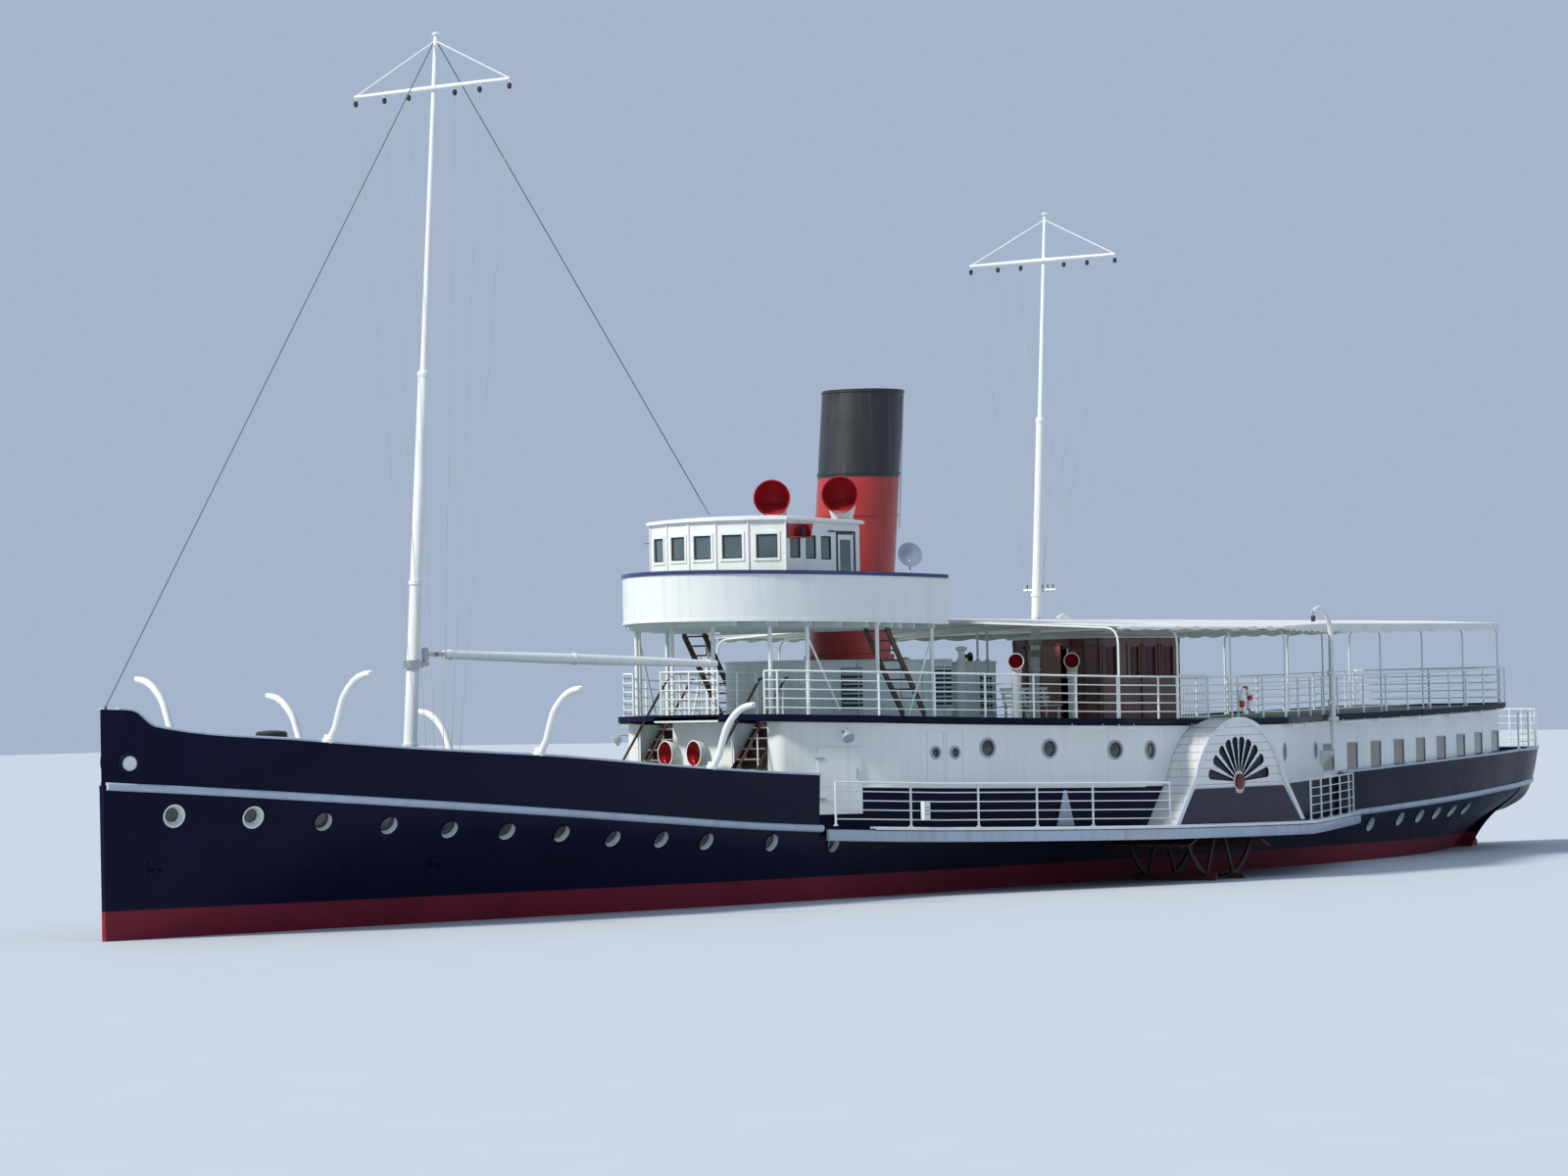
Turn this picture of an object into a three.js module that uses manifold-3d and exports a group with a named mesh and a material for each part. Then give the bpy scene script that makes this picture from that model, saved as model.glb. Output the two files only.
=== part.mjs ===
// Paddle steamer: an excursion boat of the 1920s as a 1:10 model, afloat.
// +X is forward, +Y is port, +Z is up. The origin is amidships on the centreline at the waterline.
// Sizes are written in metres of the full-size ship, and solidOf brings them to model millimetres.
import * as THREE from "three";
import { mergeVertices } from "three/addons/utils/BufferGeometryUtils.js";
import Module from "manifold-3d";

const wasm = await Module();
wasm.setup();

// Scale and clearances
const MODEL_MM = 100; // model millimetres to one metre of ship, which is 1:10
const SEAT = 0.003; // gap between pieces that touch, 0.3 mm on the model
const PIN = 0.006; // gap round a pin in its hole

// Driving sizes of the ship
const HALF_LENGTH = 29.7;
const KEEL_Z = -1.7;
const BILGE_Z = -1.1;
const BOOT_TOP_Z = 0.6;
const SHELL = 0.08; // bulwark plating with its stiffeners
const WALL = 0.08; // house walls with their lining
const DECK = 0.12; // planked deck on its beams
const SPONSON_HALF_BEAM = 7.15;
const HOUSE_HALF_BEAM = 6.2; // widest part of the house, beside the paddle boxes
const BAR = 0.035; // rail bars
const POST = 0.05; // rail posts
const RAIL_HEIGHT = 1.08;

// Hull stations: t is the distance aft of the stem, and the other columns are half-breadths or heights.
const STATIONS = [
  // t, rail, railZ, deck, deckZ, boot, water, bilge, keel, floorZ
  [0, 0.07, 4.76, 0.06, 3.2, 0.05, 0.05, 0.05, 0.04, KEEL_Z],
  [0.5, 0.42, 4.72, 0.3, 3.16, 0.12, 0.1, 0.06, 0.04, KEEL_Z],
  [0.9, 0.66, 4.38, 0.5, 3.13, 0.18, 0.14, 0.07, 0.05, KEEL_Z],
  [4, 1.95, 4.02, 1.68, 2.88, 0.78, 0.6, 0.3, 0.08, KEEL_Z],
  [7, 2.8, 3.76, 2.5, 2.64, 1.3, 1.08, 0.75, 0.2, KEEL_Z],
  [10.5, 3.4, 3.54, 3.15, 2.36, 2.0, 1.75, 1.4, 0.6, KEEL_Z],
  [14, 3.66, 3.26, 3.5, 2.08, 2.65, 2.42, 2.1, 1.3, KEEL_Z],
  [18, 3.74, 3.0, 3.66, 1.79, 3.2, 3.02, 2.8, 2.0, KEEL_Z],
  [23, 3.76, 2.78, 3.72, 1.56, 3.55, 3.44, 3.3, 2.6, KEEL_Z],
  [30, 3.76, 2.5, 3.74, 1.4, 3.66, 3.6, 3.5, 2.8, KEEL_Z],
  [37, 3.76, 2.36, 3.74, 1.32, 3.66, 3.6, 3.45, 2.7, KEEL_Z],
  [43, 3.72, 2.43, 3.68, 1.34, 3.48, 3.35, 3.0, 2.2, KEEL_Z],
  [47.5, 3.52, 2.57, 3.46, 1.48, 3.02, 2.78, 2.1, 1.3, KEEL_Z],
  [51, 3.2, 2.68, 3.12, 1.62, 2.3, 1.9, 1.05, 0.5, KEEL_Z],
  [53.5, 2.86, 2.75, 2.74, 1.74, 1.5, 1.0, 0.4, 0.15, KEEL_Z],
  [55.9, 2.4, 2.81, 2.24, 1.85, 0.6, 0.14, 0.09, 0.07, KEEL_Z],
  [56, 2.38, 2.81, 2.22, 1.86, 0.56, 0.4, 0.24, 0.1, 0.46],
  [57.4, 1.96, 2.84, 1.74, 1.9, 1.0, 0.72, 0.42, 0.14, 1.1],
  [58.6, 1.3, 2.87, 1.06, 1.94, 0.84, 0.62, 0.38, 0.14, 1.62],
  [59.15, 0.82, 2.88, 0.6, 1.96, 0.52, 0.42, 0.28, 0.12, 1.86],
];
const [T, RAIL, RAIL_Z, DECK_Y, DECK_Z, BOOT, WATER, BILGE, KEEL, FLOOR_Z] = STATIONS[0].keys();
const STEM_SCROLL_T = 0.25;

// Promenade deck edge on the port side: x, half-breadth
const PROMENADE = [
  [10.35, 1.2],
  [9.95, 2.4],
  [7.9, 3.95],
  [1.15, 6.3],
  [-6.6, 6.3],
  [-12.8, 3.82],
  [-18.4, 3.5],
  [-22, 3.08],
  [-24.9, 2.62],
];
const PROMENADE_LOW_X = -6.7;
const PROMENADE_LOW_Z = 3.95;
const PROMENADE_SHEER = { fore: 0.0013, aft: 0.0007 };

// Paddle wheels and their boxes
const PADDLE = {
  x: -3,
  shaftZ: 1.62,
  shaftR: 0.13,
  wheelR: 2.03,
  hubR: 0.36,
  rimR: 1.62,
  floats: 8,
  floatDepth: 0.44,
  innerY: 4.3,
  outerY: 6.72,
};
const BOX = { innerY: 4.04, outerY: 7.02, arcZ: 1.83, arcR: 2.2, wall: 0.05, footHalf: 3.02, footZ: 1.412 };
const FAN = { hubZ: 2.44, slots: 10, innerR: 0.26, reach: 0.71, hubR: 0.17 };

// Bridge and wheelhouse, whose decks slope with the ship's sheer
const BRIDGE = { aftX: 4.75, frontX: 11.2, half: 3.7, floorZ: 6.52, height: 1.2, slab: 0.1 };
const BRIDGE_SHEER = { x: 8, slope: 0.02 };
const WHEELHOUSE = { aftX: 6.05, sideX: 9.0, frontX: 9.6, half: 2.04, height: 2.34 };
const DOOR = { width: 0.634, height: 1.98, thick: 0.05, gap: 0.008 };
const FUNNEL = { footX: 3.8, topZ: 12.35, r: 1.02, rake: 0.12 };

// Masts: foot x, height of the joint, top and yard, rake aft per metre, radius
const MASTS = {
  foremast: { x: 20.28, jointZ: 12, topZ: 19.7, rake: 0.082, yardZ: 18.5, r: 0.155 },
  mainmast: { x: -4.23, jointZ: 11.8, topZ: 17.3, rake: 0.076, yardZ: 16.1, r: 0.14 },
};
const YARD_HALF = 2.3;

// Materials
const PAINT = {
  navy: [0x101430, 0.35, 0.1],
  red: [0x9c1f1c, 0.4, 0.1],
  bottom: [0x6e1a20, 0.6, 0.1],
  white: [0xf0f0ec, 0.4, 0.1],
  green: [0x5d7462, 0.7, 0],
  grey: [0x8f9b9a, 0.5, 0.2],
  steel: [0x8a8c8e, 0.4, 0.8],
  wood: [0x5a2c1c, 0.6, 0],
  teak: [0x4b2a20, 0.7, 0],
  black: [0x151515, 0.5, 0.1],
  canvas: [0xe9e8e2, 0.9, 0],
};
const materials = Object.fromEntries(
  Object.entries(PAINT).map(([name, [color, roughness, metalness]]) => [
    name,
    new THREE.MeshStandardMaterial({ name, color, roughness, metalness }),
  ]),
);

const ship = new THREE.Group();
ship.name = "paddle_steamer";

// Adds one piece to the ship as a named mesh.
function piece(name, paint, solid) {
  const m = solid.getMesh();
  const geometry = new THREE.BufferGeometry()
    .setAttribute("position", new THREE.BufferAttribute(Float32Array.from(m.vertProperties), 3))
    .setIndex(new THREE.BufferAttribute(m.triVerts, 1));
  geometry.computeVertexNormals();
  const mesh = new THREE.Mesh(geometry, materials[paint]);
  mesh.name = name;
  ship.add(mesh);
}

// A closed geometry in metres of ship becomes a manifold solid in model millimetres.
function solidOf(source) {
  const g = source.clone().scale(MODEL_MM, MODEL_MM, MODEL_MM);
  g.deleteAttribute("normal");
  g.deleteAttribute("uv");
  const merged = mergeVertices(g, 1e-3);
  return new wasm.Manifold(
    new wasm.Mesh({
      numProp: 3,
      vertProperties: merged.attributes.position.array,
      triVerts: new Uint32Array(merged.index.array),
    }),
  );
}

const join = (...solids) => solids.flat().reduce((a, b) => a.add(b));
const cut = (body, ...tools) => tools.flat().reduce((a, b) => a.subtract(b), body);

// The same solid on the starboard side.
const mirrored = (solid) => solid.mirror([0, 1, 0]);

// A box from its low corner to its high corner.
function block([x0, y0, z0], [x1, y1, z1]) {
  const g = new THREE.BoxGeometry(x1 - x0, y1 - y0, z1 - z0);
  return solidOf(g.translate((x0 + x1) / 2, (y0 + y1) / 2, (z0 + z1) / 2));
}

// A round bar between two points, with its own radius at each end.
function rod(from, to, r, sides = 6, r2 = r) {
  const a = new THREE.Vector3(...from);
  const b = new THREE.Vector3(...to);
  const g = new THREE.CylinderGeometry(r2, r, a.distanceTo(b), sides);
  const turn = new THREE.Quaternion().setFromUnitVectors(
    new THREE.Vector3(0, 1, 0),
    b.clone().sub(a).normalize(),
  );
  const middle = a.add(b).multiplyScalar(0.5);
  return solidOf(g.applyQuaternion(turn).translate(...middle));
}

// A turned piece: the profile holds radius and height, and stands on x, y, 0.
function turned(profile, x, y, sides) {
  const points = profile.map(([r, z]) => new THREE.Vector2(r, z));
  const g = new THREE.LatheGeometry(points, sides).rotateX(Math.PI / 2);
  return solidOf(g.translate(x, y, 0));
}

// Rows of points, each row one section, are skinned into a closed solid.
function loft(rows, ring = false) {
  const n = rows[0].length;
  const index = [];
  const quad = (a, b, c, d) => index.push(a, b, c, a, c, d);
  const last = ring ? rows.length : rows.length - 1;
  for (let i = 0; i < last; i++) {
    const next = (i + 1) % rows.length;
    for (let j = 0; j < n; j++) {
      const k = (j + 1) % n;
      quad(i * n + j, next * n + j, next * n + k, i * n + k);
    }
  }
  if (!ring)
    for (let j = 1; j < n - 1; j++) {
      index.push(0, j, j + 1);
      const e = (rows.length - 1) * n;
      index.push(e, e + j + 1, e + j);
    }
  const g = new THREE.BufferGeometry()
    .setAttribute("position", new THREE.Float32BufferAttribute(rows.flat(2), 3))
    .setIndex(index);
  const made = solidOf(g);
  if (made.volume() >= 0) return made;
  for (let i = 0; i < index.length; i += 3) [index[i], index[i + 1]] = [index[i + 1], index[i]];
  return solidOf(g.setIndex(index));
}

// Value of one station column at distance t aft of the stem.
function at(t, column) {
  const i = Math.max(1, STATIONS.findIndex((row) => row[T] >= t - 1e-9));
  const [a, b] = [STATIONS[i - 1], STATIONS[i]];
  return THREE.MathUtils.mapLinear(t, a[T], b[T], a[column], b[column]);
}
const xOf = (t) => HALF_LENGTH - t;
const tOf = (x) => HALF_LENGTH - x;
const deckZ = (x) => at(tOf(x), DECK_Z);

// The promenade deck's sheer curve, and the deck itself, which is straight between its beams at SHEER_X.
function sheerCurve(x) {
  const d = x - PROMENADE_LOW_X;
  return PROMENADE_LOW_Z + (d > 0 ? PROMENADE_SHEER.fore : PROMENADE_SHEER.aft) * d * d;
}
// Half-breadth of a table of x and half-breadth.
function halfAt(table, x) {
  const found = table.findIndex(([tx]) => tx <= x + 1e-9);
  const i = found < 0 ? table.length - 1 : Math.max(1, found);
  const [[x0, y0], [x1, y1]] = [table[i - 1], table[i]];
  return THREE.MathUtils.mapLinear(x, x0, x1, y0, y1);
}
const SHEER_X = [
  ...STATIONS.map((row) => xOf(row[T])).filter((x) => x > -24 && x < 12),
  ...PROMENADE.map(([x]) => x),
].sort((a, b) => b - a);
const promenadeZ = (x) => halfAt(SHEER_X.map((sx) => [sx, sheerCurve(sx)]), x);

// Adds the sheer stations to the long edges of a closed plan loop.
function stationed(loop) {
  return loop.flatMap(([x0, y0], i) => {
    const [x1, y1] = loop[(i + 1) % loop.length];
    const between = SHEER_X.filter((x) => (x - x0) * (x - x1) < -1e-6);
    if (x1 > x0) between.reverse();
    return [[x0, y0], ...between.map((x) => [x, THREE.MathUtils.mapLinear(x, x0, x1, y0, y1)])];
  });
}

// The loop moved inward by d. The loop runs counterclockwise seen from above.
function inset(loop, d) {
  return loop.map((p, i) => {
    const a = new THREE.Vector2(...loop[(i + loop.length - 1) % loop.length]);
    const b = new THREE.Vector2(...p);
    const c = new THREE.Vector2(...loop[(i + 1) % loop.length]);
    const e0 = b.clone().sub(a).normalize();
    const e1 = c.clone().sub(b).normalize();
    const n0 = new THREE.Vector2(-e0.y, e0.x);
    const n1 = new THREE.Vector2(-e1.y, e1.x);
    const miter = n0.clone().add(n1);
    const [x, y] = b.addScaledVector(miter, d / (1 + n0.dot(n1)));
    return [x, y];
  });
}

// Walls that stand on a closed plan loop, from the height low(x) to high(x).
function walls(loop, thick, low, high) {
  const outer = stationed(loop);
  const inner = inset(outer, thick);
  return loft(
    outer.map(([x, y], i) => {
      const [u, v] = inner[i];
      return [
        [x, y, low(x)],
        [x, y, high(x)],
        [u, v, high(u)],
        [u, v, low(u)],
      ];
    }),
    true,
  );
}
// A loop of the port half, front to back, and its mirror image.
const bothSides = (half) => [...half, ...half.map(([x, y]) => [x, -y]).reverse()];

// A deck between half-breadths of a table, lying below top(x).
function deckSlab(table, thick, top) {
  const xs = SHEER_X.filter((x) => x <= table[0][0] && x >= table.at(-1)[0]);
  return loft(
    [...new Set([...xs, ...table.map(([x]) => x)])]
      .sort((a, b) => b - a)
      .map((x) => {
        const y = halfAt(table, x);
        const z = top(x);
        return [
          [x, y, z - thick],
          [x, y, z],
          [x, -y, z],
          [x, -y, z - thick],
        ];
      }),
  );
}

// Rail bars and posts along a run of points, standing at foot(x).
function railing(run, foot, heights, spacing) {
  const solids = [];
  const lift = ([x, y], h) => [x, y, foot(x) + h];
  run.slice(1).forEach((b, i) => {
    const a = run[i];
    for (const h of heights) solids.push(rod(lift(a, h), lift(b, h), BAR / 2, 4));
    const length = Math.hypot(b[0] - a[0], b[1] - a[1]);
    const bays = Math.max(1, Math.round(length / spacing));
    for (let k = i ? 1 : 0; k <= bays; k++) {
      const p = [0, 1].map((c) => a[c] + ((b[c] - a[c]) * k) / bays);
      solids.push(rod(lift(p, SEAT), lift(p, RAIL_HEIGHT), POST / 2, 4));
    }
  });
  return join(solids);
}

// A tube swept along points on a smooth curve.
function sweep(points, r, steps, sides = 6) {
  const curve = new THREE.CatmullRomCurve3(points.map((p) => new THREE.Vector3(...p)));
  const shape = new THREE.Shape(
    Array.from({ length: sides }, (_, i) => {
      const a = (2 * Math.PI * i) / sides;
      return new THREE.Vector2(r * Math.cos(a), r * Math.sin(a));
    }),
  );
  return solidOf(new THREE.ExtrudeGeometry(shape, { steps, extrudePath: curve }));
}

// A ventilator: a trunk with a hollow cowl whose mouth looks to the given heading.
function ventilator({ x, y, deck, mouthZ, mouthR, trunkR, heading, sides }) {
  // radius and place along the cowl's axis, as shares of the mouth radius
  const outside = [
    [0, -1.05],
    [0.55, -0.9],
    [0.85, -0.4],
    [1, 0.35],
    [0, 0.35],
  ];
  const inside = [
    [0, -0.8],
    [0.45, -0.7],
    [0.75, -0.3],
    [0.92, 0.35],
    [0.92, 0.5],
    [0, 0.5],
  ];
  const [cowl, cavity] = [outside, inside].map((profile) => {
    const points = profile.map(([r, z]) => new THREE.Vector2(r * mouthR, z * mouthR));
    const g = new THREE.LatheGeometry(points, sides).rotateZ(heading - Math.PI / 2);
    return solidOf(g.translate(x, y, mouthZ));
  });
  const back = 0.35 * mouthR;
  const trunk = [x - back * Math.cos(heading), y - back * Math.sin(heading)];
  const footZ = deck(trunk[0] + trunkR) + SEAT;
  return cut(join(cowl, rod([...trunk, footZ], [...trunk, mouthZ], trunkR, sides)), cavity);
}

// Rudder under the counter, whose stock turns in a bore of the hull
const RUDDER = {
  stockX: -26.48,
  stockTop: 0.9,
  r: 0.09,
  aftX: -27.5,
  topZ: 0.4,
  footZ: -1.62,
  half: 0.06,
};

// Hull: a solid body up to the main deck, with an open well for the engine.
function hullSection(row) {
  const floor = row[FLOOR_Z];
  const heights = [KEEL_Z, BILGE_Z, 0, BOOT_TOP_Z, row[DECK_Z]];
  const halves = [row[KEEL], row[BILGE], row[WATER], row[BOOT], row[DECK_Y]];
  const counterStep = 0.02;
  const side = heights.map((z, i) => [halves[i], Math.max(z, floor + counterStep * i)]);
  const x = xOf(row[T]);
  return [...side, ...side.map(([y, z]) => [-y, z]).reverse()].map(([y, z]) => [x, y, z]);
}
const WELL = { foreX: 2.2, aftX: -2.2, half: 1.4, floorZ: -1.1 };
piece(
  "hull",
  "navy",
  cut(
    loft(STATIONS.map(hullSection)),
    block([WELL.aftX, -WELL.half, WELL.floorZ], [WELL.foreX, WELL.half, 3]),
    rod([RUDDER.stockX, 0, 0], [RUDDER.stockX, 0, RUDDER.stockTop + SEAT], RUDDER.r + PIN, 10),
  ),
);
const ENGINE_TOP_Z = 1.2;
piece(
  "engine",
  "grey",
  block(
    [WELL.aftX + 0.2, -WELL.half + 0.2, WELL.floorZ + SEAT],
    [WELL.foreX - 0.2, WELL.half - 0.2, ENGINE_TOP_Z],
  ),
);

// Bulwark section at distance t, on the side given by the sign of y.
function bulwarkRow(t, sign) {
  const low = [at(t, DECK_Y), at(t, DECK_Z) + SEAT];
  const high = [at(t, RAIL), at(t, RAIL_Z)];
  const thick = Math.min(SHELL, low[0] * 0.5);
  const x = xOf(t);
  return [
    [x, sign * low[0], low[1]],
    [x, sign * high[0], high[1]],
    [x, sign * (high[0] - thick), high[1]],
    [x, sign * (low[0] - thick), low[1]],
  ];
}
const FORE_BULWARK_END_T = 19.6;
const foreTs = [
  FORE_BULWARK_END_T,
  ...STATIONS.map((row) => row[T])
    .filter((t) => t > 0.3 && t < FORE_BULWARK_END_T)
    .reverse(),
];
const STEM_THICK = 0.16;
const stemRow = [
  [xOf(0), 0, at(0, DECK_Z) + SEAT],
  [xOf(0), 0, at(0, RAIL_Z)],
  [xOf(STEM_THICK), 0, at(0, RAIL_Z)],
  [xOf(STEM_THICK), 0, at(0, DECK_Z) + SEAT],
];
const foreShell = loft([
  ...foreTs.map((t) => bulwarkRow(t, 1)),
  bulwarkRow(STEM_SCROLL_T, 1),
  stemRow,
  bulwarkRow(STEM_SCROLL_T, -1),
  ...foreTs.toReversed().map((t) => bulwarkRow(t, -1)),
]);

// Curved posts on the fore bulwark: distance aft of the stem
const FORE_POSTS = [4.5, 9.9, 15.5];
const FORE_POST = { r: 0.055, rise: 1.38, reach: 1.33 };
const foreDeckPosts = FORE_POSTS.flatMap((t) =>
  [1, -1].map((sign) => {
    const y = at(t, RAIL) - SHELL / 2;
    const z = at(t, RAIL_Z);
    // outward share of the reach and share of the rise
    const bend = [
      [-0.02, -0.08],
      [0.16, 0.05],
      [0.25, 0.2],
      [0.4, 0.61],
      [0.52, 0.78],
      [0.72, 0.94],
      [1, 1],
    ];
    const route = bend.map(([out, up]) => [
      xOf(t),
      sign * (y + out * FORE_POST.reach),
      z + up * FORE_POST.rise,
    ]);
    return sweep(route, FORE_POST.r, 7, 5);
  }),
);
piece("fore_bulwark", "navy", join(foreShell, foreDeckPosts));

// Stern bulwark: round the counter, with the taffrail above it.
const STERN_BULWARK_T = 43.2;
const sternTs = [STERN_BULWARK_T, ...STATIONS.map((row) => row[T]).filter((t) => t > STERN_BULWARK_T)];
const STERN_END_T = 59.4;
const sternRow = [
  [xOf(STERN_END_T - 0.2), 0, at(59.15, DECK_Z) + SEAT],
  [xOf(STERN_END_T), 0, at(59.15, RAIL_Z)],
  [xOf(STERN_END_T - SHELL), 0, at(59.15, RAIL_Z)],
  [xOf(STERN_END_T - 0.36), 0, at(59.15, DECK_Z) + SEAT],
];
const TAFFRAIL_FROM_T = 55.4;
const railRun = [
  ...[TAFFRAIL_FROM_T, 56, 57.4, 58.6, 59.15].map((t) => [xOf(t), at(t, RAIL) - SHELL / 2]),
  [xOf(STERN_END_T - SHELL / 2), 0],
];
const taffrail = railing(
  bothSides(railRun).filter((_, i) => i !== railRun.length),
  (x) => at(Math.min(tOf(x), 59.15), RAIL_Z) - 0.03,
  [RAIL_HEIGHT / 2, RAIL_HEIGHT],
  2.4,
);
piece(
  "stern_bulwark",
  "navy",
  join(
    loft([
      ...sternTs.map((t) => bulwarkRow(t, 1)),
      sternRow,
      ...sternTs.toReversed().map((t) => bulwarkRow(t, -1)),
    ]),
    taffrail,
  ),
);

// Rudder: a plate on its stock.
const rudderRows = [RUDDER.footZ, -1.1, 0.1, RUDDER.topZ].map((z) => {
  const aft = z > 0.3 ? RUDDER.aftX + 0.45 : RUDDER.aftX;
  return [
    [RUDDER.stockX + 0.1, -RUDDER.half, z],
    [aft, -RUDDER.half * 0.4, z],
    [aft, RUDDER.half * 0.4, z],
    [RUDDER.stockX + 0.1, RUDDER.half, z],
  ];
});
piece(
  "rudder",
  "bottom",
  join(
    loft(rudderRows),
    rod([RUDDER.stockX, 0, RUDDER.footZ], [RUDDER.stockX, 0, RUDDER.stockTop], RUDDER.r, 10),
  ),
);

// Boat davits: a pillar that turns in a lug on the deck edge and stands on a shelf of the house side.
const DAVIT = { x: -12.4, y: 4.13, r: 0.085, footZ: 3.06, bendZ: 6.1, topZ: 6.95, reach: 0.85 };

// Main house: walls from the main deck to the promenade deck, notched for the paddle boxes.
const STAIR = { y: 1.42, half: 0.5, topX: 8.75, footX: 11.05 };
const RECESS = { x: 8.45, inner: STAIR.y - STAIR.half, outer: STAIR.y + STAIR.half };
const houseHalf = [
  [9.7, RECESS.inner],
  [RECESS.x, RECESS.inner],
  [RECESS.x, RECESS.outer],
  [9.7, RECESS.outer],
  [9.7, 2.3],
  [6.8, 3.66],
  [0.35, HOUSE_HALF_BEAM],
  [-0.5, HOUSE_HALF_BEAM],
  [-0.5, 3.9],
  [-6.35, 3.9],
  [-6.35, HOUSE_HALF_BEAM],
  [-12.7, 3.62],
  [-13.3, 3.6],
  [-17.8, 3.34],
  [-21.3, 3.0],
  [-23.8, 2.6],
  [-24.7, 2.44],
];
// Round ports of the house: x, radius
const HOUSE_PORTS = [
  [6.24, 0.13],
  [5.69, 0.13],
  [4.76, 0.21],
  [2.97, 0.21],
  [1.03, 0.21],
  [-0.2, 0.21],
  [-6.8, 0.21],
  [-11.5, 0.21],
];
const PORT_DROP = 0.75; // from the promenade deck down to the middle of a port
const SALOON_WINDOWS = { foreX: -13.0, aftX: -24.15, count: 9, width: 0.36, height: 0.72, drop: 1.1 };
const houseLoop = bothSides(houseHalf);
const houseShell = walls(
  houseLoop,
  WALL,
  (x) => deckZ(x) + SEAT,
  (x) => promenadeZ(x) - DECK - SEAT,
);
const windowTools = [];
for (let i = 0; i < SALOON_WINDOWS.count; i++) {
  const { foreX, aftX, count, width, height, drop } = SALOON_WINDOWS;
  const x = THREE.MathUtils.lerp(foreX, aftX, i / (count - 1));
  const z = promenadeZ(x) - drop;
  windowTools.push(block([x - width / 2, -5, z - height / 2], [x + width / 2, 5, z + height / 2]));
}
for (const [x, r] of HOUSE_PORTS) {
  const z = promenadeZ(x) - PORT_DROP;
  windowTools.push(rod([x, -7, z], [x, 7, z], r, 8));
}
const shaftHole = rod(
  [PADDLE.x, -4.6, PADDLE.shaftZ],
  [PADDLE.x, 4.6, PADDLE.shaftZ],
  PADDLE.shaftR + PIN,
  12,
);
// room for the feet of the paddle boxes
const boxRoom = boxDrum(BOX.arcR + 0.02, BOX.footHalf + 0.1, BOX.footZ - 0.1, BOX.innerY - 0.02, 7.5);
const davitShelf = block(
  [DAVIT.x - 0.14, 3.66, DAVIT.footZ - 0.12],
  [DAVIT.x + 0.14, DAVIT.y + 0.12, DAVIT.footZ],
);
piece(
  "main_house",
  "white",
  cut(
    join(houseShell, davitShelf, mirrored(davitShelf)),
    windowTools,
    shaftHole,
    boxRoom,
    mirrored(boxRoom),
  ),
);

// Promenade deck, cut away over the two fore stairs.
const drumHole = block(
  [PADDLE.x - 0.98, BOX.innerY - 0.01, 3.5],
  [PADDLE.x + 0.98, HOUSE_HALF_BEAM + 0.2, 5],
);
const davitZ = promenadeZ(DAVIT.x);
const davitLug = block(
  [DAVIT.x - 0.17, DAVIT.y - 0.3, davitZ - 0.1],
  [DAVIT.x + 0.17, DAVIT.y + 0.17, davitZ - 0.02],
);
const davitHole = rod([DAVIT.x, DAVIT.y, 3], [DAVIT.x, DAVIT.y, 5], DAVIT.r + PIN, 12);
const stairWell = block([STAIR.topX, RECESS.inner + 0.04, 3.5], [11, RECESS.outer - 0.04, 5]);
piece(
  "promenade_deck",
  "green",
  cut(
    join(deckSlab(PROMENADE, DECK, promenadeZ), davitLug, mirrored(davitLug)),
    [stairWell, drumHole, davitHole].flatMap((tool) => [tool, mirrored(tool)]),
  ),
);

// Sponsons: platforms from the hull side out to the fender, with a well for each paddle wheel.
const SPONSON = [
  [9.9, 3.8],
  [6.7, 4.95],
  [0.2, SPONSON_HALF_BEAM],
  [-6.3, SPONSON_HALF_BEAM],
  [-7.3, 6.75],
  [-14.2, 3.85],
];
const SPONSON_THICK = 0.22;
const SPONSON_GAP = 0.02;
function sponson() {
  const xs = [...new Set([...SPONSON.map(([x]) => x), ...SHEER_X])]
    .filter((x) => x <= SPONSON[0][0] && x >= SPONSON.at(-1)[0])
    .sort((a, b) => b - a);
  const platform = loft(
    xs.map((x) => {
      const outer = halfAt(SPONSON, x);
      const inner = at(tOf(x), DECK_Y) + SPONSON_GAP;
      const z = deckZ(x);
      return [
        [x, outer, z - SPONSON_THICK],
        [x, outer, z],
        [x, inner, z],
        [x, inner, z - SPONSON_THICK],
      ];
    }),
  );
  const well = block([PADDLE.x - 2.2, 4.1, -1], [PADDLE.x + 2.2, 6.85, 3]);
  return cut(platform, well);
}
piece("sponson_port", "navy", sponson());
piece("sponson_starboard", "navy", mirrored(sponson()));

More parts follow.
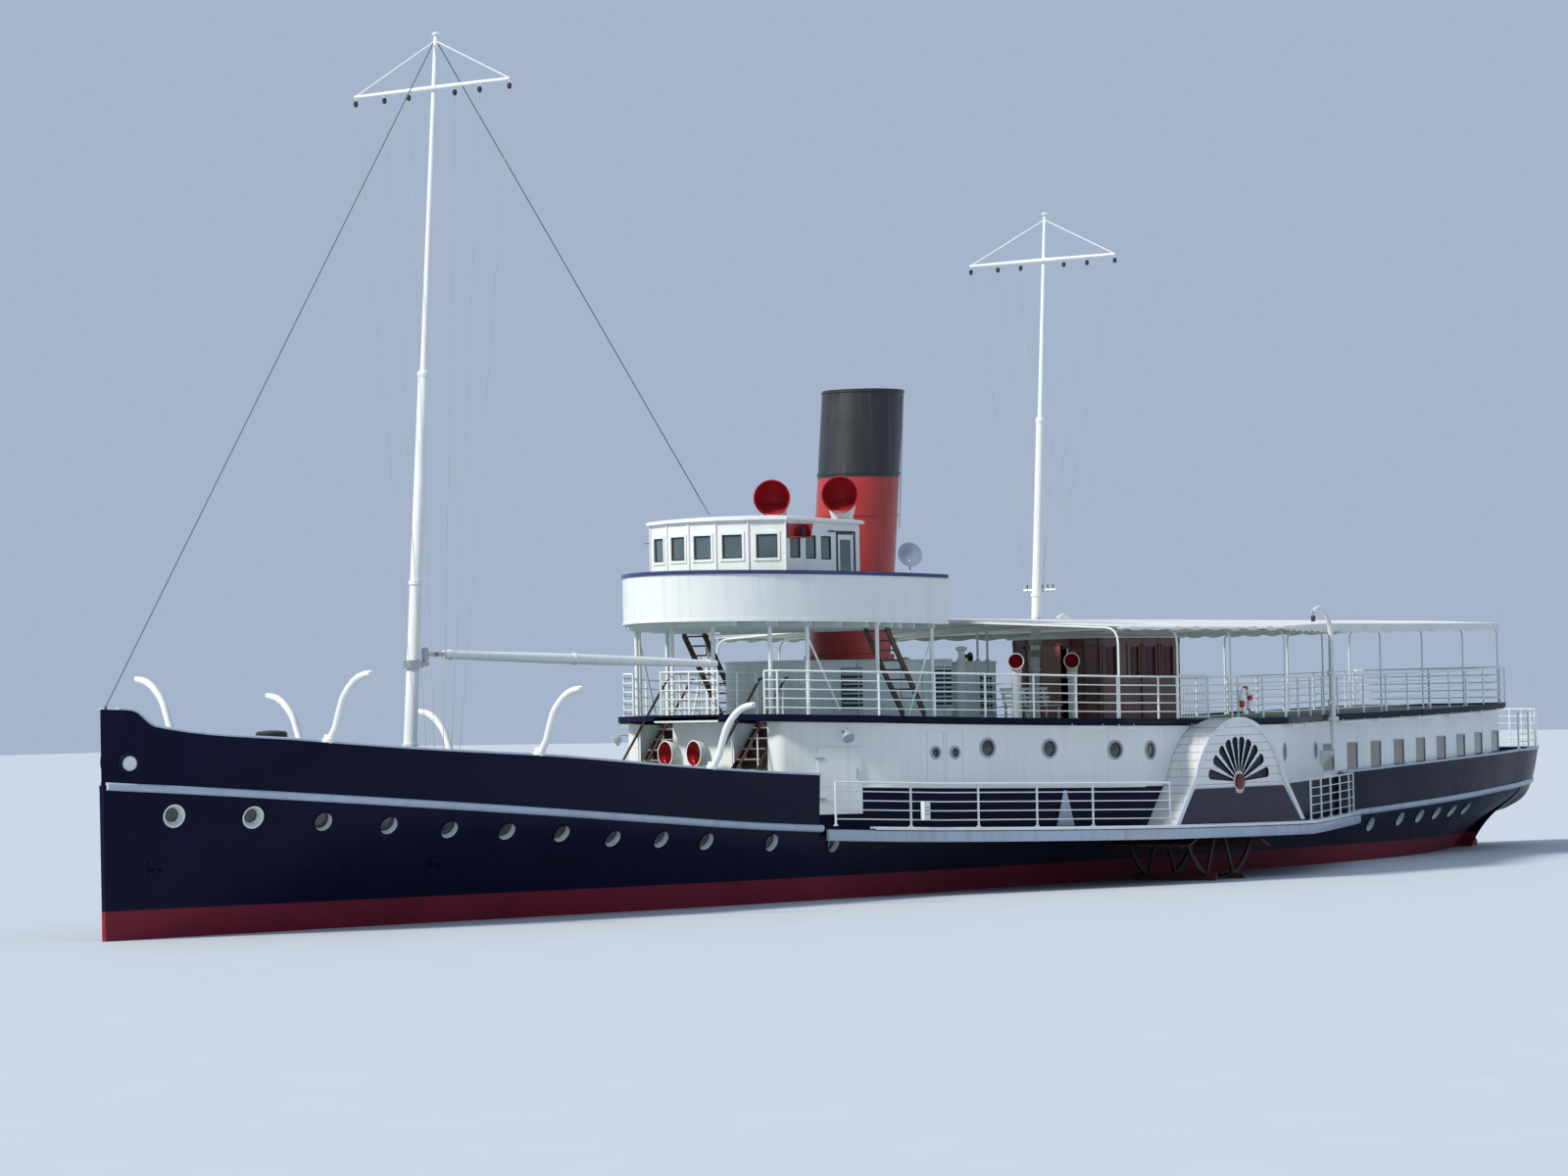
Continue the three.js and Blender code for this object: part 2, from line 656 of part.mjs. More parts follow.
// Paddle box: an arched drum open below, with a fan of slots in its outer face.
function boxDrum(r, foot, base, y0, y1) {
  const start = Math.asin(0.35);
  const shape = new THREE.Shape();
  shape.moveTo(foot, base);
  shape.lineTo(r * Math.cos(start), BOX.arcZ + r * Math.sin(start));
  shape.absarc(0, BOX.arcZ, r, start, Math.PI - start, false);
  shape.lineTo(-foot, base);
  shape.closePath();
  return solidOf(
    new THREE.ExtrudeGeometry(shape, { depth: y1 - y0, bevelEnabled: false, curveSegments: 14 })
      .rotateX(Math.PI / 2)
      .translate(PADDLE.x, y1, 0),
  );
}
function paddleBox() {
  const { innerY, outerY, arcR, wall, footHalf, footZ } = BOX;
  const shell = cut(
    boxDrum(arcR, footHalf, footZ, innerY, outerY),
    boxDrum(arcR - wall, footHalf - 2 * wall, footZ - 0.02, innerY + wall, outerY - wall),
  );
  const slots = Array.from({ length: FAN.slots }, (_, i) => {
    const pitch = Math.PI / FAN.slots;
    const a = (i + 0.5) * pitch;
    const lift = FAN.hubZ - BOX.arcZ;
    const toArch = Math.sqrt(arcR ** 2 - (lift * Math.cos(a)) ** 2) - lift * Math.sin(a);
    const outerR = FAN.reach * toArch;
    const shape = new THREE.Shape();
    const [w0, w1] = [0.03, 0.14];
    shape.moveTo(FAN.innerR, -w0);
    shape.lineTo(outerR, -w1);
    shape.lineTo(outerR, w1);
    shape.lineTo(FAN.innerR, w0);
    shape.closePath();
    const g = new THREE.ExtrudeGeometry(shape, { depth: 0.4, bevelEnabled: false })
      .rotateZ(a)
      .rotateX(Math.PI / 2)
      .translate(PADDLE.x, outerY + 0.1, FAN.hubZ);
    return solidOf(g);
  });
  const hub = rod([PADDLE.x, outerY - 0.02, FAN.hubZ], [PADDLE.x, outerY + 0.06, FAN.hubZ], FAN.hubR, 10);
  const bore = rod(
    [PADDLE.x, innerY - 0.2, PADDLE.shaftZ],
    [PADDLE.x, innerY + 0.2, PADDLE.shaftZ],
    PADDLE.shaftR + PIN,
    12,
  );
  return cut(join(shell, hub), slots, bore);
}
piece("paddle_box_port", "white", paddleBox());
piece("paddle_box_starboard", "white", mirrored(paddleBox()));

// Paddle wheel: two rims on spokes, with the floats between them.
function paddleWheel() {
  const { x, shaftZ, hubR, rimR, wheelR, floats, floatDepth, innerY, outerY, shaftR } = PADDLE;
  const solids = [];
  const rimYs = [innerY + 0.35, outerY - 0.35];
  for (const y of rimYs) {
    const ring = new THREE.LatheGeometry(
      [
        [rimR - 0.06, -0.035],
        [rimR + 0.06, -0.035],
        [rimR + 0.06, 0.035],
        [rimR - 0.06, 0.035],
        [rimR - 0.06, -0.035],
      ].map((p) => new THREE.Vector2(...p)),
      16,
    );
    solids.push(solidOf(ring.translate(x, y, shaftZ)));
    solids.push(rod([x, y - 0.14, shaftZ], [x, y + 0.14, shaftZ], hubR, 8));
  }
  for (let i = 0; i < floats; i++) {
    const a = (2 * Math.PI * (i + 0.5)) / floats;
    if (i < floats / 2)
      for (const y of rimYs) {
        const arm = new THREE.BoxGeometry(2 * rimR, 0.06, 0.1).rotateY(-a).translate(x, y, shaftZ);
        solids.push(solidOf(arm));
      }
    const plank = new THREE.BoxGeometry(floatDepth, outerY - innerY, 0.05)
      .translate(wheelR - floatDepth / 2 - 0.01, 0, 0)
      .rotateY(-a)
      .translate(x, (innerY + outerY) / 2, shaftZ);
    solids.push(solidOf(plank));
  }
  const bore = rod([x, innerY - 1, shaftZ], [x, outerY + 1, shaftZ], shaftR + SEAT, 12);
  return cut(join(solids), bore);
}
piece("paddle_wheel_port", "bottom", paddleWheel());
piece("paddle_wheel_starboard", "bottom", mirrored(paddleWheel()));
piece(
  "paddle_shaft",
  "steel",
  rod([PADDLE.x, -PADDLE.outerY, PADDLE.shaftZ], [PADDLE.x, PADDLE.outerY, PADDLE.shaftZ], PADDLE.shaftR, 12),
);

// The awning's canvas lies in two flat slopes on a frame, whose side posts stand in line with the rails.
const AWNING = { ridgeZ: 6.66, fall: 0.054, inset: 0.2, thick: 0.03, bar: 0.022, post: 0.028 };
const AWNING_X = [1.15, -1.5, -4.0, -6.6, -12.8, -16.2, -18.8, -21.7, -24.5];
const RAIL_INSET = 0.09;
const SIDE = { foreX: 1.15, aftX: -6.6, y: 6.3 - RAIL_INSET };
const awningHalf = (x) => halfAt(PROMENADE, x) - (x < SIDE.aftX ? AWNING.inset : RAIL_INSET);
const awningZ = (y) => AWNING.ridgeZ - AWNING.fall * y; // underside of the canvas
const under = AWNING.bar + 0.01;
const awningEdge = (x) => [x, awningHalf(x), awningZ(awningHalf(x)) - under];
// A bar along the awning's edge, and the posts that carry it.
const awningSide = (barXs, postXs) =>
  join(
    barXs.slice(1).map((x, i) => rod(awningEdge(barXs[i]), awningEdge(x), AWNING.bar, 4)),
    postXs.map((x) => rod([x, awningHalf(x), promenadeZ(x) + SEAT], awningEdge(x), AWNING.post, 4)),
  );

// Rails of the promenade deck, in straight lengths with a joint at each corner post.
const RAIL_BARS = [RAIL_HEIGHT / 2, RAIL_HEIGHT];
const railPoint = ([x, y]) => [x, y - RAIL_INSET];
const foreRail = [
  [9.86, STAIR.y + STAIR.half + 0.06],
  [9.8, 2.32],
  railPoint(PROMENADE[2]),
  [SIDE.foreX, SIDE.y],
];
const aftRail = [[SIDE.aftX, SIDE.y], ...PROMENADE.slice(5).map(railPoint)];
aftRail[aftRail.length - 1][0] += RAIL_INSET;
const foreLimit = block([SIDE.foreX + POST / 2 + SEAT, -9, 0], [12, 9, 9]);
const aftLimit = block([-30, -9, 0], [SIDE.aftX - POST / 2 - SEAT, 9, 9]);
const promenadeRails = {
  fore_rail: railing(foreRail, promenadeZ, RAIL_BARS, 2).intersect(foreLimit),
  side_rail: join(
    railing([[SIDE.foreX, SIDE.y], [-0.6, SIDE.y], [-4.0, SIDE.y], [SIDE.aftX, SIDE.y]], promenadeZ, RAIL_BARS, 9),
    awningSide(AWNING_X.slice(0, 4), AWNING_X.slice(0, 4)),
  ),
};
for (const [name, solid] of Object.entries(promenadeRails)) {
  piece(name + "_port", "white", solid);
  piece(name + "_starboard", "white", mirrored(solid));
}
piece(
  "promenade_rail",
  "white",
  railing(aftRail.concat(aftRail.map(([x, y]) => [x, -y]).reverse()), promenadeZ, RAIL_BARS, 2.6)
    .intersect(aftLimit),
);
const frontHalf = STAIR.y - STAIR.half - 0.06;
piece(
  "stairhead_rail",
  "white",
  railing(
    [
      [8.72, -frontHalf],
      [10.2, -frontHalf],
      [10.2, frontHalf],
      [8.72, frontHalf],
    ],
    promenadeZ,
    RAIL_BARS,
    1.6,
  ),
);

// Rails along the sponsons.
const sponsonRun = (from, to) =>
  [...new Set([from, ...SPONSON.map(([x]) => x), to])]
    .filter((x) => x <= from && x >= to)
    .sort((a, b) => b - a)
    .map((x) => [x, halfAt(SPONSON, x) - 0.1]);
const sponsonRails = {
  fore: railing(sponsonRun(9.6, 0.25), deckZ, RAIL_BARS, 2.4),
  aft: railing(sponsonRun(-6.4, -13.6), deckZ, RAIL_BARS, 2.4),
};
for (const [end, solid] of Object.entries(sponsonRails)) {
  piece("sponson_rail_" + end + "_port", "white", solid);
  piece("sponson_rail_" + end + "_starboard", "white", mirrored(solid));
}

// Stairs: two stringers with treads between them, and a hand rail on each side.
function flight({ x0, z0, x1, z1, y, half, steps, rail }) {
  const solids = [];
  for (const side of [-1, 1]) {
    const ys = y + side * (half - 0.02);
    const string = [
      [x0, ys - 0.02, z0 + 0.02],
      [x0, ys + 0.02, z0 + 0.02],
      [x0, ys + 0.02, z0 + 0.28],
      [x0, ys - 0.02, z0 + 0.28],
    ];
    const top = string.map(([, b, z]) => [x1, b, z - z0 + z1 - 0.2]);
    solids.push(loft([string, top]));
    if (rail) {
      const lift = (x, z, h) => [x, ys, z + h];
      const headX = x1 + Math.sign(x0 - x1) * 0.1;
      solids.push(rod(lift(x0, z0, 1.0), lift(x1, z1, 1.0), 0.03, 4));
      solids.push(rod(lift(x0, z0, 0.1), lift(x0, z0, 1.02), 0.03, 4));
      solids.push(rod(lift(headX, z1, 0), lift(headX, z1, 1.03), 0.03, 4));
    }
  }
  for (let i = 1; i < steps; i++) {
    const x = THREE.MathUtils.lerp(x0, x1, i / steps);
    const z = THREE.MathUtils.lerp(z0, z1, i / steps) + 0.06;
    solids.push(block([x - 0.11, y - half + 0.02, z], [x + 0.11, y + half - 0.02, z + 0.04]));
  }
  return join(solids);
}
const foreFlight = flight({
  x0: STAIR.footX,
  z0: deckZ(STAIR.footX) - 0.01,
  x1: STAIR.topX + 0.06,
  z1: promenadeZ(STAIR.topX) - 0.06,
  y: STAIR.y,
  half: STAIR.half - 0.1,
  steps: 9,
  rail: true,
});
piece("fore_stair_port", "teak", foreFlight);
piece("fore_stair_starboard", "teak", mirrored(foreFlight));

// Bridge: a bowed platform with its bulwark, on thin stanchions.
const bridgeLift = (x) => BRIDGE_SHEER.slope * (x - BRIDGE_SHEER.x);
const bridgeFront = Array.from({ length: 9 }, (_, i) => {
  const a = (Math.PI / 2) * (i / 8);
  return [
    BRIDGE.aftX + (BRIDGE.frontX - BRIDGE.aftX) * Math.cos(a),
    BRIDGE.half * Math.sin(a),
  ];
});
const bridgeLoop = [...bridgeFront, ...bridgeFront.slice(1).map(([x, y]) => [x, -y]).reverse()];
const bridgeSlab = loft(
  bridgeFront.slice(1).map(([x, y]) => {
    const z = BRIDGE.floorZ + bridgeLift(x);
    return [
      [x, y, z],
      [x, y, z + BRIDGE.slab],
      [x, -y, z + BRIDGE.slab],
      [x, -y, z],
    ];
  }),
);
const bandInner = inset(bridgeLoop, SHELL);
const bandRows = bridgeLoop.map(([x, y], i) => {
  const [u, v] = bandInner[i];
  const z = BRIDGE.floorZ + bridgeLift(x);
  return [
    [x, y, z],
    [x, y, z + BRIDGE.height],
    [u, v, z + BRIDGE.height],
    [u, v, z],
  ];
});
const bridgeBand = cut(
  loft(bandRows, true),
  block(
    [BRIDGE.aftX - 1, -BRIDGE.half + SHELL, BRIDGE.floorZ - 0.2 + BRIDGE.slab],
    [BRIDGE.aftX + 0.5, BRIDGE.half - SHELL, 9],
  ),
);
// Stanchions under the bridge: x, y
const BRIDGE_POSTS = [
  [10.05, 0.62],
  [9.66, 2.02],
  [8.9, 2.55],
  [7.0, 3.2],
  [5.1, 3.44],
];
const bridgePosts = BRIDGE_POSTS.flatMap(([x, y]) =>
  [1, -1].map((sign) =>
    rod(
      [x, sign * y, promenadeZ(x) + SEAT],
      [x, sign * y, BRIDGE.floorZ + bridgeLift(x) + 0.05],
      0.05,
      6,
    ),
  ),
);
const BRIDGE_STAIR = { y: 2.78, half: 0.34, footX: 4.95, topX: 6.5 };
const hatch = block(
  [BRIDGE_STAIR.footX + 0.6, BRIDGE_STAIR.y - 0.4, BRIDGE.floorZ - 0.3],
  [BRIDGE_STAIR.topX + 0.1, BRIDGE_STAIR.y + 0.4, BRIDGE.floorZ + 0.3],
);
piece("bridge", "white", cut(join(bridgeSlab, bridgeBand, bridgePosts), hatch, mirrored(hatch)));

// Wheelhouse: a hollow cabin with a bowed front, its windows cut, and a door on each side.
const WH_FRONT_BAYS = 5;
const whFront = Array.from({ length: WH_FRONT_BAYS + 1 }, (_, i) => {
  const s = 1 - (2 * i) / WH_FRONT_BAYS;
  return [
    THREE.MathUtils.lerp(WHEELHOUSE.frontX, WHEELHOUSE.sideX, s * s),
    WHEELHOUSE.half * s,
  ];
});
const whLoop = [
  [WHEELHOUSE.aftX, -WHEELHOUSE.half],
  ...whFront.toReversed(),
  [WHEELHOUSE.aftX, WHEELHOUSE.half],
];
const whFloor = (x) => BRIDGE.floorZ + BRIDGE.slab + bridgeLift(x) + SEAT;
const whTop = (x) => whFloor(x) + WHEELHOUSE.height;
const whInner = inset(whLoop, WALL);
const whWalls = loft(
  whLoop.map(([x, y], i) => {
    const [u, v] = whInner[i];
    return [
      [x, y, whFloor(x)],
      [x, y, whTop(x)],
      [u, v, whTop(u)],
      [u, v, whFloor(u)],
    ];
  }),
  true,
);
const WINDOW = { low: 1.42, high: 1.98, half: 0.2 };
const frontWindows = whFront.slice(1).map(([x1, y1], i) => {
  const [x0, y0] = whFront[i];
  const [x, y] = [(x0 + x1) / 2, (y0 + y1) / 2];
  const a = Math.atan2(y1 - y0, x1 - x0) + Math.PI / 2;
  const g = new THREE.BoxGeometry(0.6, 2 * WINDOW.half, WINDOW.high - WINDOW.low)
    .rotateZ(a)
    .translate(x, y, whFloor(x) + (WINDOW.low + WINDOW.high) / 2);
  return solidOf(g);
});
const SIDE_WINDOWS = [8.62, 8.0, 7.4];
const sideWindows = SIDE_WINDOWS.map((x) =>
  block([x - 0.17, -3, whFloor(x) + WINDOW.low], [x + 0.17, 3, whFloor(x) + WINDOW.high]),
);
const DOOR_X = { hinge: 6.94, free: 6.94 - DOOR.width - 2 * DOOR.gap };
const doorCut = block(
  [DOOR_X.free, -3, whFloor(DOOR_X.free) + 0.06],
  [DOOR_X.hinge, 3, whFloor(DOOR_X.free) + 0.06 + DOOR.height + 0.04],
);
piece("wheelhouse", "white", cut(whWalls, frontWindows, sideWindows, doorCut));

const roofLoop = inset(whLoop, -0.14);
const roofRows = [
  [0, 0.0],
  [0, 0.07],
  [0.9, 0.17],
].map(([shrink, up]) =>
  roofLoop.map(([x, y]) => {
    const cx = 7.8;
    return [x + (cx - x) * shrink * 0.98, y * (1 - shrink * 0.98), whTop(x) + up + SEAT];
  }),
);
piece("wheelhouse_roof", "white", loft(roofRows));

function wheelhouseDoor() {
  const z = whFloor(DOOR_X.free) + 0.07;
  const y1 = WHEELHOUSE.half - 0.01;
  const leaf = block(
    [DOOR_X.free + DOOR.gap, y1 - DOOR.thick, z],
    [DOOR_X.hinge - DOOR.gap, y1, z + DOOR.height],
  );
  const pane = block(
    [DOOR_X.free + 0.16, y1 - 0.3, z + 1.1],
    [DOOR_X.hinge - 0.16, y1 + 0.3, z + 1.8],
  );
  return cut(leaf, pane);
}
piece("wheelhouse_door_port", "white", wheelhouseDoor());
piece("wheelhouse_door_starboard", "white", mirrored(wheelhouseDoor()));

// Casings on the promenade deck: fore x, aft x, half width, height
const CASINGS = {
  fore_casing: [7.6, 1.5, 1.5, 1.42],
  engine_casing: [0.9, -0.75, 1.28, 1.55],
};
for (const [name, [foreX, aftX, half, height]] of Object.entries(CASINGS)) {
  const low = Math.max(promenadeZ(foreX), promenadeZ(aftX)) + 2 * SEAT;
  piece(name, "grey", block([aftX, -half, low], [foreX, half, low + height]));
}

// Funnel: a raked steel tube, open at the top, on its casing.
const [casingX, , , casingHeight] = CASINGS.fore_casing;
const funnelFootZ = promenadeZ(casingX) + 3 * SEAT + casingHeight;
const funnelProfile = [
  [FUNNEL.r + 0.1, 0],
  [FUNNEL.r + 0.1, 0.12],
  [FUNNEL.r, 0.16],
  [FUNNEL.r, FUNNEL.topZ - funnelFootZ],
  [FUNNEL.r - 0.06, FUNNEL.topZ - funnelFootZ],
  [FUNNEL.r - 0.06, 0],
  [FUNNEL.r + 0.1, 0],
].map((p) => new THREE.Vector2(...p));
const raked = new THREE.Matrix4().set(1, 0, -FUNNEL.rake, 0, 0, 1, 0, 0, 0, 0, 1, 0, 0, 0, 0, 1);
piece(
  "funnel",
  "red",
  solidOf(
    new THREE.LatheGeometry(funnelProfile, 24)
      .rotateX(Math.PI / 2)
      .applyMatrix4(raked)
      .translate(FUNNEL.footX, 0, funnelFootZ),
  ),
);

// Deckhouse: a wooden cabin on the promenade deck abaft the mainmast, hollow, with a roof.
const DECKHOUSE = { foreX: -5.3, aftX: -9.2, half: 1.35, height: 2.2 };
const dhLoop = bothSides([
  [DECKHOUSE.foreX, DECKHOUSE.half],
  [DECKHOUSE.aftX, DECKHOUSE.half],
]);
const dhTop = promenadeZ(DECKHOUSE.aftX) + DECKHOUSE.height;
const dhWalls = walls(
  dhLoop,
  WALL,
  (x) => promenadeZ(x) + SEAT,
  () => dhTop,
);
const dhWindows = [-5.85, -6.95, -7.75, -8.6].map((x) =>
  block([x - 0.25, -3, 5.15], [x + 0.25, 3, 5.95]),
);
const dhDoorway = block([-5.6, -0.34, promenadeZ(-5.3) + 0.1], [-5, 0.42, 5.95]);
const mainMast = MASTS.mainmast;
const mainMastAt = (z) => [mainMast.x - (z - promenadeZ(mainMast.x)) * mainMast.rake, 0, z];
piece("deckhouse", "wood", cut(dhWalls, dhWindows, dhDoorway));
piece(
  "deckhouse_roof",
  "white",
  block(
    [DECKHOUSE.aftX - 0.12, -DECKHOUSE.half - 0.12, dhTop + SEAT],
    [DECKHOUSE.foreX + 0.12, DECKHOUSE.half + 0.12, dhTop + 0.1],
  ),
);

// Boom of the foremast: it swings on an upright pin of the mast and luffs on a cross pin.
const BOOM = { pinX: 19.62, z: 5.85, endX: 11.67, endY: 2.0, endZ: 5.56, r: 0.12, crossPin: 0.34 };
const boomPin = [
  block([BOOM.pinX - 0.07, -0.06, BOOM.z - 0.26], [20.1, 0.06, BOOM.z - 0.17]),
  rod([BOOM.pinX, 0, BOOM.z - 0.2], [BOOM.pinX, 0, BOOM.z + 0.16], 0.03, 8),
];

// Masts: a stout lower mast, a slim topmast and a yard, stepped on the deck.
const mastDeck = { foremast: deckZ, mainmast: promenadeZ };
for (const [name, m] of Object.entries(MASTS)) {
  const edges = [m.r, -m.r].map((d) => mastDeck[name](m.x + d) - m.rake * d);
  const footZ = Math.max(...edges) + SEAT;
  const p = (z) => [m.x - (z - footZ) * m.rake, 0, z];
  const yard = p(m.yardZ);
  const yardEnd = (sign) => [yard[0], sign * YARD_HALF, yard[2]];
  const tip = p(m.topZ - 0.15);
  piece(
    name,
    "white",
    join(
      rod(p(footZ), p(m.jointZ + 0.1), m.r, 10, m.r * 0.8),
      rod(p(m.jointZ - 0.1), p(m.jointZ + 0.14), m.r * 0.95, 10),
      rod(p(m.jointZ), p(m.topZ), m.r * 0.55, 8, m.r * 0.36),
      rod(yardEnd(1), yardEnd(-1), 0.05, 6),
      rod(tip, yardEnd(1), 0.02, 4),
      rod(tip, yardEnd(-1), 0.02, 4),
      ...(name === "foremast" ? boomPin : []),
    ),
  );
}

// The boom's own frame: x runs from the upright pin to the boom's end.
const boomHeading = Math.atan2(BOOM.endY, BOOM.endX - BOOM.pinX);
const swung = (solid) => {
  const turn = new THREE.Matrix4()
    .makeTranslation(BOOM.pinX * MODEL_MM, 0, BOOM.z * MODEL_MM)
    .multiply(new THREE.Matrix4().makeRotationZ(boomHeading));
  return solid.transform(turn.toArray());
};
piece(
  "boom_gooseneck",
  "steel",
  swung(
    cut(
      join(
        block([-0.08, -0.08, -0.16], [0.08, 0.08, 0.14]),
        block([0.06, -0.025, -0.05], [BOOM.crossPin + 0.06, 0.025, 0.05]),
      ),
      rod([0, 0, -1], [0, 0, 1], 0.03 + PIN, 8),
      rod([BOOM.crossPin, -1, 0], [BOOM.crossPin, 1, 0], 0.022 + PIN, 8),
    ),
  ),
);
const boomSpan = Math.hypot(BOOM.endX - BOOM.pinX, BOOM.endY);
const boomDrop = (BOOM.z - BOOM.endZ) / (boomSpan - BOOM.crossPin);
const boomAxis = (s) => [s, 0, -(s - BOOM.crossPin) * boomDrop];
const boomTubeFrom = BOOM.crossPin + 0.14;
piece(
  "boom",
  "white",
  swung(
    join(
      [-1, 1].map((side) =>
        block(
          [BOOM.crossPin - 0.05, side * 0.055 - 0.022, -0.05],
          [boomTubeFrom + 0.25, side * 0.055 + 0.022, 0.05],
        ),
      ),
      rod([BOOM.crossPin, -0.06, 0], [BOOM.crossPin, 0.06, 0], 0.022, 8),
      rod(boomAxis(boomTubeFrom), boomAxis(boomSpan * 0.5), 0.1, 10, BOOM.r),
      rod(boomAxis(boomSpan * 0.5), boomAxis(boomSpan), BOOM.r, 10, 0.09),
    ),
  ),
);

// Ventilators: x, y, mouth z, mouth radius, trunk radius, heading in degrees, height of the deck
const bridgeTop = (x) => BRIDGE.floorZ + BRIDGE.slab + bridgeLift(x);
const COWLS = {
  bridge_cowl: [5.4, 1.04, 9.66, 0.45, 0.25, 30, bridgeTop],
  fore_cowl: [10.35, 0.43, 3.47, 0.31, 0.14, -18, deckZ],
  side_cowl: [0.3, 2.6, 5.55, 0.2, 0.12, 30, promenadeZ],
  house_cowl: [-2.2, 2.6, 5.55, 0.2, 0.12, 30, promenadeZ],
};
for (const [name, [x, y, mouthZ, mouthR, trunkR, degrees, deck]] of Object.entries(COWLS))
  for (const [side, sign] of [["port", 1], ["starboard", -1]])
    piece(
      name + "_" + side,
      "white",
      ventilator({
        x,
        y: sign * y,
        deck,
        mouthZ,
        mouthR,
        trunkR,
        heading: THREE.MathUtils.degToRad(degrees),
        sides: mouthR > 0.4 ? 14 : 8,
      }),
    );

// Stairs from the promenade deck to the bridge.
const bridgeFlight = flight({
  x0: BRIDGE_STAIR.footX,
  z0: promenadeZ(BRIDGE_STAIR.footX) - 0.016,
  x1: BRIDGE_STAIR.topX,
  z1: BRIDGE.floorZ - 0.06,
  y: BRIDGE_STAIR.y,
  half: BRIDGE_STAIR.half,
  steps: 8,
  rail: false,
});
piece("bridge_stair_port", "teak", bridgeFlight);
piece("bridge_stair_starboard", "teak", mirrored(bridgeFlight));

// Awning over the after promenade deck: rafters and a ridge bar with a ring round the mast, posts
// along the after sides, and the canvas.
const ridge = (x) => [x, 0, awningZ(0) - under];
const mainMastHole = rod(mainMastAt(5.6), mainMastAt(7.2), 0.26, 12);
const ringX = mainMastAt(AWNING.ridgeZ)[0];
const rafters = AWNING_X.flatMap((x) =>
  [1, -1].map((sign) => {
    const y = awningHalf(x) - AWNING.post - 2 * SEAT;
    return rod([x, sign * y, awningZ(y) - under], ridge(x), AWNING.bar, 4);
  }),
);
piece(
  "awning_frame",
  "white",
  cut(
    join(
      rafters,
      rod(ridge(AWNING_X[0]), ridge(AWNING_X.at(-1)), AWNING.bar, 4),
      rod([ringX, 0, ridge(0)[2] - 0.035], [ringX, 0, ridge(0)[2]], 0.36, 14),
    ),
    mainMastHole,
  ),
);
const cornerX = SIDE.aftX - AWNING.post - 2 * SEAT;
const awningPosts = awningSide([cornerX, ...AWNING_X.slice(4)], AWNING_X.slice(4));
piece("awning_posts_port", "white", awningPosts);
piece("awning_posts_starboard", "white", mirrored(awningPosts));
piece(
  "awning",
  "canvas",
  cut(
    loft(
      AWNING_X.map((x) => {
        const y = awningHalf(x) + 0.06;
        const { ridgeZ, thick } = AWNING;
        const edgeZ = awningZ(y);
        // from the ridge, so that the fans of the end faces don't fold over
        return [
          [x, 0, ridgeZ],
          [x, y, edgeZ],
          [x, y, edgeZ + thick],
          [x, 0, ridgeZ + thick],
          [x, -y, edgeZ + thick],
          [x, -y, edgeZ],
        ];
      }),
    ),
    mainMastHole,
  ),
);

// Davits
const davitBend = [
  [0, DAVIT.bendZ],
  [0.04, 6.45],
  [0.22, 6.78],
  [0.52, DAVIT.topZ],
  [DAVIT.reach, 6.86],
];
const davit = join(
  rod([DAVIT.x, DAVIT.y, DAVIT.footZ + SEAT], [DAVIT.x, DAVIT.y, DAVIT.footZ + 0.3], 0.03, 10, DAVIT.r),
  rod([DAVIT.x, DAVIT.y, DAVIT.footZ + 0.3], [DAVIT.x, DAVIT.y, DAVIT.bendZ], DAVIT.r, 10, DAVIT.r * 0.8),
  sweep(davitBend.map(([out, z]) => [DAVIT.x + out, DAVIT.y, z]), DAVIT.r * 0.78, 8, 8),
);
piece("davit_port", "white", davit);
piece("davit_starboard", "white", mirrored(davit));

// Capstan on the foredeck
const CAPSTAN_X = 24.6;
piece(
  "capstan",
  "black",
  turned(
    [
      [0, 0],
      [0.42, 0],
      [0.42, 0.12],
      [0.24, 0.3],
      [0.2, 0.9],
      [0.34, 1.22],
      [0.34, 1.38],
      [0, 1.42],
    ].map(([r, z]) => [r, z + deckZ(CAPSTAN_X + 0.42) + SEAT]),
    CAPSTAN_X,
    0,
    14,
  ),
);

// Main stays: from the foremast head to the stem and to the wheelhouse.
const STAY_R = 0.014;
const STAY_Z = 19.5;
const fore = MASTS.foremast;
const mastHead = [fore.x - (STAY_Z - deckZ(fore.x)) * fore.rake, STAY_Z];
piece(
  "forestay",
  "steel",
  rod([mastHead[0] + 0.075, 0, mastHead[1]], [xOf(0.12), 0, at(0, RAIL_Z) + 0.02], STAY_R, 4),
);
piece(
  "bridge_stay",
  "steel",
  rod([mastHead[0] - 0.068, 0, mastHead[1]], [9.3, 0, 9.12], STAY_R, 4),
);

export default ship;
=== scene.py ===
import math

import bmesh
import bpy
import numpy as np
from mathutils import Matrix, Vector


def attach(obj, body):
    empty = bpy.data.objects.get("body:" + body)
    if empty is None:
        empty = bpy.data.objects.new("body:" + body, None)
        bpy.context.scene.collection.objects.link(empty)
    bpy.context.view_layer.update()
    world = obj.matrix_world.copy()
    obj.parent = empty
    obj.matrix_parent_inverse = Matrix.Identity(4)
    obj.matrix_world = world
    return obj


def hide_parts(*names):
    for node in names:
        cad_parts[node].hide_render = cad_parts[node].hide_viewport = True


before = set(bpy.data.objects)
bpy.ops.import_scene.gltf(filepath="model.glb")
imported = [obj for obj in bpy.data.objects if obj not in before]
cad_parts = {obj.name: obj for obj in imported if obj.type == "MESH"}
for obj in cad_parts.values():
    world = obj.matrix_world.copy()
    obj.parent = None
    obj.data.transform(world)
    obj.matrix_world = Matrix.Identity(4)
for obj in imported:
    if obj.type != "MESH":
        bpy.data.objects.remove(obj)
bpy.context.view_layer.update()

# Camera. It stands low, well off the port bow, behind a long lens. It looks a little upward, and is
# rolled by the ship's slight heel to starboard in the picture.
SHIP = 0.1  # model metres to one metre of ship
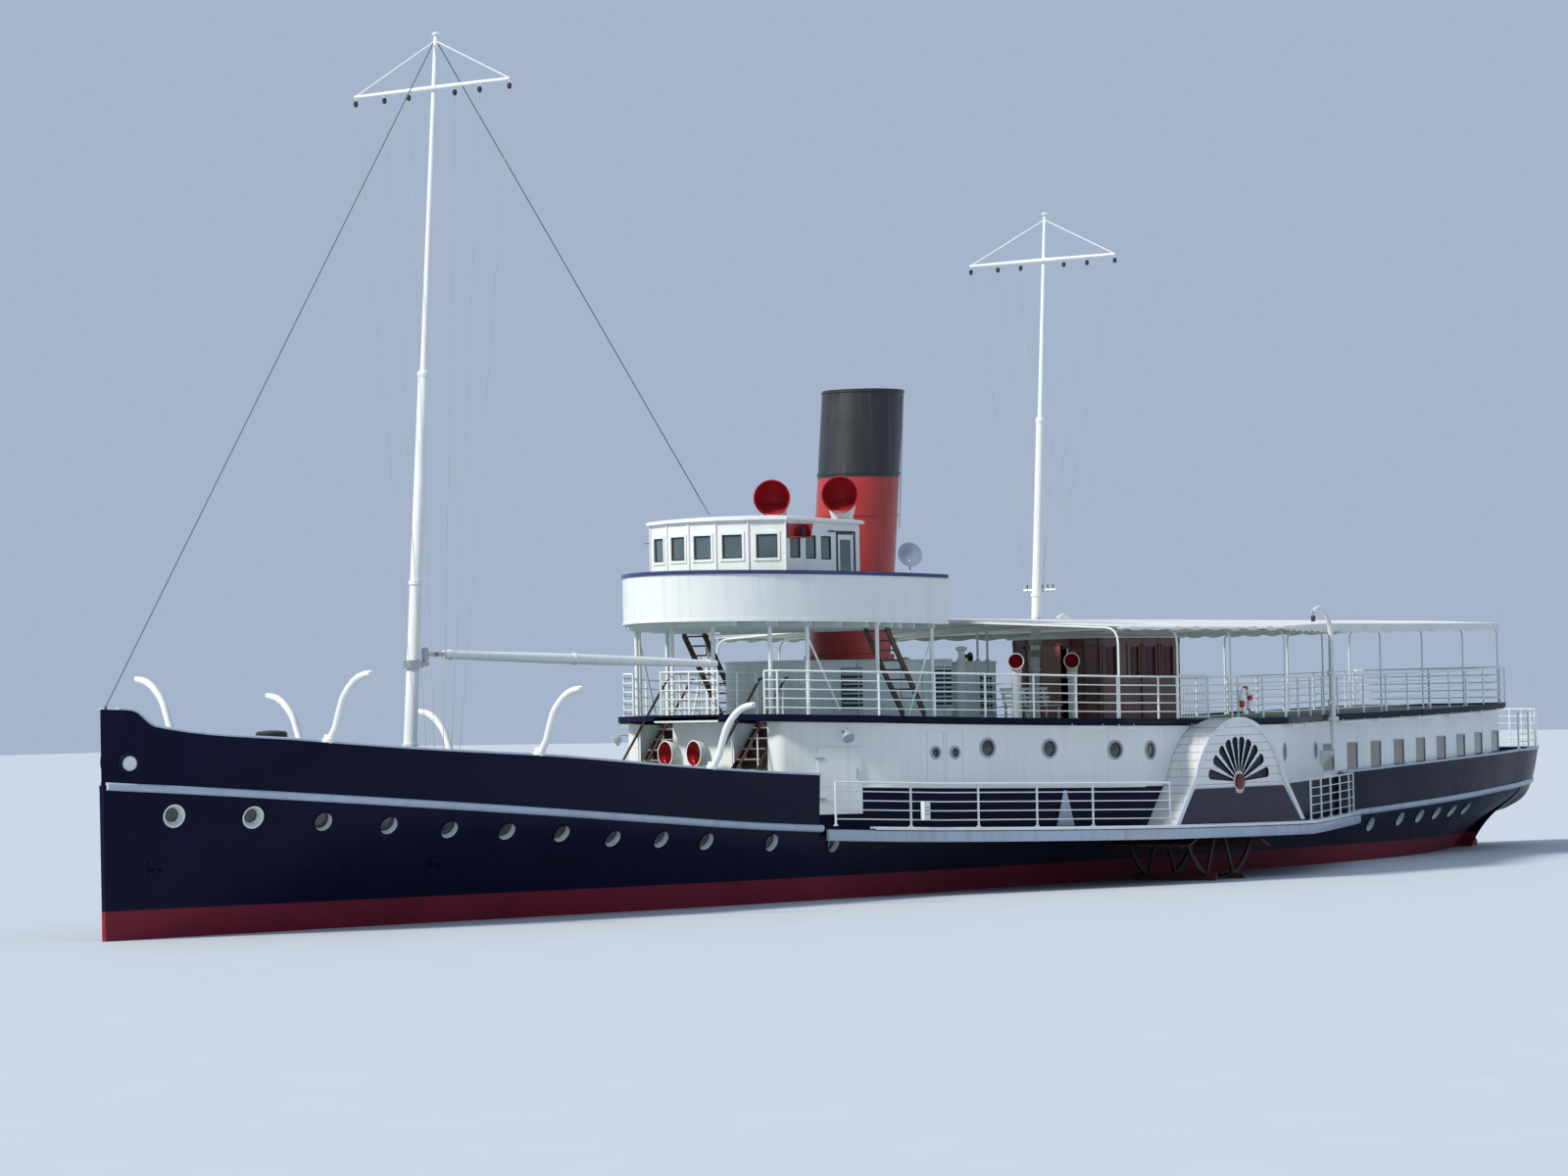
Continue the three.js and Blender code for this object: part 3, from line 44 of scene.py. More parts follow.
BEARING, PITCH, ROLL = 0.6494, 0.0248, 0.0199  # radians
STANDPOINT = (10.1309, 7.2057, 0.4572)
moved = Matrix.Translation
eye = bpy.data.objects.new("shore_camera", bpy.data.cameras.new("shore_camera"))
bpy.context.scene.collection.objects.link(eye)
look_along = Vector(
    (-math.cos(BEARING) * math.cos(PITCH), -math.sin(BEARING) * math.cos(PITCH), math.sin(PITCH))
)
level = look_along.cross(Vector((0, 0, 1))).normalized()
upright = level.cross(look_along)
picture_right = level * math.cos(ROLL) - upright * math.sin(ROLL)
picture_up = upright * math.cos(ROLL) + level * math.sin(ROLL)
eye.matrix_world = moved(STANDPOINT) @ Matrix(
    (picture_right, picture_up, -look_along)
).transposed().to_4x4()
eye.data.sensor_width = 36
eye.data.lens = 112.5
eye.data.shift_y = -0.00287
eye.data.clip_end = 100
bpy.context.scene.camera = eye
bpy.context.scene.view_settings.view_transform = "Standard"

# Hull. Riveted steel plating over frames, navy above the waterline and dark red below it.
# Its shape is faired through a table of stations, and the main deck of planks closes it on top.
KEEL_Z = -1.7
BILGE_Z = -1.1
BOOT_TOP_Z = 0.6
HALF_LENGTH = 29.7
SEAT = 0.003  # gap between pieces that touch
STATIONS = (
    # t aft of the stem, rail, rail z, deck, deck z, boot top, waterline, bilge, keel, floor z
    (0, 0.07, 4.76, 0.06, 3.2, 0.05, 0.05, 0.05, 0.04, KEEL_Z),
    (0.5, 0.42, 4.72, 0.3, 3.16, 0.12, 0.1, 0.06, 0.04, KEEL_Z),
    (0.9, 0.66, 4.38, 0.5, 3.13, 0.18, 0.14, 0.07, 0.05, KEEL_Z),
    (4, 1.95, 4.02, 1.68, 2.88, 0.78, 0.6, 0.3, 0.08, KEEL_Z),
    (7, 2.8, 3.76, 2.5, 2.64, 1.3, 1.08, 0.75, 0.2, KEEL_Z),
    (10.5, 3.4, 3.54, 3.15, 2.36, 2.0, 1.75, 1.4, 0.6, KEEL_Z),
    (14, 3.66, 3.26, 3.5, 2.08, 2.65, 2.42, 2.1, 1.3, KEEL_Z),
    (18, 3.74, 3.0, 3.66, 1.79, 3.2, 3.02, 2.8, 2.0, KEEL_Z),
    (23, 3.76, 2.78, 3.72, 1.56, 3.55, 3.44, 3.3, 2.6, KEEL_Z),
    (30, 3.76, 2.5, 3.74, 1.4, 3.66, 3.6, 3.5, 2.8, KEEL_Z),
    (37, 3.76, 2.36, 3.74, 1.32, 3.66, 3.6, 3.45, 2.7, KEEL_Z),
    (43, 3.72, 2.43, 3.68, 1.34, 3.48, 3.35, 3.0, 2.2, KEEL_Z),
    (47.5, 3.52, 2.57, 3.46, 1.48, 3.02, 2.78, 2.1, 1.3, KEEL_Z),
    (51, 3.2, 2.68, 3.12, 1.62, 2.3, 1.9, 1.05, 0.5, KEEL_Z),
    (53.5, 2.86, 2.75, 2.74, 1.74, 1.5, 1.0, 0.4, 0.15, KEEL_Z),
    (55.9, 2.4, 2.81, 2.24, 1.85, 0.6, 0.14, 0.09, 0.07, KEEL_Z),
    (56, 2.38, 2.81, 2.22, 1.86, 0.56, 0.4, 0.24, 0.1, 0.46),
    (57.4, 1.96, 2.84, 1.74, 1.9, 1.0, 0.72, 0.42, 0.14, 1.1),
    (58.6, 1.3, 2.87, 1.06, 1.94, 0.84, 0.62, 0.38, 0.14, 1.62),
    (59.15, 0.82, 2.88, 0.6, 1.96, 0.52, 0.42, 0.28, 0.12, 1.86),
)


def faired(places, values):
    """A smooth curve through the values that never overshoots them."""
    k = np.array(places, float)
    v = np.array(values, float)
    gap = np.diff(k)
    rise = np.diff(v) / gap
    slope = np.zeros_like(v)
    slope[0] = rise[0]
    slope[-1] = rise[-1]
    for i in range(1, len(k) - 1):
        if rise[i - 1] * rise[i] > 0:
            w0 = 2 * gap[i] + gap[i - 1]
            w1 = gap[i] + 2 * gap[i - 1]
            slope[i] = (w0 + w1) / (w0 / rise[i - 1] + w1 / rise[i])

    def curve(at):
        at = np.clip(at, k[0], k[-1])
        i = np.clip(np.searchsorted(k, at) - 1, 0, len(k) - 2)
        s = (at - k[i]) / gap[i]
        bend = s * s * (3 - 2 * s)
        lead = gap[i] * (s * (1 - s) ** 2 * slope[i] - s * s * (1 - s) * slope[i + 1])
        value = v[i] * (1 - bend) + v[i + 1] * bend + lead
        return value if np.ndim(value) else float(value)

    return curve


station_t = [row[0] for row in STATIONS]
rail_half, rail_z, deck_half, deck_z, boot_half, water_half, bilge_half, keel_half, floor_z = (
    faired(station_t, [row[column] for row in STATIONS]) for column in range(1, 10)
)


def side_of(t):
    """Foot of the ship's side and its half-breadth as a curve over height, at t aft of the stem."""
    low = floor_z(t)
    marks = (KEEL_Z, BILGE_Z, 0, BOOT_TOP_Z, deck_z(t), rail_z(t))
    heights = [max(z, low + 0.02 * i) for i, z in enumerate(marks)]
    halves = [line(t) for line in (keel_half, bilge_half, water_half, boot_half, deck_half, rail_half)]
    return low, faired(heights, halves)


def deck_at(x):
    """Height of the main deck at x."""
    return deck_z(HALF_LENGTH - x)


class Piece:
    """A piece on the bench. Its solids are given in metres of the full-size ship."""

    def __init__(self):
        self.mesh = bmesh.new()
        self.finishes = []

    def number(self, finish):
        if finish not in self.finishes:
            self.finishes.append(finish)
        return self.finishes.index(finish)

    def skin(self, rows, finish, ring=False):
        """Closed sections, one row of points each, are skinned into a closed solid."""
        made = [[self.mesh.verts.new(Vector(p) * SHIP) for p in row] for row in rows]
        count = len(made[0])
        pairs = list(zip(made, made[1:]))
        if ring:
            pairs.append((made[-1], made[0]))
        faces = []
        for a, b in pairs:
            for j in range(count):
                k = (j + 1) % count
                faces.append(self.mesh.faces.new((a[j], b[j], b[k], a[k])))
        if not ring:
            faces.append(self.mesh.faces.new(made[0]))
            faces.append(self.mesh.faces.new(made[-1][::-1]))
        for face in faces:
            face.material_index = self.number(finish)
        return faces

    def board(self, corner, opposite, finish):
        """A board between two opposite corners."""
        (x0, x1), (y0, y1), (z0, z1) = (sorted(pair) for pair in zip(corner, opposite))
        ends = [[(x, y0, z0), (x, y1, z0), (x, y1, z1), (x, y0, z1)] for x in (x0, x1)]
        return self.skin(ends, finish)

    def bar(self, points, radius, finish, sides=8):
        """A round bar bent along the points, with one radius or one for each point."""
        path = [Vector(p) for p in points]
        radii = radius if isinstance(radius, (list, tuple)) else [radius] * len(path)
        across = None
        rows = []
        for i, p in enumerate(path):
            way = (path[min(i + 1, len(path) - 1)] - path[max(i - 1, 0)]).normalized()
            across = way.orthogonal() if across is None else across
            across = (across - way * across.dot(way)).normalized()
            over = way.cross(across)
            turn = [2 * math.pi * (s + 0.5) / sides for s in range(sides)]
            rows.append([p + (across * math.cos(a) + over * math.sin(a)) * radii[i] for a in turn])
        return self.skin(rows, finish)

    def post(self, foot, top, radius, finish, sides=8):
        """An upright round bar from its foot up to a height."""
        return self.bar([foot, (*foot[:2], top)], radius, finish, sides)

    def beam(self, a, b, width, depth, finish, up=(0, 0, 1)):
        """A straight bar of rectangular section between two points."""
        a, b = Vector(a), Vector(b)
        side = (b - a).cross(Vector(up)).normalized() * width / 2
        rise = side.cross(b - a).normalized() * depth / 2
        ends = [[p - side - rise, p + side - rise, p + side + rise, p - side + rise] for p in (a, b)]
        return self.skin(ends, finish)

    def turned(self, profile, place, finish, sides=24, ring=False):
        """A turned solid: the profile gives radius and height along the z axis of the place."""
        turn = [2 * math.pi * s / sides for s in range(sides)]
        rows = [[place @ Vector((r * math.cos(a), r * math.sin(a), h)) for a in turn] for r, h in profile]
        return self.skin(rows, finish, ring)

    def band(self, inner, outer, half, place, finish, sides):
        """A flat hoop round the z axis of the place, with half its width to each side."""
        profile = [(inner, -half), (outer, -half), (outer, half), (inner, half)]
        return self.turned(profile, place, finish, sides, ring=True)

    def plate(self, outline, thick, place, finish):
        """A flat plate cut to an outline in the x and y of the place, from z 0 up to its thickness."""
        ends = [[place @ Vector((u, v, h)) for u, v in outline] for h in (0, thick)]
        return self.skin(ends, finish)

    def shape(self, name, crease=35):
        """The finished mesh as an object, smooth but for edges sharper than the crease."""
        bmesh.ops.recalc_face_normals(self.mesh, faces=self.mesh.faces)
        data = bpy.data.meshes.new(name)
        self.mesh.to_mesh(data)
        self.mesh.free()
        for finish in self.finishes:
            data.materials.append(finish)
        data.shade_smooth()
        data.set_sharp_from_angle(angle=math.radians(crease))
        thing = bpy.data.objects.new(name, data)
        bpy.context.scene.collection.objects.link(thing)
        return thing


def carve(thing, tools, crease=35):
    """Cuts the tools' solids out of a piece; the cut faces take the tools' finishes."""
    cutter = tools.shape("cutter")
    for finish in cutter.data.materials:
        if finish.name not in thing.data.materials:
            thing.data.materials.append(finish)
    opening = thing.modifiers.new("openings", "BOOLEAN")
    opening.operation = "DIFFERENCE"
    opening.solver = "EXACT"
    opening.material_mode = "TRANSFER"
    opening.object = cutter
    seen = thing.evaluated_get(bpy.context.evaluated_depsgraph_get())
    cut = bpy.data.meshes.new_from_object(seen)
    thing.modifiers.clear()
    thing.data = cut
    cut.set_sharp_from_angle(angle=math.radians(crease))
    bpy.data.objects.remove(cutter)
    return thing


def fit(thing, body, slot, *nodes):
    """Fits a piece to its body and hides the nodes that it stands for; the finish slot is not used."""
    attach(thing, body)
    if nodes:
        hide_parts(*nodes)
    return thing


def facing(origin, axis, up=(0, 0, 1)):
    """A place whose z axis points along axis, and whose y axis leans to up."""
    z = Vector(axis).normalized()
    x = Vector(up).cross(z).normalized()
    y = z.cross(x)
    return moved(origin) @ Matrix((x, y, z)).transposed().to_4x4()


def add(tree, kind, inputs=None, **settings):
    """Adds a shader node with its settings, and gives its inputs values or links."""
    node = tree.nodes.new("ShaderNode" + kind)
    for key, value in settings.items():
        setattr(node, key, value)
    for socket, value in (inputs or {}).items():
        if isinstance(value, bpy.types.NodeSocket):
            tree.links.new(value, node.inputs[socket])
        else:
            node.inputs[socket].default_value = value
    return node


MIX_A, MIX_B, MIX_RESULT = 6, 7, 2  # colour sockets of the Mix node


def mixed(tree, factor, a, b, blend="MIX"):
    """Mixes two colours."""
    node = add(tree, "Mix", {0: factor, MIX_A: a, MIX_B: b}, data_type="RGBA", blend_type=blend)
    return node.outputs[MIX_RESULT]


def sums(tree, operation, a, b):
    """One step of arithmetic on two numbers."""
    return add(tree, "Math", {0: a, 1: b}, operation=operation).outputs[0]


def ranged(tree, value, low, high, to_low=0.0, to_high=1.0):
    """Maps a value from one range to another and holds it there."""
    sockets = {"Value": value, "From Min": low, "From Max": high, "To Min": to_low, "To Max": to_high}
    return add(tree, "MapRange", sockets).outputs[0]


def effect(name, inputs, outputs):
    """A new shader group with named inputs and outputs; a tuple is a colour and a number a value."""
    group = bpy.data.node_groups.new(name, "ShaderNodeTree")
    for label, value in inputs.items():
        kind = "NodeSocketColor" if isinstance(value, tuple) else "NodeSocketFloat"
        group.interface.new_socket(name=label, in_out="INPUT", socket_type=kind).default_value = value
    for label in outputs:
        kind = "NodeSocketColor" if label == "Colour" else "NodeSocketFloat"
        group.interface.new_socket(name=label, in_out="OUTPUT", socket_type=kind)
    return group, group.nodes.new("NodeGroupInput").outputs, group.nodes.new("NodeGroupOutput").inputs


def ship_metres(tree):
    """Place on the piece, in metres of the full-size ship."""
    here = add(tree, "TexCoord").outputs["Object"]
    return add(tree, "VectorMath", {0: here, "Scale": 1 / SHIP}, operation="SCALE").outputs[0]


salt_worn, given, out = effect(
    "salt_worn_paint",
    {"Paint": (1, 1, 1, 1), "Stain": (0.3, 0.2, 0.1, 1), "Mottle": 0.1, "Runs": 0.2, "Roughness": 0.4},
    ("Colour", "Roughness", "Height"),
)
place = ship_metres(salt_worn)
broad = add(salt_worn, "TexNoise", {"Vector": place, "Scale": 0.6, "Detail": 6.0, "Roughness": 0.6})
cloudy = ranged(salt_worn, broad.outputs[0], 0.3, 0.7, -1.0, 1.0)
lighter = sums(salt_worn, "ADD", 1.0, sums(salt_worn, "MULTIPLY", cloudy, given["Mottle"]))
tinted = add(salt_worn, "HueSaturation", {"Color": given["Paint"], "Value": lighter})
falling = add(salt_worn, "VectorMath", {0: place, 1: (5, 5, 0.3)}, operation="MULTIPLY").outputs[0]
trickle = add(salt_worn, "TexNoise", {"Vector": falling, "Scale": 1.0, "Detail": 4.0})
streaks = ranged(salt_worn, trickle.outputs[0], 0.52, 0.8)
specks = add(salt_worn, "TexNoise", {"Vector": place, "Scale": 9.0, "Detail": 8.0, "Roughness": 0.7})
chipped = ranged(salt_worn, specks.outputs[0], 0.62, 0.72, 0.0, 0.6)
dirt = sums(salt_worn, "MULTIPLY", sums(salt_worn, "MAXIMUM", streaks, chipped), given["Runs"])
salt_worn.links.new(mixed(salt_worn, dirt, tinted.outputs[0], given["Stain"]), out["Colour"])
rougher = sums(salt_worn, "MULTIPLY_ADD", cloudy, 0.06)
salt_worn.links.new(given["Roughness"], rougher.node.inputs[2])
dulled = sums(salt_worn, "ADD", rougher, sums(salt_worn, "MULTIPLY", dirt, 0.3))
salt_worn.links.new(dulled, out["Roughness"])
ripple = add(salt_worn, "TexNoise", {"Vector": place, "Scale": 2.2, "Detail": 3.0})
brushed = sums(salt_worn, "MULTIPLY", specks.outputs[0], 0.25)
salt_worn.links.new(sums(salt_worn, "ADD", ripple.outputs[0], brushed), out["Height"])


def painted(name, paint, stain, mottle=0.08, runs=0.2, roughness=0.35, bump=0.1, coat=0.0, metal=0.0):
    """Gloss paint on steel or wood that salt, rain and sun have worn."""
    material = bpy.data.materials.new(name)
    material.use_nodes = True
    tree = material.node_tree
    surface = tree.nodes["Principled BSDF"]
    surface.inputs["Metallic"].default_value = metal
    surface.inputs["Coat Weight"].default_value = coat
    surface.inputs["Coat Roughness"].default_value = 0.12
    values = {"Paint": (*paint, 1), "Stain": (*stain, 1), "Mottle": mottle, "Runs": runs}
    values["Roughness"] = roughness
    worn = add(tree, "Group", values, node_tree=salt_worn)
    tree.links.new(worn.outputs["Colour"], surface.inputs["Base Color"])
    tree.links.new(worn.outputs["Roughness"], surface.inputs["Roughness"])
    relief = {"Height": worn.outputs["Height"], "Strength": bump, "Distance": 0.002}
    tree.links.new(add(tree, "Bump", relief).outputs[0], surface.inputs["Normal"])
    return material


def parts_of(material):
    """Tree, surface, worn paint and bump of a painted material."""
    tree = material.node_tree
    found = {node.bl_idname: node for node in tree.nodes}
    names = ("ShaderNodeBsdfPrincipled", "ShaderNodeGroup", "ShaderNodeBump")
    return [tree] + [found[name] for name in names]


NAVY = (0.0045, 0.0055, 0.024)
navy_topsides = painted("navy_topsides", NAVY, (0.012, 0.014, 0.03), 0.25, 0.3, 0.34, 0.25)
tree, surface, worn, relief = parts_of(navy_topsides)
surface.inputs["Specular IOR Level"].default_value = 0.09
boot_top = {"Paint": (0.20, 0.020, 0.036, 1), "Stain": (0.10, 0.035, 0.04, 1), "Mottle": 0.2}
boot_top.update({"Runs": 0.5, "Roughness": 0.5})
red_paint = add(tree, "Group", boot_top, node_tree=salt_worn)
x_y_z = add(tree, "SeparateXYZ", {0: ship_metres(tree)}).outputs
paint_line = sums(tree, "MULTIPLY_ADD", x_y_z[0], 0.003)
paint_line.node.inputs[2].default_value = 0.52
below = ranged(tree, sums(tree, "SUBTRACT", x_y_z[2], paint_line), 0.012, -0.012)
for channel in ("Colour", "Roughness"):
    pair = mixed(tree, below, worn.outputs[channel], red_paint.outputs[channel])
    tree.links.new(pair, surface.inputs["Base Color" if channel == "Colour" else "Roughness"])
plate_grid = add(tree, "CombineXYZ", {0: x_y_z[0], 1: x_y_z[2]}).outputs[0]
plate_laps = {"Vector": plate_grid, "Scale": 1.0, "Mortar Size": 0.012, "Mortar Smooth": 0.6}
plate_laps.update({"Brick Width": 5.2, "Row Height": 1.15})
laps = add(tree, "TexBrick", plate_laps)
lap_height = sums(tree, "MULTIPLY", laps.outputs["Fac"], -0.6)
tree.links.new(sums(tree, "ADD", worn.outputs["Height"], lap_height), relief.inputs["Height"])

laid_boards, given, out = effect(
    "laid_boards",
    {"Across": 0.0, "Along": 0.0, "Board": 0.15, "Length": 5.0},
    ("Seam", "Shade", "Grain"),
)
row = sums(laid_boards, "DIVIDE", given["Across"], given["Board"])
board = sums(laid_boards, "FLOOR", row, 0.0)
stagger = add(laid_boards, "TexWhiteNoise", {"W": board}, noise_dimensions="1D").outputs["Value"]
length = sums(laid_boards, "ADD", sums(laid_boards, "DIVIDE", given["Along"], given["Length"]), stagger)
butt = sums(laid_boards, "FLOOR", length, 0.0)
number = add(laid_boards, "CombineXYZ", {0: board, 1: butt}).outputs[0]
shade = add(laid_boards, "TexWhiteNoise", {"Vector": number}, noise_dimensions="2D").outputs["Value"]
laid_boards.links.new(shade, out["Shade"])
edge = sums(laid_boards, "PINGPONG", row, 0.5)
end = sums(laid_boards, "MULTIPLY", sums(laid_boards, "PINGPONG", length, 0.5), 20.0)
nearest = sums(laid_boards, "MINIMUM", edge, end)
laid_boards.links.new(ranged(laid_boards, nearest, 0.0, 0.07, 1.0, 0.0), out["Seam"])
drawn_out = add(laid_boards, "CombineXYZ", {0: sums(laid_boards, "MULTIPLY", row, 9.0), 1: length})
fibres = add(laid_boards, "TexNoise", {"Vector": drawn_out.outputs[0], "Scale": 2.0, "Detail": 6.0})
laid_boards.links.new(fibres.outputs[0], out["Grain"])


def boarded(material, across, along, board, length, seam, depth=0.35, shading=0.25):
    """Gives a painted material boards: seams in the seam colour, and each board its own shade."""
    tree, surface, worn, relief = parts_of(material)
    x_y_z = add(tree, "SeparateXYZ", {0: ship_metres(tree)}).outputs
    values = {"Across": x_y_z[across], "Along": x_y_z[along], "Board": board, "Length": length}
    boards = add(tree, "Group", values, node_tree=laid_boards)
    value = ranged(tree, boards.outputs["Shade"], 0.0, 1.0, 1 - shading, 1 + shading)
    grained = ranged(tree, boards.outputs["Grain"], 0.3, 0.7, 1 - shading / 2, 1 + shading / 2)
    varied = sums(tree, "MULTIPLY", value, grained)
    shaded = add(tree, "HueSaturation", {"Color": worn.outputs["Colour"], "Value": varied})
    caulked = mixed(tree, boards.outputs["Seam"], shaded.outputs[0], (*seam, 1))
    tree.links.new(caulked, surface.inputs["Base Color"])
    groove = sums(tree, "MULTIPLY", boards.outputs["Seam"], -depth)
    grain = sums(tree, "MULTIPLY_ADD", boards.outputs["Grain"], 0.3)
    tree.links.new(sums(tree, "ADD", groove, worn.outputs["Height"]), grain.node.inputs[2])
    tree.links.new(grain, relief.inputs["Height"])
    return material


green_deck = painted("green_deck_paint", (0.13, 0.22, 0.16), (0.08, 0.09, 0.07), 0.12, 0.35, 0.6, 0.3)
boarded(green_deck, 1, 0, 0.16, 6.0, (0.05, 0.07, 0.055))

SIDE_POINTS = 22
STERN_ROUND = 0.23
hull_ts = sorted({*station_t, *np.linspace(0, 3, 9), *np.linspace(3, 55.9, 90), *np.linspace(56, 59.15, 10)})


def hull_row(t):
    """Closed section of the hull, from the port keel up and over the deck to the starboard keel."""
    aft = max(0.0, t - station_t[-1]) / STERN_ROUND
    slim = math.sqrt(max(0.0, 1 - aft * aft))
    low, half = side_of(min(t, station_t[-1]))
    heights = np.linspace(low, deck_z(t), SIDE_POINTS)
    x = HALF_LENGTH - t
    side = [(x, max(float(y) * slim, 0.012), z) for y, z in zip(half(heights), heights)]
    return side + [(x, -y, z) for x, y, z in side[::-1]]


hull = Piece()
rounding = [station_t[-1] + STERN_ROUND * s for s in (0.3, 0.6, 0.8, 0.92, 0.98, 1.0)]
rows = [hull_row(t) for t in hull_ts + rounding]
plating = hull.skin(rows, navy_topsides)
for i in range(len(rows) - 1):
    plating[i * len(rows[0]) + SIDE_POINTS - 1].material_index = hull.number(green_deck)
hull = hull.shape("hull_plating", 30)

# Side lights of the hull. A white cone is let into the plating round each glass, with a thin rim
# outside; the two foremost ones have a smaller glass in a wider cone.
white_paint = painted("white_paint", (0.80, 0.82, 0.80), (0.42, 0.36, 0.26), 0.04, 0.22, 0.32, 0.12, 0.2)
dark_glass = painted("dark_glass", (0.012, 0.018, 0.02), (0.05, 0.06, 0.06), 0.3, 0.1, 0.06, 0.03, 1.0)
brass_rim = painted("brass_rim", (0.20, 0.17, 0.12), (0.05, 0.05, 0.04), 0.2, 0.5, 0.4, 0.1, 0, 0.8)
FORE_LIGHTS = (
    (28.25, 2.53), (26.54, 2.45), (24.91, 2.31), (23.29, 2.18), (21.71, 2.04), (20.17, 1.95),
    (18.61, 1.85), (17.04, 1.69), (15.53, 1.62), (14.03, 1.52), (11.77, 1.42), (9.49, 1.32),
)
AFT_LIGHTS = (
    (-15.32, 1.00), (-17.13, 1.09), (-18.41, 1.13), (-19.58, 1.18), (-20.74, 1.20), (-21.87, 1.23),
)
FOREMOST_FROM_X = 26
FOREMOST_LIGHT = (0.245, 0.225, 0.15)  # radii of the rim, the cone and the glass
PLAIN_LIGHT = (0.222, 0.212, 0.2)
LIGHT_DEPTH = 0.12
LIGHT_SIDES = 24


def on_side(x, z, sign):
    """A place on the ship's side whose z axis points straight out of the plating."""
    t = HALF_LENGTH - x
    half = side_of(t)[1]
    here = Vector((x, sign * half(z), z))
    forward = Vector((x + 0.1, sign * side_of(t - 0.1)[1](z), z)) - here
    upward = Vector((x, sign * half(z + 0.05), z + 0.05)) - here
    out = forward.cross(upward) * -sign
    return facing(here, out)


lights = Piece()
pockets = Piece()
for x, z in FORE_LIGHTS + AFT_LIGHTS:
    for sign in (1, -1):
        spot = on_side(x, z, sign)
        rim, cone, glass = FOREMOST_LIGHT if x > FOREMOST_FROM_X else PLAIN_LIGHT
        back, front = -LIGHT_DEPTH - 0.02, -LIGHT_DEPTH + 0.012
        pockets.turned([(cone, 0.1), (cone, -LIGHT_DEPTH - 0.03)], spot, white_paint, 20)
        sleeve = [(rim, 0.001), (rim, 0.014), (cone - 0.006, 0.016), (glass, -LIGHT_DEPTH + 0.01)]
        sleeve += [(glass, back), (cone - SEAT, back), (cone - SEAT, 0.001)]
        faces = lights.turned(sleeve, spot, white_paint, LIGHT_SIDES, ring=True)
        # Abaft the two foremost lights the rim is painted navy: painted shade, so these read dark round a
        # thin white cone.
        if x < FOREMOST_FROM_X:
            for face in faces[: 2 * LIGHT_SIDES]:
                face.material_index = lights.number(navy_topsides)
        pane = [(glass - SEAT, back), (glass - SEAT, -LIGHT_DEPTH), (glass * 0.6, front)]
        lights.turned(pane + [(0.01, -LIGHT_DEPTH + 0.016)], spot, dark_glass, 20)
carve(hull, pockets, 30)
fit(hull, "ship", "navy_paint", "hull")
fit(lights.shape("hull_side_lights"), "ship", "white_paint")

# Rubbing strake. A half-round wooden moulding, painted pale blue-grey, bolted along the deck line
# from the stem to the fender of the sponson, and from the after end of the fender to the stern.
strake_paint = painted("strake_paint", (0.42, 0.50, 0.60), (0.16, 0.15, 0.14), 0.08, 0.35, 0.4, 0.15, 0.1)
STRAKE_HALF = 0.085
HALF_ROUND = ((-0.02, -1), (0.03, -0.92), (0.06, -0.6), (0.07, 0), (0.06, 0.6), (0.03, 0.92), (-0.02, 1))


def strake(piece, ts, sign):
    """A half-round moulding along the deck line."""
    rows = []
    for t in ts:
        z = deck_z(t) - 0.015
        half = side_of(t)[1]
        marks = [(out, z + STRAKE_HALF * v) for out, v in HALF_ROUND]
        rows.append([(HALF_LENGTH - t, sign * (half(h) + out), h) for out, h in marks])
    return piece.skin(rows, strake_paint)


mouldings = Piece()
for sign in (1, -1):
    strake(mouldings, np.linspace(0.06, 19.72, 60), sign)
    strake(mouldings, np.linspace(44.0, 59.1, 40), sign)
fit(mouldings.shape("rubbing_strake"), "ship", "white_paint")

# Fore bulwark. Thin plating that carries the ship's side up round the foredeck, stiffened by
# brackets inside, under a pale wooden cap that sweeps up to the stem head in a scroll.
SHELL = 0.08
FORE_END_T = 19.6
BULWARK_STEPS = 6
CAP_WIDE, CAP_TALL = 0.17, 0.05
CAP_SECTION = ((-0.5, 0), (-0.5, 0.6), (-0.4, 1), (0.4, 1), (0.5, 0.6), (0.5, 0))


def bulwark_row(t, sign):
    """Closed section of the bulwark plating."""
    half = side_of(t)[1]
    heights = np.linspace(deck_z(t) + SEAT, rail_z(t), BULWARK_STEPS)
    thick = min(SHELL, deck_half(t) * 0.5)
    x = HALF_LENGTH - t
    outer = [(x, sign * half(z), z) for z in heights]
    inner = [(x, y - sign * thick, z) for x, y, z in outer]
    return outer + inner[::-1]


def stem_row(x, reach):
    """Section of the bulwark at the stem, on the centreline."""
    heights = np.linspace(deck_z(0) + SEAT, rail_z(0), BULWARK_STEPS)
    outer = [(x, 0, z) for z in heights]
    return outer + [(x - reach, 0, z) for z in heights[::-1]]


def cap_row(t, sign):
    """Section of the cap on the bulwark, with rounded edges."""
    middle = rail_half(t) - SHELL / 2
    z = rail_z(t) + SEAT
    section = [(sign * max(0.0, middle + u * CAP_WIDE), z + v * CAP_TALL) for u, v in CAP_SECTION]
    return [(HALF_LENGTH - t, y, h) for y, h in section]


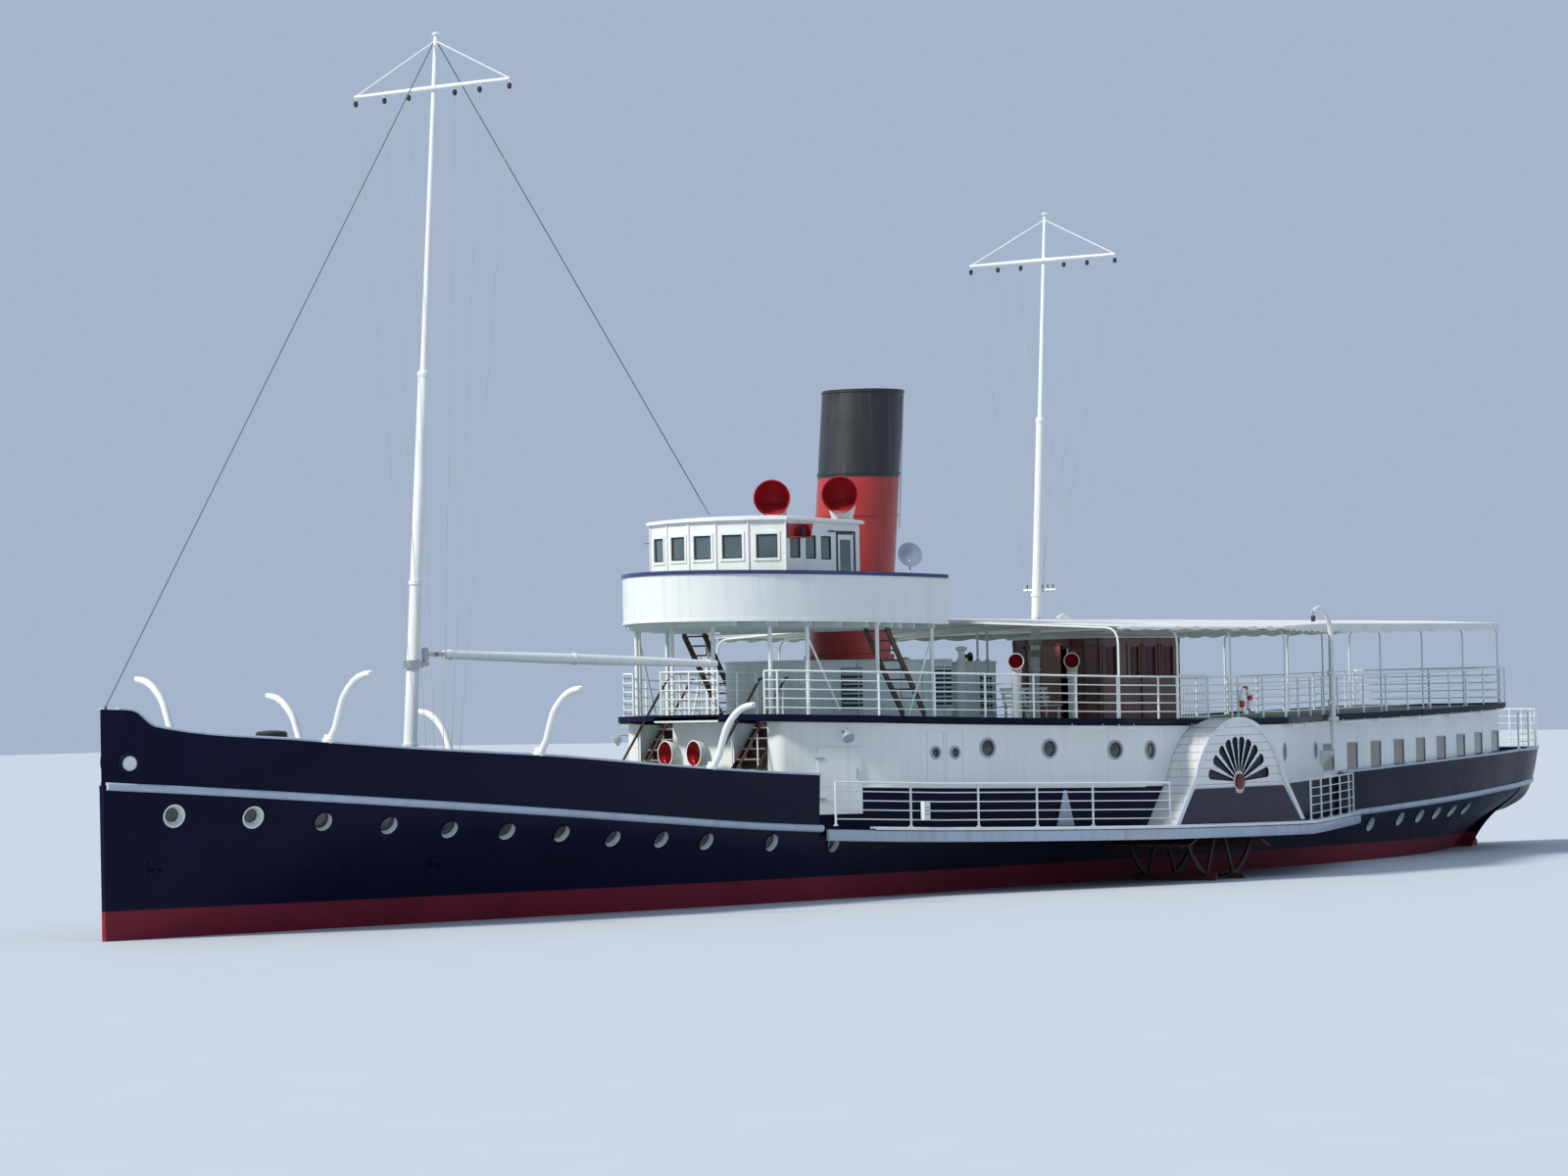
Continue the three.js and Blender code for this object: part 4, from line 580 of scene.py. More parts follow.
fore_ts = [FORE_END_T, *np.linspace(19, 1.2, 50), 1.0, 0.9, 0.8, 0.7, 0.6, 0.5, 0.35, 0.25]
bulwark = Piece()
port_rows = [bulwark_row(t, 1) for t in fore_ts]
starboard_rows = [bulwark_row(t, -1) for t in fore_ts[::-1]]
bulwark.skin(port_rows + [stem_row(HALF_LENGTH, 0.16)] + starboard_rows, navy_topsides)
for sign in (1, -1):
    bulwark.skin([cap_row(t, sign) for t in fore_ts], strake_paint)
    for t in np.arange(2.2, FORE_END_T, 1.3):
        x = HALF_LENGTH - t
        foot = deck_z(t)
        head = rail_z(t) - 0.05
        inside = deck_half(t) - SHELL - 0.004
        inside_top = rail_half(t) - SHELL - 0.004
        flare = [(inside, foot + 0.01), (inside - 0.4, foot + 0.01), (inside - 0.36, foot + 0.1)]
        flare += [(inside_top - 0.1, head), (inside_top, head)]
        bracket = [[(x + d, sign * y, z) for y, z in flare] for d in (-0.015, 0.015)]
        bulwark.skin(bracket, navy_topsides)
fit(bulwark.shape("fore_bulwark_plating", 30), "ship", "navy_paint", "fore_bulwark")

# Curved posts on the fore bulwark. Stout white tubes that lean outboard and end in a blunt tip,
# each bolted down through a pad on the cap.
FORE_POSTS = (4.5, 9.9, 15.5)
POST_RISE = 1.38
POST_REACH = 1.33
POST_BEND = (
    (0.1, -0.02), (0.17, 0.08), (0.25, 0.2), (0.31, 0.38), (0.4, 0.61), (0.46, 0.7), (0.54, 0.79),
    (0.64, 0.88), (0.76, 0.95), (0.88, 0.985), (1, 1),
)
posts = Piece()
for t in FORE_POSTS:
    for sign in (1, -1):
        x = HALF_LENGTH - t
        y = rail_half(t) - SHELL / 2
        z = rail_z(t) + 0.056
        route = [(x, sign * (y + out * POST_REACH), z + up * POST_RISE) for out, up in POST_BEND]
        posts.bar(route, [0.078] * 9 + [0.074, 0.066], white_paint, 12)
        posts.turned([(0.03, 0), (0.05, 0.03), (0.03, 0.06)], moved(route[-1]), white_paint, 10)
        foot = facing((x, sign * (y + 0.12), z), (0, 0, 1), (0, 1, 0))
        posts.turned([(0.14, -0.04), (0.14, 0.03), (0.1, 0.05), (0.09, 0.12)], foot, white_paint, 14)
fit(posts.shape("foredeck_curved_posts"), "ship", "white_paint")

# Hawse pipes and side plates. Cast rings round the anchor holes near the stem, a white pipe inside,
# and small plates with a cleat on the side below.
HAWSE = (29.21, 3.64)
SIDE_PLATES = ((28.49, 1.42), (21.60, 1.27))


def rectangle(u0, v0, u1, v1):
    """The outline of a rectangle from its low corner to its high corner."""
    return [(u0, v0), (u1, v0), (u1, v1), (u0, v1)]


fittings = Piece()
for sign in (1, -1):
    spot = on_side(*HAWSE, sign)
    ring = [(0.17, 0.004), (0.24, 0.004), (0.25, 0.04), (0.21, 0.075), (0.165, 0.05)]
    fittings.turned(ring, spot, navy_topsides, 24, ring=True)
    fittings.turned([(0.16, 0.004), (0.16, 0.02), (0.13, 0.035), (0.01, 0.01)], spot, white_paint, 20)
    for x, z in SIDE_PLATES:
        spot = on_side(x, z, sign)
        fittings.plate(rectangle(-0.2, -0.22, 0.2, 0.22), 0.02, spot, navy_topsides)
        for u in (-0.1, 0.1):
            horn = [(0.03, 0.021), (0.03, 0.08), (0.045, 0.09), (0.045, 0.11)]
            fittings.turned(horn, spot @ moved((u, 0, 0)), navy_topsides, 8)
fit(fittings.shape("hawse_pipes_and_cleats"), "ship", "navy_paint")

# Stern bulwark and taffrail. The same steel plating and wooden cap run round the counter, and
# carry a rail of round steel bars, painted white.
STERN_FROM_T = 43.2
stern_ts = [STERN_FROM_T, *np.linspace(43.6, 59.15, 40)]


def stern_row(angle):
    """Section of the bulwark as it turns round the stern; the angle runs from port to starboard."""
    t = station_t[-1]
    half = side_of(t)[1]
    outer = []
    inner = []
    for z in np.linspace(deck_z(t) + SEAT, rail_z(t), BULWARK_STEPS):
        y = half(z)
        outer.append((HALF_LENGTH - t - 0.25 * math.cos(angle), y * math.sin(angle), z))
        inner.append((HALF_LENGTH - t - 0.17 * math.cos(angle), (y - SHELL) * math.sin(angle), z))
    return outer + inner[::-1]


quarter = [math.radians(a) for a in range(75, -90, -15)]
stern = Piece()
rows = [bulwark_row(t, 1) for t in stern_ts] + [stern_row(a) for a in quarter]
stern.skin(rows + [bulwark_row(t, -1) for t in stern_ts[::-1]], navy_topsides)


def stern_cap_row(angle):
    """Section of the cap as it turns round the stern."""
    t = station_t[-1]
    row = []
    for u, v in CAP_SECTION:
        across = rail_half(t) - SHELL / 2 + u * CAP_WIDE
        along = 0.21 + u * CAP_WIDE
        z = rail_z(t) + SEAT + v * CAP_TALL
        row.append((HALF_LENGTH - t - along * math.cos(angle), across * math.sin(angle), z))
    return row


rows = [cap_row(t, 1) for t in stern_ts] + [stern_cap_row(a) for a in quarter]
stern.skin(rows + [cap_row(t, -1) for t in stern_ts[::-1]], strake_paint)
RAIL_HEIGHT = 1.08
BAR_R, TOP_BAR_R, POST_R = 0.015, 0.024, 0.027
FIVE_BARS = tuple(RAIL_HEIGHT * k / 5 for k in range(1, 6))


def railing(piece, run, foot, heights, spacing, post_xs=()):
    """Round bars and posts along a run of points; foot gives the height of what they stand on."""
    for h in heights:
        line = [(x, y, foot(x, y) + h) for x, y in run]
        piece.bar(line, TOP_BAR_R if h == heights[-1] else BAR_R, white_paint, 6)
    for i, (a, b) in enumerate(zip(run, run[1:])):
        bays = max(1, round(math.dist(a, b) / spacing))
        shares = [k / bays for k in range(0 if i == 0 else 1, bays + 1)]
        if post_xs and abs(a[0] - b[0]) > 0.5:
            low, high = sorted((a[0], b[0]))
            shares = [(x - a[0]) / (b[0] - a[0]) for x in post_xs if low < x <= high]
        for share in shares:
            x = a[0] + (b[0] - a[0]) * share
            y = a[1] + (b[1] - a[1]) * share
            z = foot(x, y)
            piece.post((x, y, z + SEAT), z + heights[-1], POST_R, white_paint)
            flange = [(0.06, 0), (0.06, 0.02), (0.03, 0.035)]
            piece.turned(flange, moved((x, y, z + SEAT)), white_paint, 8)


def stern_rail_foot(x, y):
    """Height of the cap of the stern bulwark."""
    return rail_z(min(HALF_LENGTH - x, station_t[-1])) + 0.055


TAFFRAIL_TS = (55.4, 56.4, 57.4, 58.1, 58.6, 59.0)
rail_run = [(HALF_LENGTH - t, rail_half(t) - 0.05) for t in TAFFRAIL_TS]
rail_run += [(HALF_LENGTH - 59.32, 0.42), (HALF_LENGTH - 59.35, 0)]
rail_run += [(x, -y) for x, y in rail_run[-2::-1]]
railing(stern, rail_run, stern_rail_foot, FIVE_BARS, 1.1)
fit(stern.shape("stern_bulwark_plating", 30), "ship", "navy_paint", "stern_bulwark")

# Rudder. A plate of steel on a round stock, dark red, with stiffening arms riveted across it on
# both faces; it turns in a bore of the counter.
red_bottom = painted("red_bottom", (0.17, 0.018, 0.03), (0.09, 0.04, 0.04), 0.25, 0.6, 0.55, 0.3)
RUDDER_X = -26.48
STOCK_LOW, STOCK_HIGH, STOCK_R = -1.66, 0.9, 0.09
ARM_ZS = (-1.25, -0.6, 0.05)
BLADE = (
    # height, how far its back edge lies abaft the stock, half thickness
    (-1.62, 0.9, 0.05), (-1.2, 1.0, 0.06), (-0.2, 1.02, 0.06), (0.15, 0.98, 0.06), (0.33, 0.8, 0.05),
    (0.4, 0.5, 0.03),
)
rudder = Piece()
rows = []
for z, back, full in BLADE:
    fore, aft = RUDDER_X + 0.1, RUDDER_X - back
    half_row = [(fore, -full, z), (aft + 0.2, -full * 0.8, z), (aft, -0.015, z)]
    rows.append(half_row + [(x, -y, z) for x, y, z in half_row[::-1]])
rudder.skin(rows, red_bottom)
rudder.post((RUDDER_X, 0, STOCK_LOW), STOCK_HIGH, STOCK_R, red_bottom, 16)
for z in ARM_ZS:
    for sign in (1, -1):
        rudder.beam((RUDDER_X, sign * 0.085, z), (RUDDER_X - 0.85, sign * 0.07, z), 0.05, 0.1, red_bottom)
fit(rudder.shape("rudder_blade"), "rudder", "bottom_red", "rudder")

# Sponsons. Platforms bracketed out from the hull to carry the paddle boxes, edged by a fender.
# The fender is a deep pale timber, with a white strip on its upper edge.
SPONSON = ((9.9, 3.8), (6.7, 4.95), (0.2, 7.15), (-6.3, 7.15), (-7.3, 6.75), (-14.2, 3.85))
PADDLE_X = -3.0
WHEEL_WELL = (2.2, 4.1, 6.85)  # half its length, and where it runs from and to across the ship
PLATFORM = 0.2
SIDES = (("port", 1), ("starboard", -1))
FENDER = ((-0.045, -0.3), (-0.01, -0.29), (0.02, -0.24), (0.02, -0.05), (-0.045, -0.03))
STRIP = ((-0.12, 0.002), (0.03, 0.002), (0.04, -0.025), (0.045, 0.02), (0.02, 0.05), (-0.12, 0.05))
STRIP_FROM_X = 8.8


def across_at(table, x):
    """Half-breadth at x of a table of x and half-breadth, listed from fore to aft."""
    xs = [row[0] for row in table][::-1]
    return float(np.interp(x, xs, [row[1] for row in table][::-1]))


def sponson_edge(section, xs, sign):
    """Rows of a section that follows the sponson's edge, at the height of the deck."""
    return [[(x, sign * (across_at(SPONSON, x) + u), deck_at(x) + v) for u, v in section] for x in xs]


fender_xs = sorted({*np.linspace(9.9, -14.2, 60), 6.7, 0.2, -6.3, -7.3}, reverse=True)
shade_navy = painted("underside_navy", (0.008, 0.009, 0.025), (0.06, 0.045, 0.03), 0.3, 0.5, 0.6, 0.2)
for side, sign in SIDES:
    sponson = Piece()
    rows = []
    for x in fender_xs:
        z = deck_at(x)
        outer = sign * (across_at(SPONSON, x) - 0.05)
        inner = sign * (deck_half(HALF_LENGTH - x) + 0.02)
        rows.append([(x, outer, z - PLATFORM), (x, outer, z), (x, inner, z), (x, inner, z - PLATFORM)])
    sponson.skin(rows, navy_topsides)
    sponson = sponson.shape("sponson_platform_" + side)
    well = Piece()
    along, inner, outer = WHEEL_WELL
    well.board((PADDLE_X - along, sign * inner, -1), (PADDLE_X + along, sign * outer, 3), shade_navy)
    carve(sponson, well)
    fit(sponson, "ship", "navy_paint", "sponson_" + side)
    fender = Piece()
    fender.skin(sponson_edge(FENDER, fender_xs, sign), strake_paint)
    fender.skin(sponson_edge(STRIP, [x for x in fender_xs if x < STRIP_FROM_X], sign), white_paint)
    fit(fender.shape("sponson_fender_" + side), "ship", "white_paint")

# Main house. Steel walls between the main deck and the promenade deck, cut back round the paddle
# wheels; navy up to a thin ledge at bulwark height, white above, with round ports and saloon windows.
PROMENADE = (
    (10.35, 1.2), (9.95, 2.4), (7.9, 3.95), (1.15, 6.3), (-6.6, 6.3), (-12.8, 3.82), (-18.4, 3.5),
    (-22, 3.08), (-24.9, 2.62),
)
DECK = 0.12
WALL = 0.08
STAIR_Y = 1.42
STAIR_HALF = 0.5
LEDGE_RISE = 1.0
SHAFT_Z = 1.62
SHAFT_HOLE = 0.136


def promenade_at(x):
    """Height of the promenade deck at x."""
    from_low = x + 6.7
    return 3.95 + (0.0013 if from_low > 0 else 0.0007) * from_low * from_low


def both_sides(half):
    """A closed plan from its port half, listed from fore to aft."""
    return list(half) + [(x, -y) for x, y in reversed(half)]


def rounded(plan, radii):
    """The closed plan with its corners rounded; radii may be one number or one for each corner."""
    made = []
    for i, corner in enumerate(plan):
        radius = radii if isinstance(radii, (int, float)) else radii[i]
        here = Vector(corner)
        back = Vector(plan[i - 1]) - here
        ahead = Vector(plan[(i + 1) % len(plan)]) - here
        half_turn = back.angle(ahead) / 2
        if radius <= 0 or half_turn > math.radians(89):
            made.append(tuple(here))
            continue
        cut = min(radius / math.tan(half_turn), back.length * 0.45, ahead.length * 0.45)
        start = here + back.normalized() * cut
        finish = here + ahead.normalized() * cut
        for s in (k / 6 for k in range(7)):
            p = start * (1 - s) ** 2 + here * 2 * s * (1 - s) + finish * s * s
            made.append(tuple(p))
    return made


def inset(plan, d):
    """The closed plan moved inward by d; it runs counterclockwise seen from above."""
    made = []
    for i, corner in enumerate(plan):
        here = Vector(corner)
        e0 = (here - Vector(plan[i - 1])).normalized()
        e1 = (Vector(plan[(i + 1) % len(plan)]) - here).normalized()
        n0 = Vector((-e0.y, e0.x))
        n1 = Vector((-e1.y, e1.x))
        made.append(tuple(here + (n0 + n1) * (d / max(0.4, 1 + n0.dot(n1)))))
    return made


def divided(plan, step):
    """The closed plan with points added along its longer edges."""
    made = []
    for i, a in enumerate(plan):
        b = plan[(i + 1) % len(plan)]
        count = max(1, int(math.dist(a, b) / step))
        made += [(a[0] + (b[0] - a[0]) * k / count, a[1] + (b[1] - a[1]) * k / count) for k in range(count)]
    return made


def walls(piece, plan, thick, levels, finishes):
    """Walls on a closed plan, in bands between the levels, each a height as a function of x."""
    inner = inset(plan, thick)
    rows = []
    for (x, y), (u, v) in zip(plan, inner):
        row = [(x, y, level(x)) for level in levels]
        rows.append(row + [(u, v, levels[-1](u)), (u, v, levels[0](u))])
    faces = piece.skin(rows, finishes[-1], ring=True)
    count = len(rows[0])
    for i, face in enumerate(faces):
        if i % count < len(finishes) - 1:
            face.material_index = piece.number(finishes[i % count])


BOX = {"inner": 4.04, "outer": 7.02, "arc_z": 1.83, "radius": 2.2, "foot": 3.02, "foot_z": 1.412}
BOX_WALL = 0.05


def box_outline(radius, foot, base):
    """Outline of the drum seen from abeam: an arch that runs out to a wide foot."""
    start = math.asin(0.35)
    arc = [start + (math.pi - 2 * start) * k / 40 for k in range(41)]
    points = [(radius * math.cos(a), BOX["arc_z"] + radius * math.sin(a)) for a in arc]
    return [(foot, base)] + points + [(-foot, base)]


def extruded(piece, outline, y0, y1, finish):
    """An outline in x from the paddle shaft and in z, extruded across the ship."""
    return piece.skin([[(PADDLE_X + u, y, v) for u, v in outline] for y in (y0, y1)], finish)


house_half = [
    (9.7, STAIR_Y - STAIR_HALF), (8.45, STAIR_Y - STAIR_HALF), (8.45, STAIR_Y + STAIR_HALF),
    (9.7, STAIR_Y + STAIR_HALF), (9.7, 2.3), (7.25, 3.98), (0.35, 6.2), (-6.35, 6.2), (-12.7, 3.62),
    (-13.3, 3.6), (-17.8, 3.34), (-21.3, 3.0), (-23.8, 2.6), (-24.7, 2.44),
]
house_radii = [0, 0, 0, 0, 0.3, 0.12, 0.3, 0.3, 0.5, 0, 0, 0, 0, 0.4]
house_plan = divided(rounded(both_sides(house_half), house_radii + house_radii[::-1]), 0.7)
house = Piece()
walls(
    house,
    house_plan,
    WALL,
    [
        lambda x: deck_at(x) + SEAT, lambda x: deck_at(x) + LEDGE_RISE,
        lambda x: promenade_at(x) - DECK - SEAT,
    ],
    [navy_topsides, white_paint],
)
house = house.shape("house_walls", 30)
HOUSE_PORTS = (
    # x, radius, drop below the promenade deck
    (6.24, 0.13, 0.8), (5.69, 0.13, 0.79), (4.76, 0.21, 0.67), (2.97, 0.21, 0.68), (1.03, 0.21, 0.71),
    (-0.2, 0.21, 0.72), (-6.8, 0.21, 0.83), (-11.5, 0.21, 0.89),
)
SALOON_XS = np.linspace(-13.0, -24.15, 9)
SALOON_DROP = 1.1
SALOON_HALF, SALOON_TALL = 0.32, 0.37


def wall_point(x, outset=0.0):
    """A point of the house's port side at x, and the direction straight out of the wall there."""
    table = [p for p in house_half if p[1] > 2.25]
    y = across_at(table, x)
    slope = (across_at(table, x + 0.05) - across_at(table, x - 0.05)) / 0.1
    out = Vector((-slope, 1)).normalized()
    return Vector((x, y)) + out * outset, out


def wall_spot(x, z, sign):
    """A place on either side of the house whose z axis points straight out of the wall."""
    (px, py), out = wall_point(x)
    return facing((px, sign * py, z), (out.x, sign * out.y, 0))


port_spots = [(wall_spot(x, promenade_at(x) - drop, s), r) for x, r, drop in HOUSE_PORTS for s in (1, -1)]
saloon_spots = [wall_spot(x, promenade_at(x) - SALOON_DROP, s) for x in SALOON_XS for s in (1, -1)]
openings = Piece()
for spot, r in port_spots:
    openings.turned([(r, 0.3), (r, -0.3)], spot, white_paint, 20)
for spot in saloon_spots:
    hole = rectangle(-SALOON_HALF, -SALOON_TALL, SALOON_HALF, SALOON_TALL)
    openings.plate(hole, 0.6, spot @ moved((0, 0, -0.3)), white_paint)
shaft_place = facing((PADDLE_X, 0, SHAFT_Z), (0, 1, 0))
openings.turned([(SHAFT_HOLE, -4.6), (SHAFT_HOLE, 4.6)], shaft_place, white_paint, 20)
for sign in (1, -1):
    room = box_outline(BOX["radius"] + 0.02, BOX["foot"] + 0.1, BOX["foot_z"] - 0.1)
    extruded(openings, room, sign * 4.02, sign * 7.5, white_paint)
carve(house, openings, 30)
fit(house, "ship", "white_paint", "main_house")

# Trim of the house: steel frames and glass of its ports and windows, the ledge, the frames of two
# narrow doors, a broad hinged door with a lamp over it on each side, and the davits' shelves.
smoky_glass = painted("smoky_glass", (0.11, 0.10, 0.075), (0.03, 0.03, 0.03), 0.5, 0.2, 0.08, 0.03, 1.0)
frame_grey = painted("frame_grey", (0.36, 0.41, 0.46), (0.2, 0.19, 0.17), 0.08, 0.3, 0.45, 0.1)
LEDGE = ((0, -0.02), (0.035, -0.02), (0.04, 0.01), (0, 0.025))
NARROW_DOOR_XS = (6.24, 5.69)
WEDGES = ((2.6, 0.86, 0.5), (-0.75, 0.4, 0.24))  # x, height, breadth of its foot
BROAD_DOOR_X = 8.5
DOOR_HALF = 0.55
DAVIT_X, DAVIT_Y = -12.4, 4.13
SHELF_Z = 2.94


def surround(piece, spot, half, tall, width, low, high, finish):
    """Four strips round an opening, from low to high along the way out of the wall."""
    wide, deep, near = half + width, tall + width, half - 0.001
    uprights = [(-wide, -deep, -half, deep), (half, -deep, wide, deep)]
    for strip in uprights + [(-near, -deep, near, -tall), (-near, tall, near, deep)]:
        piece.plate(rectangle(*strip), high - low, spot @ moved((0, 0, low)), finish)


trim = Piece()
for spot, r in port_spots:
    ring = [(r - SEAT, -0.05), (r - SEAT, 0.004), (r + 0.035, 0.004), (r + 0.03, 0.02)]
    trim.turned(ring + [(r - 0.02, 0.024), (r - 0.02, -0.05)], spot, frame_grey, 24, ring=True)
    pane = [(r - 0.022, -0.045), (r - 0.022, -0.03), (r * 0.6, -0.02), (0.01, -0.018)]
    trim.turned(pane, spot, dark_glass, 20)
for spot in saloon_spots:
    half, tall = SALOON_HALF - 0.032, SALOON_TALL - 0.032
    pane = rectangle(-half - 0.001, -tall - 0.001, half + 0.001, tall + 0.001)
    trim.plate(pane, 0.012, spot @ moved((0, 0, -0.03)), smoky_glass)
    surround(trim, spot, half + 0.002, tall + 0.002, 0.028, -0.045, 0.006, frame_grey)
    sill = rectangle(-SALOON_HALF - 0.02, -SALOON_TALL - 0.04, SALOON_HALF + 0.02, -SALOON_TALL - 0.005)
    trim.plate(sill, 0.035, spot @ moved((0, 0, 0.003)), white_paint)
for first, last in ((9.5, 0.1), (-6.1, -13.2)):
    for sign in (1, -1):
        rows = []
        for x in np.linspace(first, last, 18):
            (px, py), out = wall_point(x, 0.004)
            z = deck_at(x) + LEDGE_RISE
            rows.append([(px + out.x * u, sign * (py + out.y * u), z + v) for u, v in LEDGE])
        trim.skin(rows, white_paint)
for sign in (1, -1):
    for x in NARROW_DOOR_XS:
        leaf = wall_spot(x, deck_at(x) + 1.72, sign)
        surround(trim, leaf, 0.235, 0.6, 0.02, 0.003, 0.012, white_paint)
    for x, tall, wide in WEDGES:
        foot = deck_at(x) + 0.06
        head = foot + tall
        wedge = [(x + wide / 2, foot), (x - wide / 2, foot), (x - 0.03, head), (x + 0.03, head)]
        rows = [[(u, sign * (wall_point(u, 0.045)[0][1] + d), v) for u, v in wedge] for d in (0, 0.03)]
        trim.skin(rows, strake_paint)
out = wall_point(BROAD_DOOR_X)[1]
for sign in (1, -1):
    spot = wall_spot(BROAD_DOOR_X, deck_at(BROAD_DOOR_X) + 1.3, sign)
    leaf = rectangle(-DOOR_HALF, -0.95, DOOR_HALF, 0.62)
    trim.plate(leaf, 0.035, spot @ moved((0, 0, 0.004)), white_paint)
    for v in (-0.6, 0.35):
        strap = rectangle(-DOOR_HALF - 0.05, v, 0.16 - DOOR_HALF, v + 0.05)
        trim.plate(strap, 0.02, spot @ moved((0, 0, 0.041)), frame_grey)
    grip = [spot @ Vector((0.42, v, 0.06)) for v in (-0.12, 0.12)]
    trim.beam(*grip, 0.03, 0.03, frame_grey, (1, 1, 0))
    arm = spot @ moved((0.1, 0.98, 0.004))
    trim.bar([arm @ Vector(v) for v in ((0, 0, 0), (0, 0.02, 0.3), (0, -0.02, 0.36))], 0.025, frame_grey, 8)
    lamp = facing(arm @ Vector((0, -0.12, 0.4)), Vector((out.x, sign * out.y, -0.8)))
    shade = [(0.05, -0.14), (0.1, -0.1), (0.15, 0.02), (0.14, 0.05), (0.01, 0.05)]
    trim.turned(shade, lamp, frame_grey, 14)
for sign in (1, -1):
    shelf = (DAVIT_X + 0.14, sign * (DAVIT_Y + 0.12), SHELF_Z + 0.12)
    trim.board((DAVIT_X - 0.14, sign * 3.7, SHELF_Z), shelf, white_paint)
    for d in (-0.1, 0.1):
        knee = ((3.72, SHELF_Z - SEAT), (4.1, SHELF_Z - SEAT), (3.72, 2.6))
        rows = [[(DAVIT_X + d + e, sign * y, z) for y, z in knee] for e in (-0.012, 0.012)]
        trim.skin(rows, white_paint)
fit(trim.shape("house_trim"), "ship", "white_paint")

# Paddle boxes. Arched wooden drums over the wheels, planked on top. The outer face has a fan of ten
# slots above a navy panel, and a plain white band between the fan and the raised rim.
FAN = {"z": 2.44, "slots": 10, "inner": 0.26, "reach": 0.71}
FACE_RIM = ((2.22, 3.04), (2.1, 2.86))  # radius and foot of its outer and its inner edge
FACE_Y = 7.022
KNOBS_R = 0.15
planked_white = painted("planked_white", (0.80, 0.81, 0.79), (0.40, 0.34, 0.26), 0.05, 0.3, 0.4, 0.2, 0.1)
boarded(planked_white, 2, 1, 0.2, 3.0, (0.30, 0.28, 0.26), 0.5, 0.05)
# The raised rim of each outer face is a cooler, greyer white than the boards: painted shade.
box_face = painted("box_rim_shaded_white", (0.74, 0.77, 0.80), (0.40, 0.36, 0.30), 0.05, 0.25, 0.35, 0.12, 0.2)
fan_red = painted("fan_red", (0.13, 0.012, 0.016), (0.05, 0.012, 0.012), 0.1, 0.3, 0.35, 0.1, 0.1)
dusky_navy = painted("dusky_navy", (0.024, 0.019, 0.045), (0.09, 0.06, 0.055), 0.3, 0.4, 0.4, 0.2)
dusky_navy.node_tree.nodes["Principled BSDF"].inputs["Specular IOR Level"].default_value = 0.25


def abeam(x, y, z, sign):
    """A place at a distance from the ship's middle line, whose z axis points straight outboard."""
    return facing((x, sign * y, z), (0, sign, 0))


for side, sign in SIDES:
    drum = Piece()
    outline = box_outline(BOX["radius"], BOX["foot"], BOX["foot_z"])
    extruded(drum, outline, sign * BOX["inner"], sign * (BOX["outer"] - 0.02), planked_white)
    drum = drum.shape("paddle_drum_" + side, 40)
    hollow = Piece()
    room = box_outline(BOX["radius"] - BOX_WALL, BOX["foot"] - 2 * BOX_WALL, BOX["foot_z"] - 0.02)
    extruded(hollow, room, sign * (BOX["inner"] + 0.05), sign * (BOX["outer"] - 0.07), shade_navy)
    bore = abeam(PADDLE_X, 0, SHAFT_Z, sign)
    hollow.turned([(SHAFT_HOLE, 3.8), (SHAFT_HOLE, 4.3)], bore, shade_navy, 20)
    for i in range(FAN["slots"]):
        a = (i + 0.5) * math.pi / FAN["slots"]
        lift = FAN["z"] - BOX["arc_z"]
        to_arch = math.sqrt(BOX["radius"] ** 2 - (lift * math.cos(a)) ** 2) - lift * math.sin(a)
        tip = FAN["reach"] * to_arch
        slot = [(FAN["inner"], -0.03), (tip - 0.1, -0.13), (tip - 0.03, -0.1), (tip, 0), (tip - 0.03, 0.1)]
        slot += [(tip - 0.1, 0.13), (FAN["inner"], 0.03)]
        cos, sin = math.cos(a), math.sin(a)
        turned_slot = [(u * cos - v * sin, FAN["z"] + u * sin + v * cos) for u, v in slot]
        extruded(hollow, turned_slot, sign * 6.8, sign * 7.3, shade_navy)
    carve(drum, hollow, 40)
    fit(drum, "ship", "white_paint", "paddle_box_" + side)
    face = Piece()
    rows = []
    for (u0, v0), (u1, v1) in zip(*(box_outline(radius, foot, BOX["foot_z"]) for radius, foot in FACE_RIM)):
        corners = ((u0, 7.0, v0), (u0, 7.05, v0), (u1, 7.05, v1), (u1, 7.0, v1))
        rows.append([(PADDLE_X + u, sign * y, v) for u, y, v in corners])
    face.skin(rows, box_face)
    edge = [(2.84, 1.42), (2.06, FAN["z"] - 0.14), (0.24, FAN["z"] - 0.14), (0.2, FAN["z"] - 0.26)]
    low_panel = [(-2.84, 1.42)] + edge + [(0, FAN["z"] - 0.3)] + [(-u, v) for u, v in edge[:0:-1]]
    extruded(face, low_panel, sign * FACE_Y, sign * 7.035, dusky_navy)
    hub = abeam(PADDLE_X, FACE_Y, FAN["z"], sign)
    boss = [(0.2, 0), (0.2, 0.03), (0.17, 0.05), (0.1, 0.05), (0.08, 0.07), (0.01, 0.075)]
    face.turned(boss, hub, fan_red, 24)
    for i in range(FAN["slots"] + 1):
        a = i * math.pi / FAN["slots"]
        knob = abeam(PADDLE_X + KNOBS_R * math.cos(a), 7.07, FAN["z"] + KNOBS_R * math.sin(a), sign)
        face.turned([(0.015, 0), (0.015, 0.012), (0.005, 0.016)], knob, fan_red, 8)
    fit(face.shape("paddle_box_face_" + side), "ship", "white_paint")
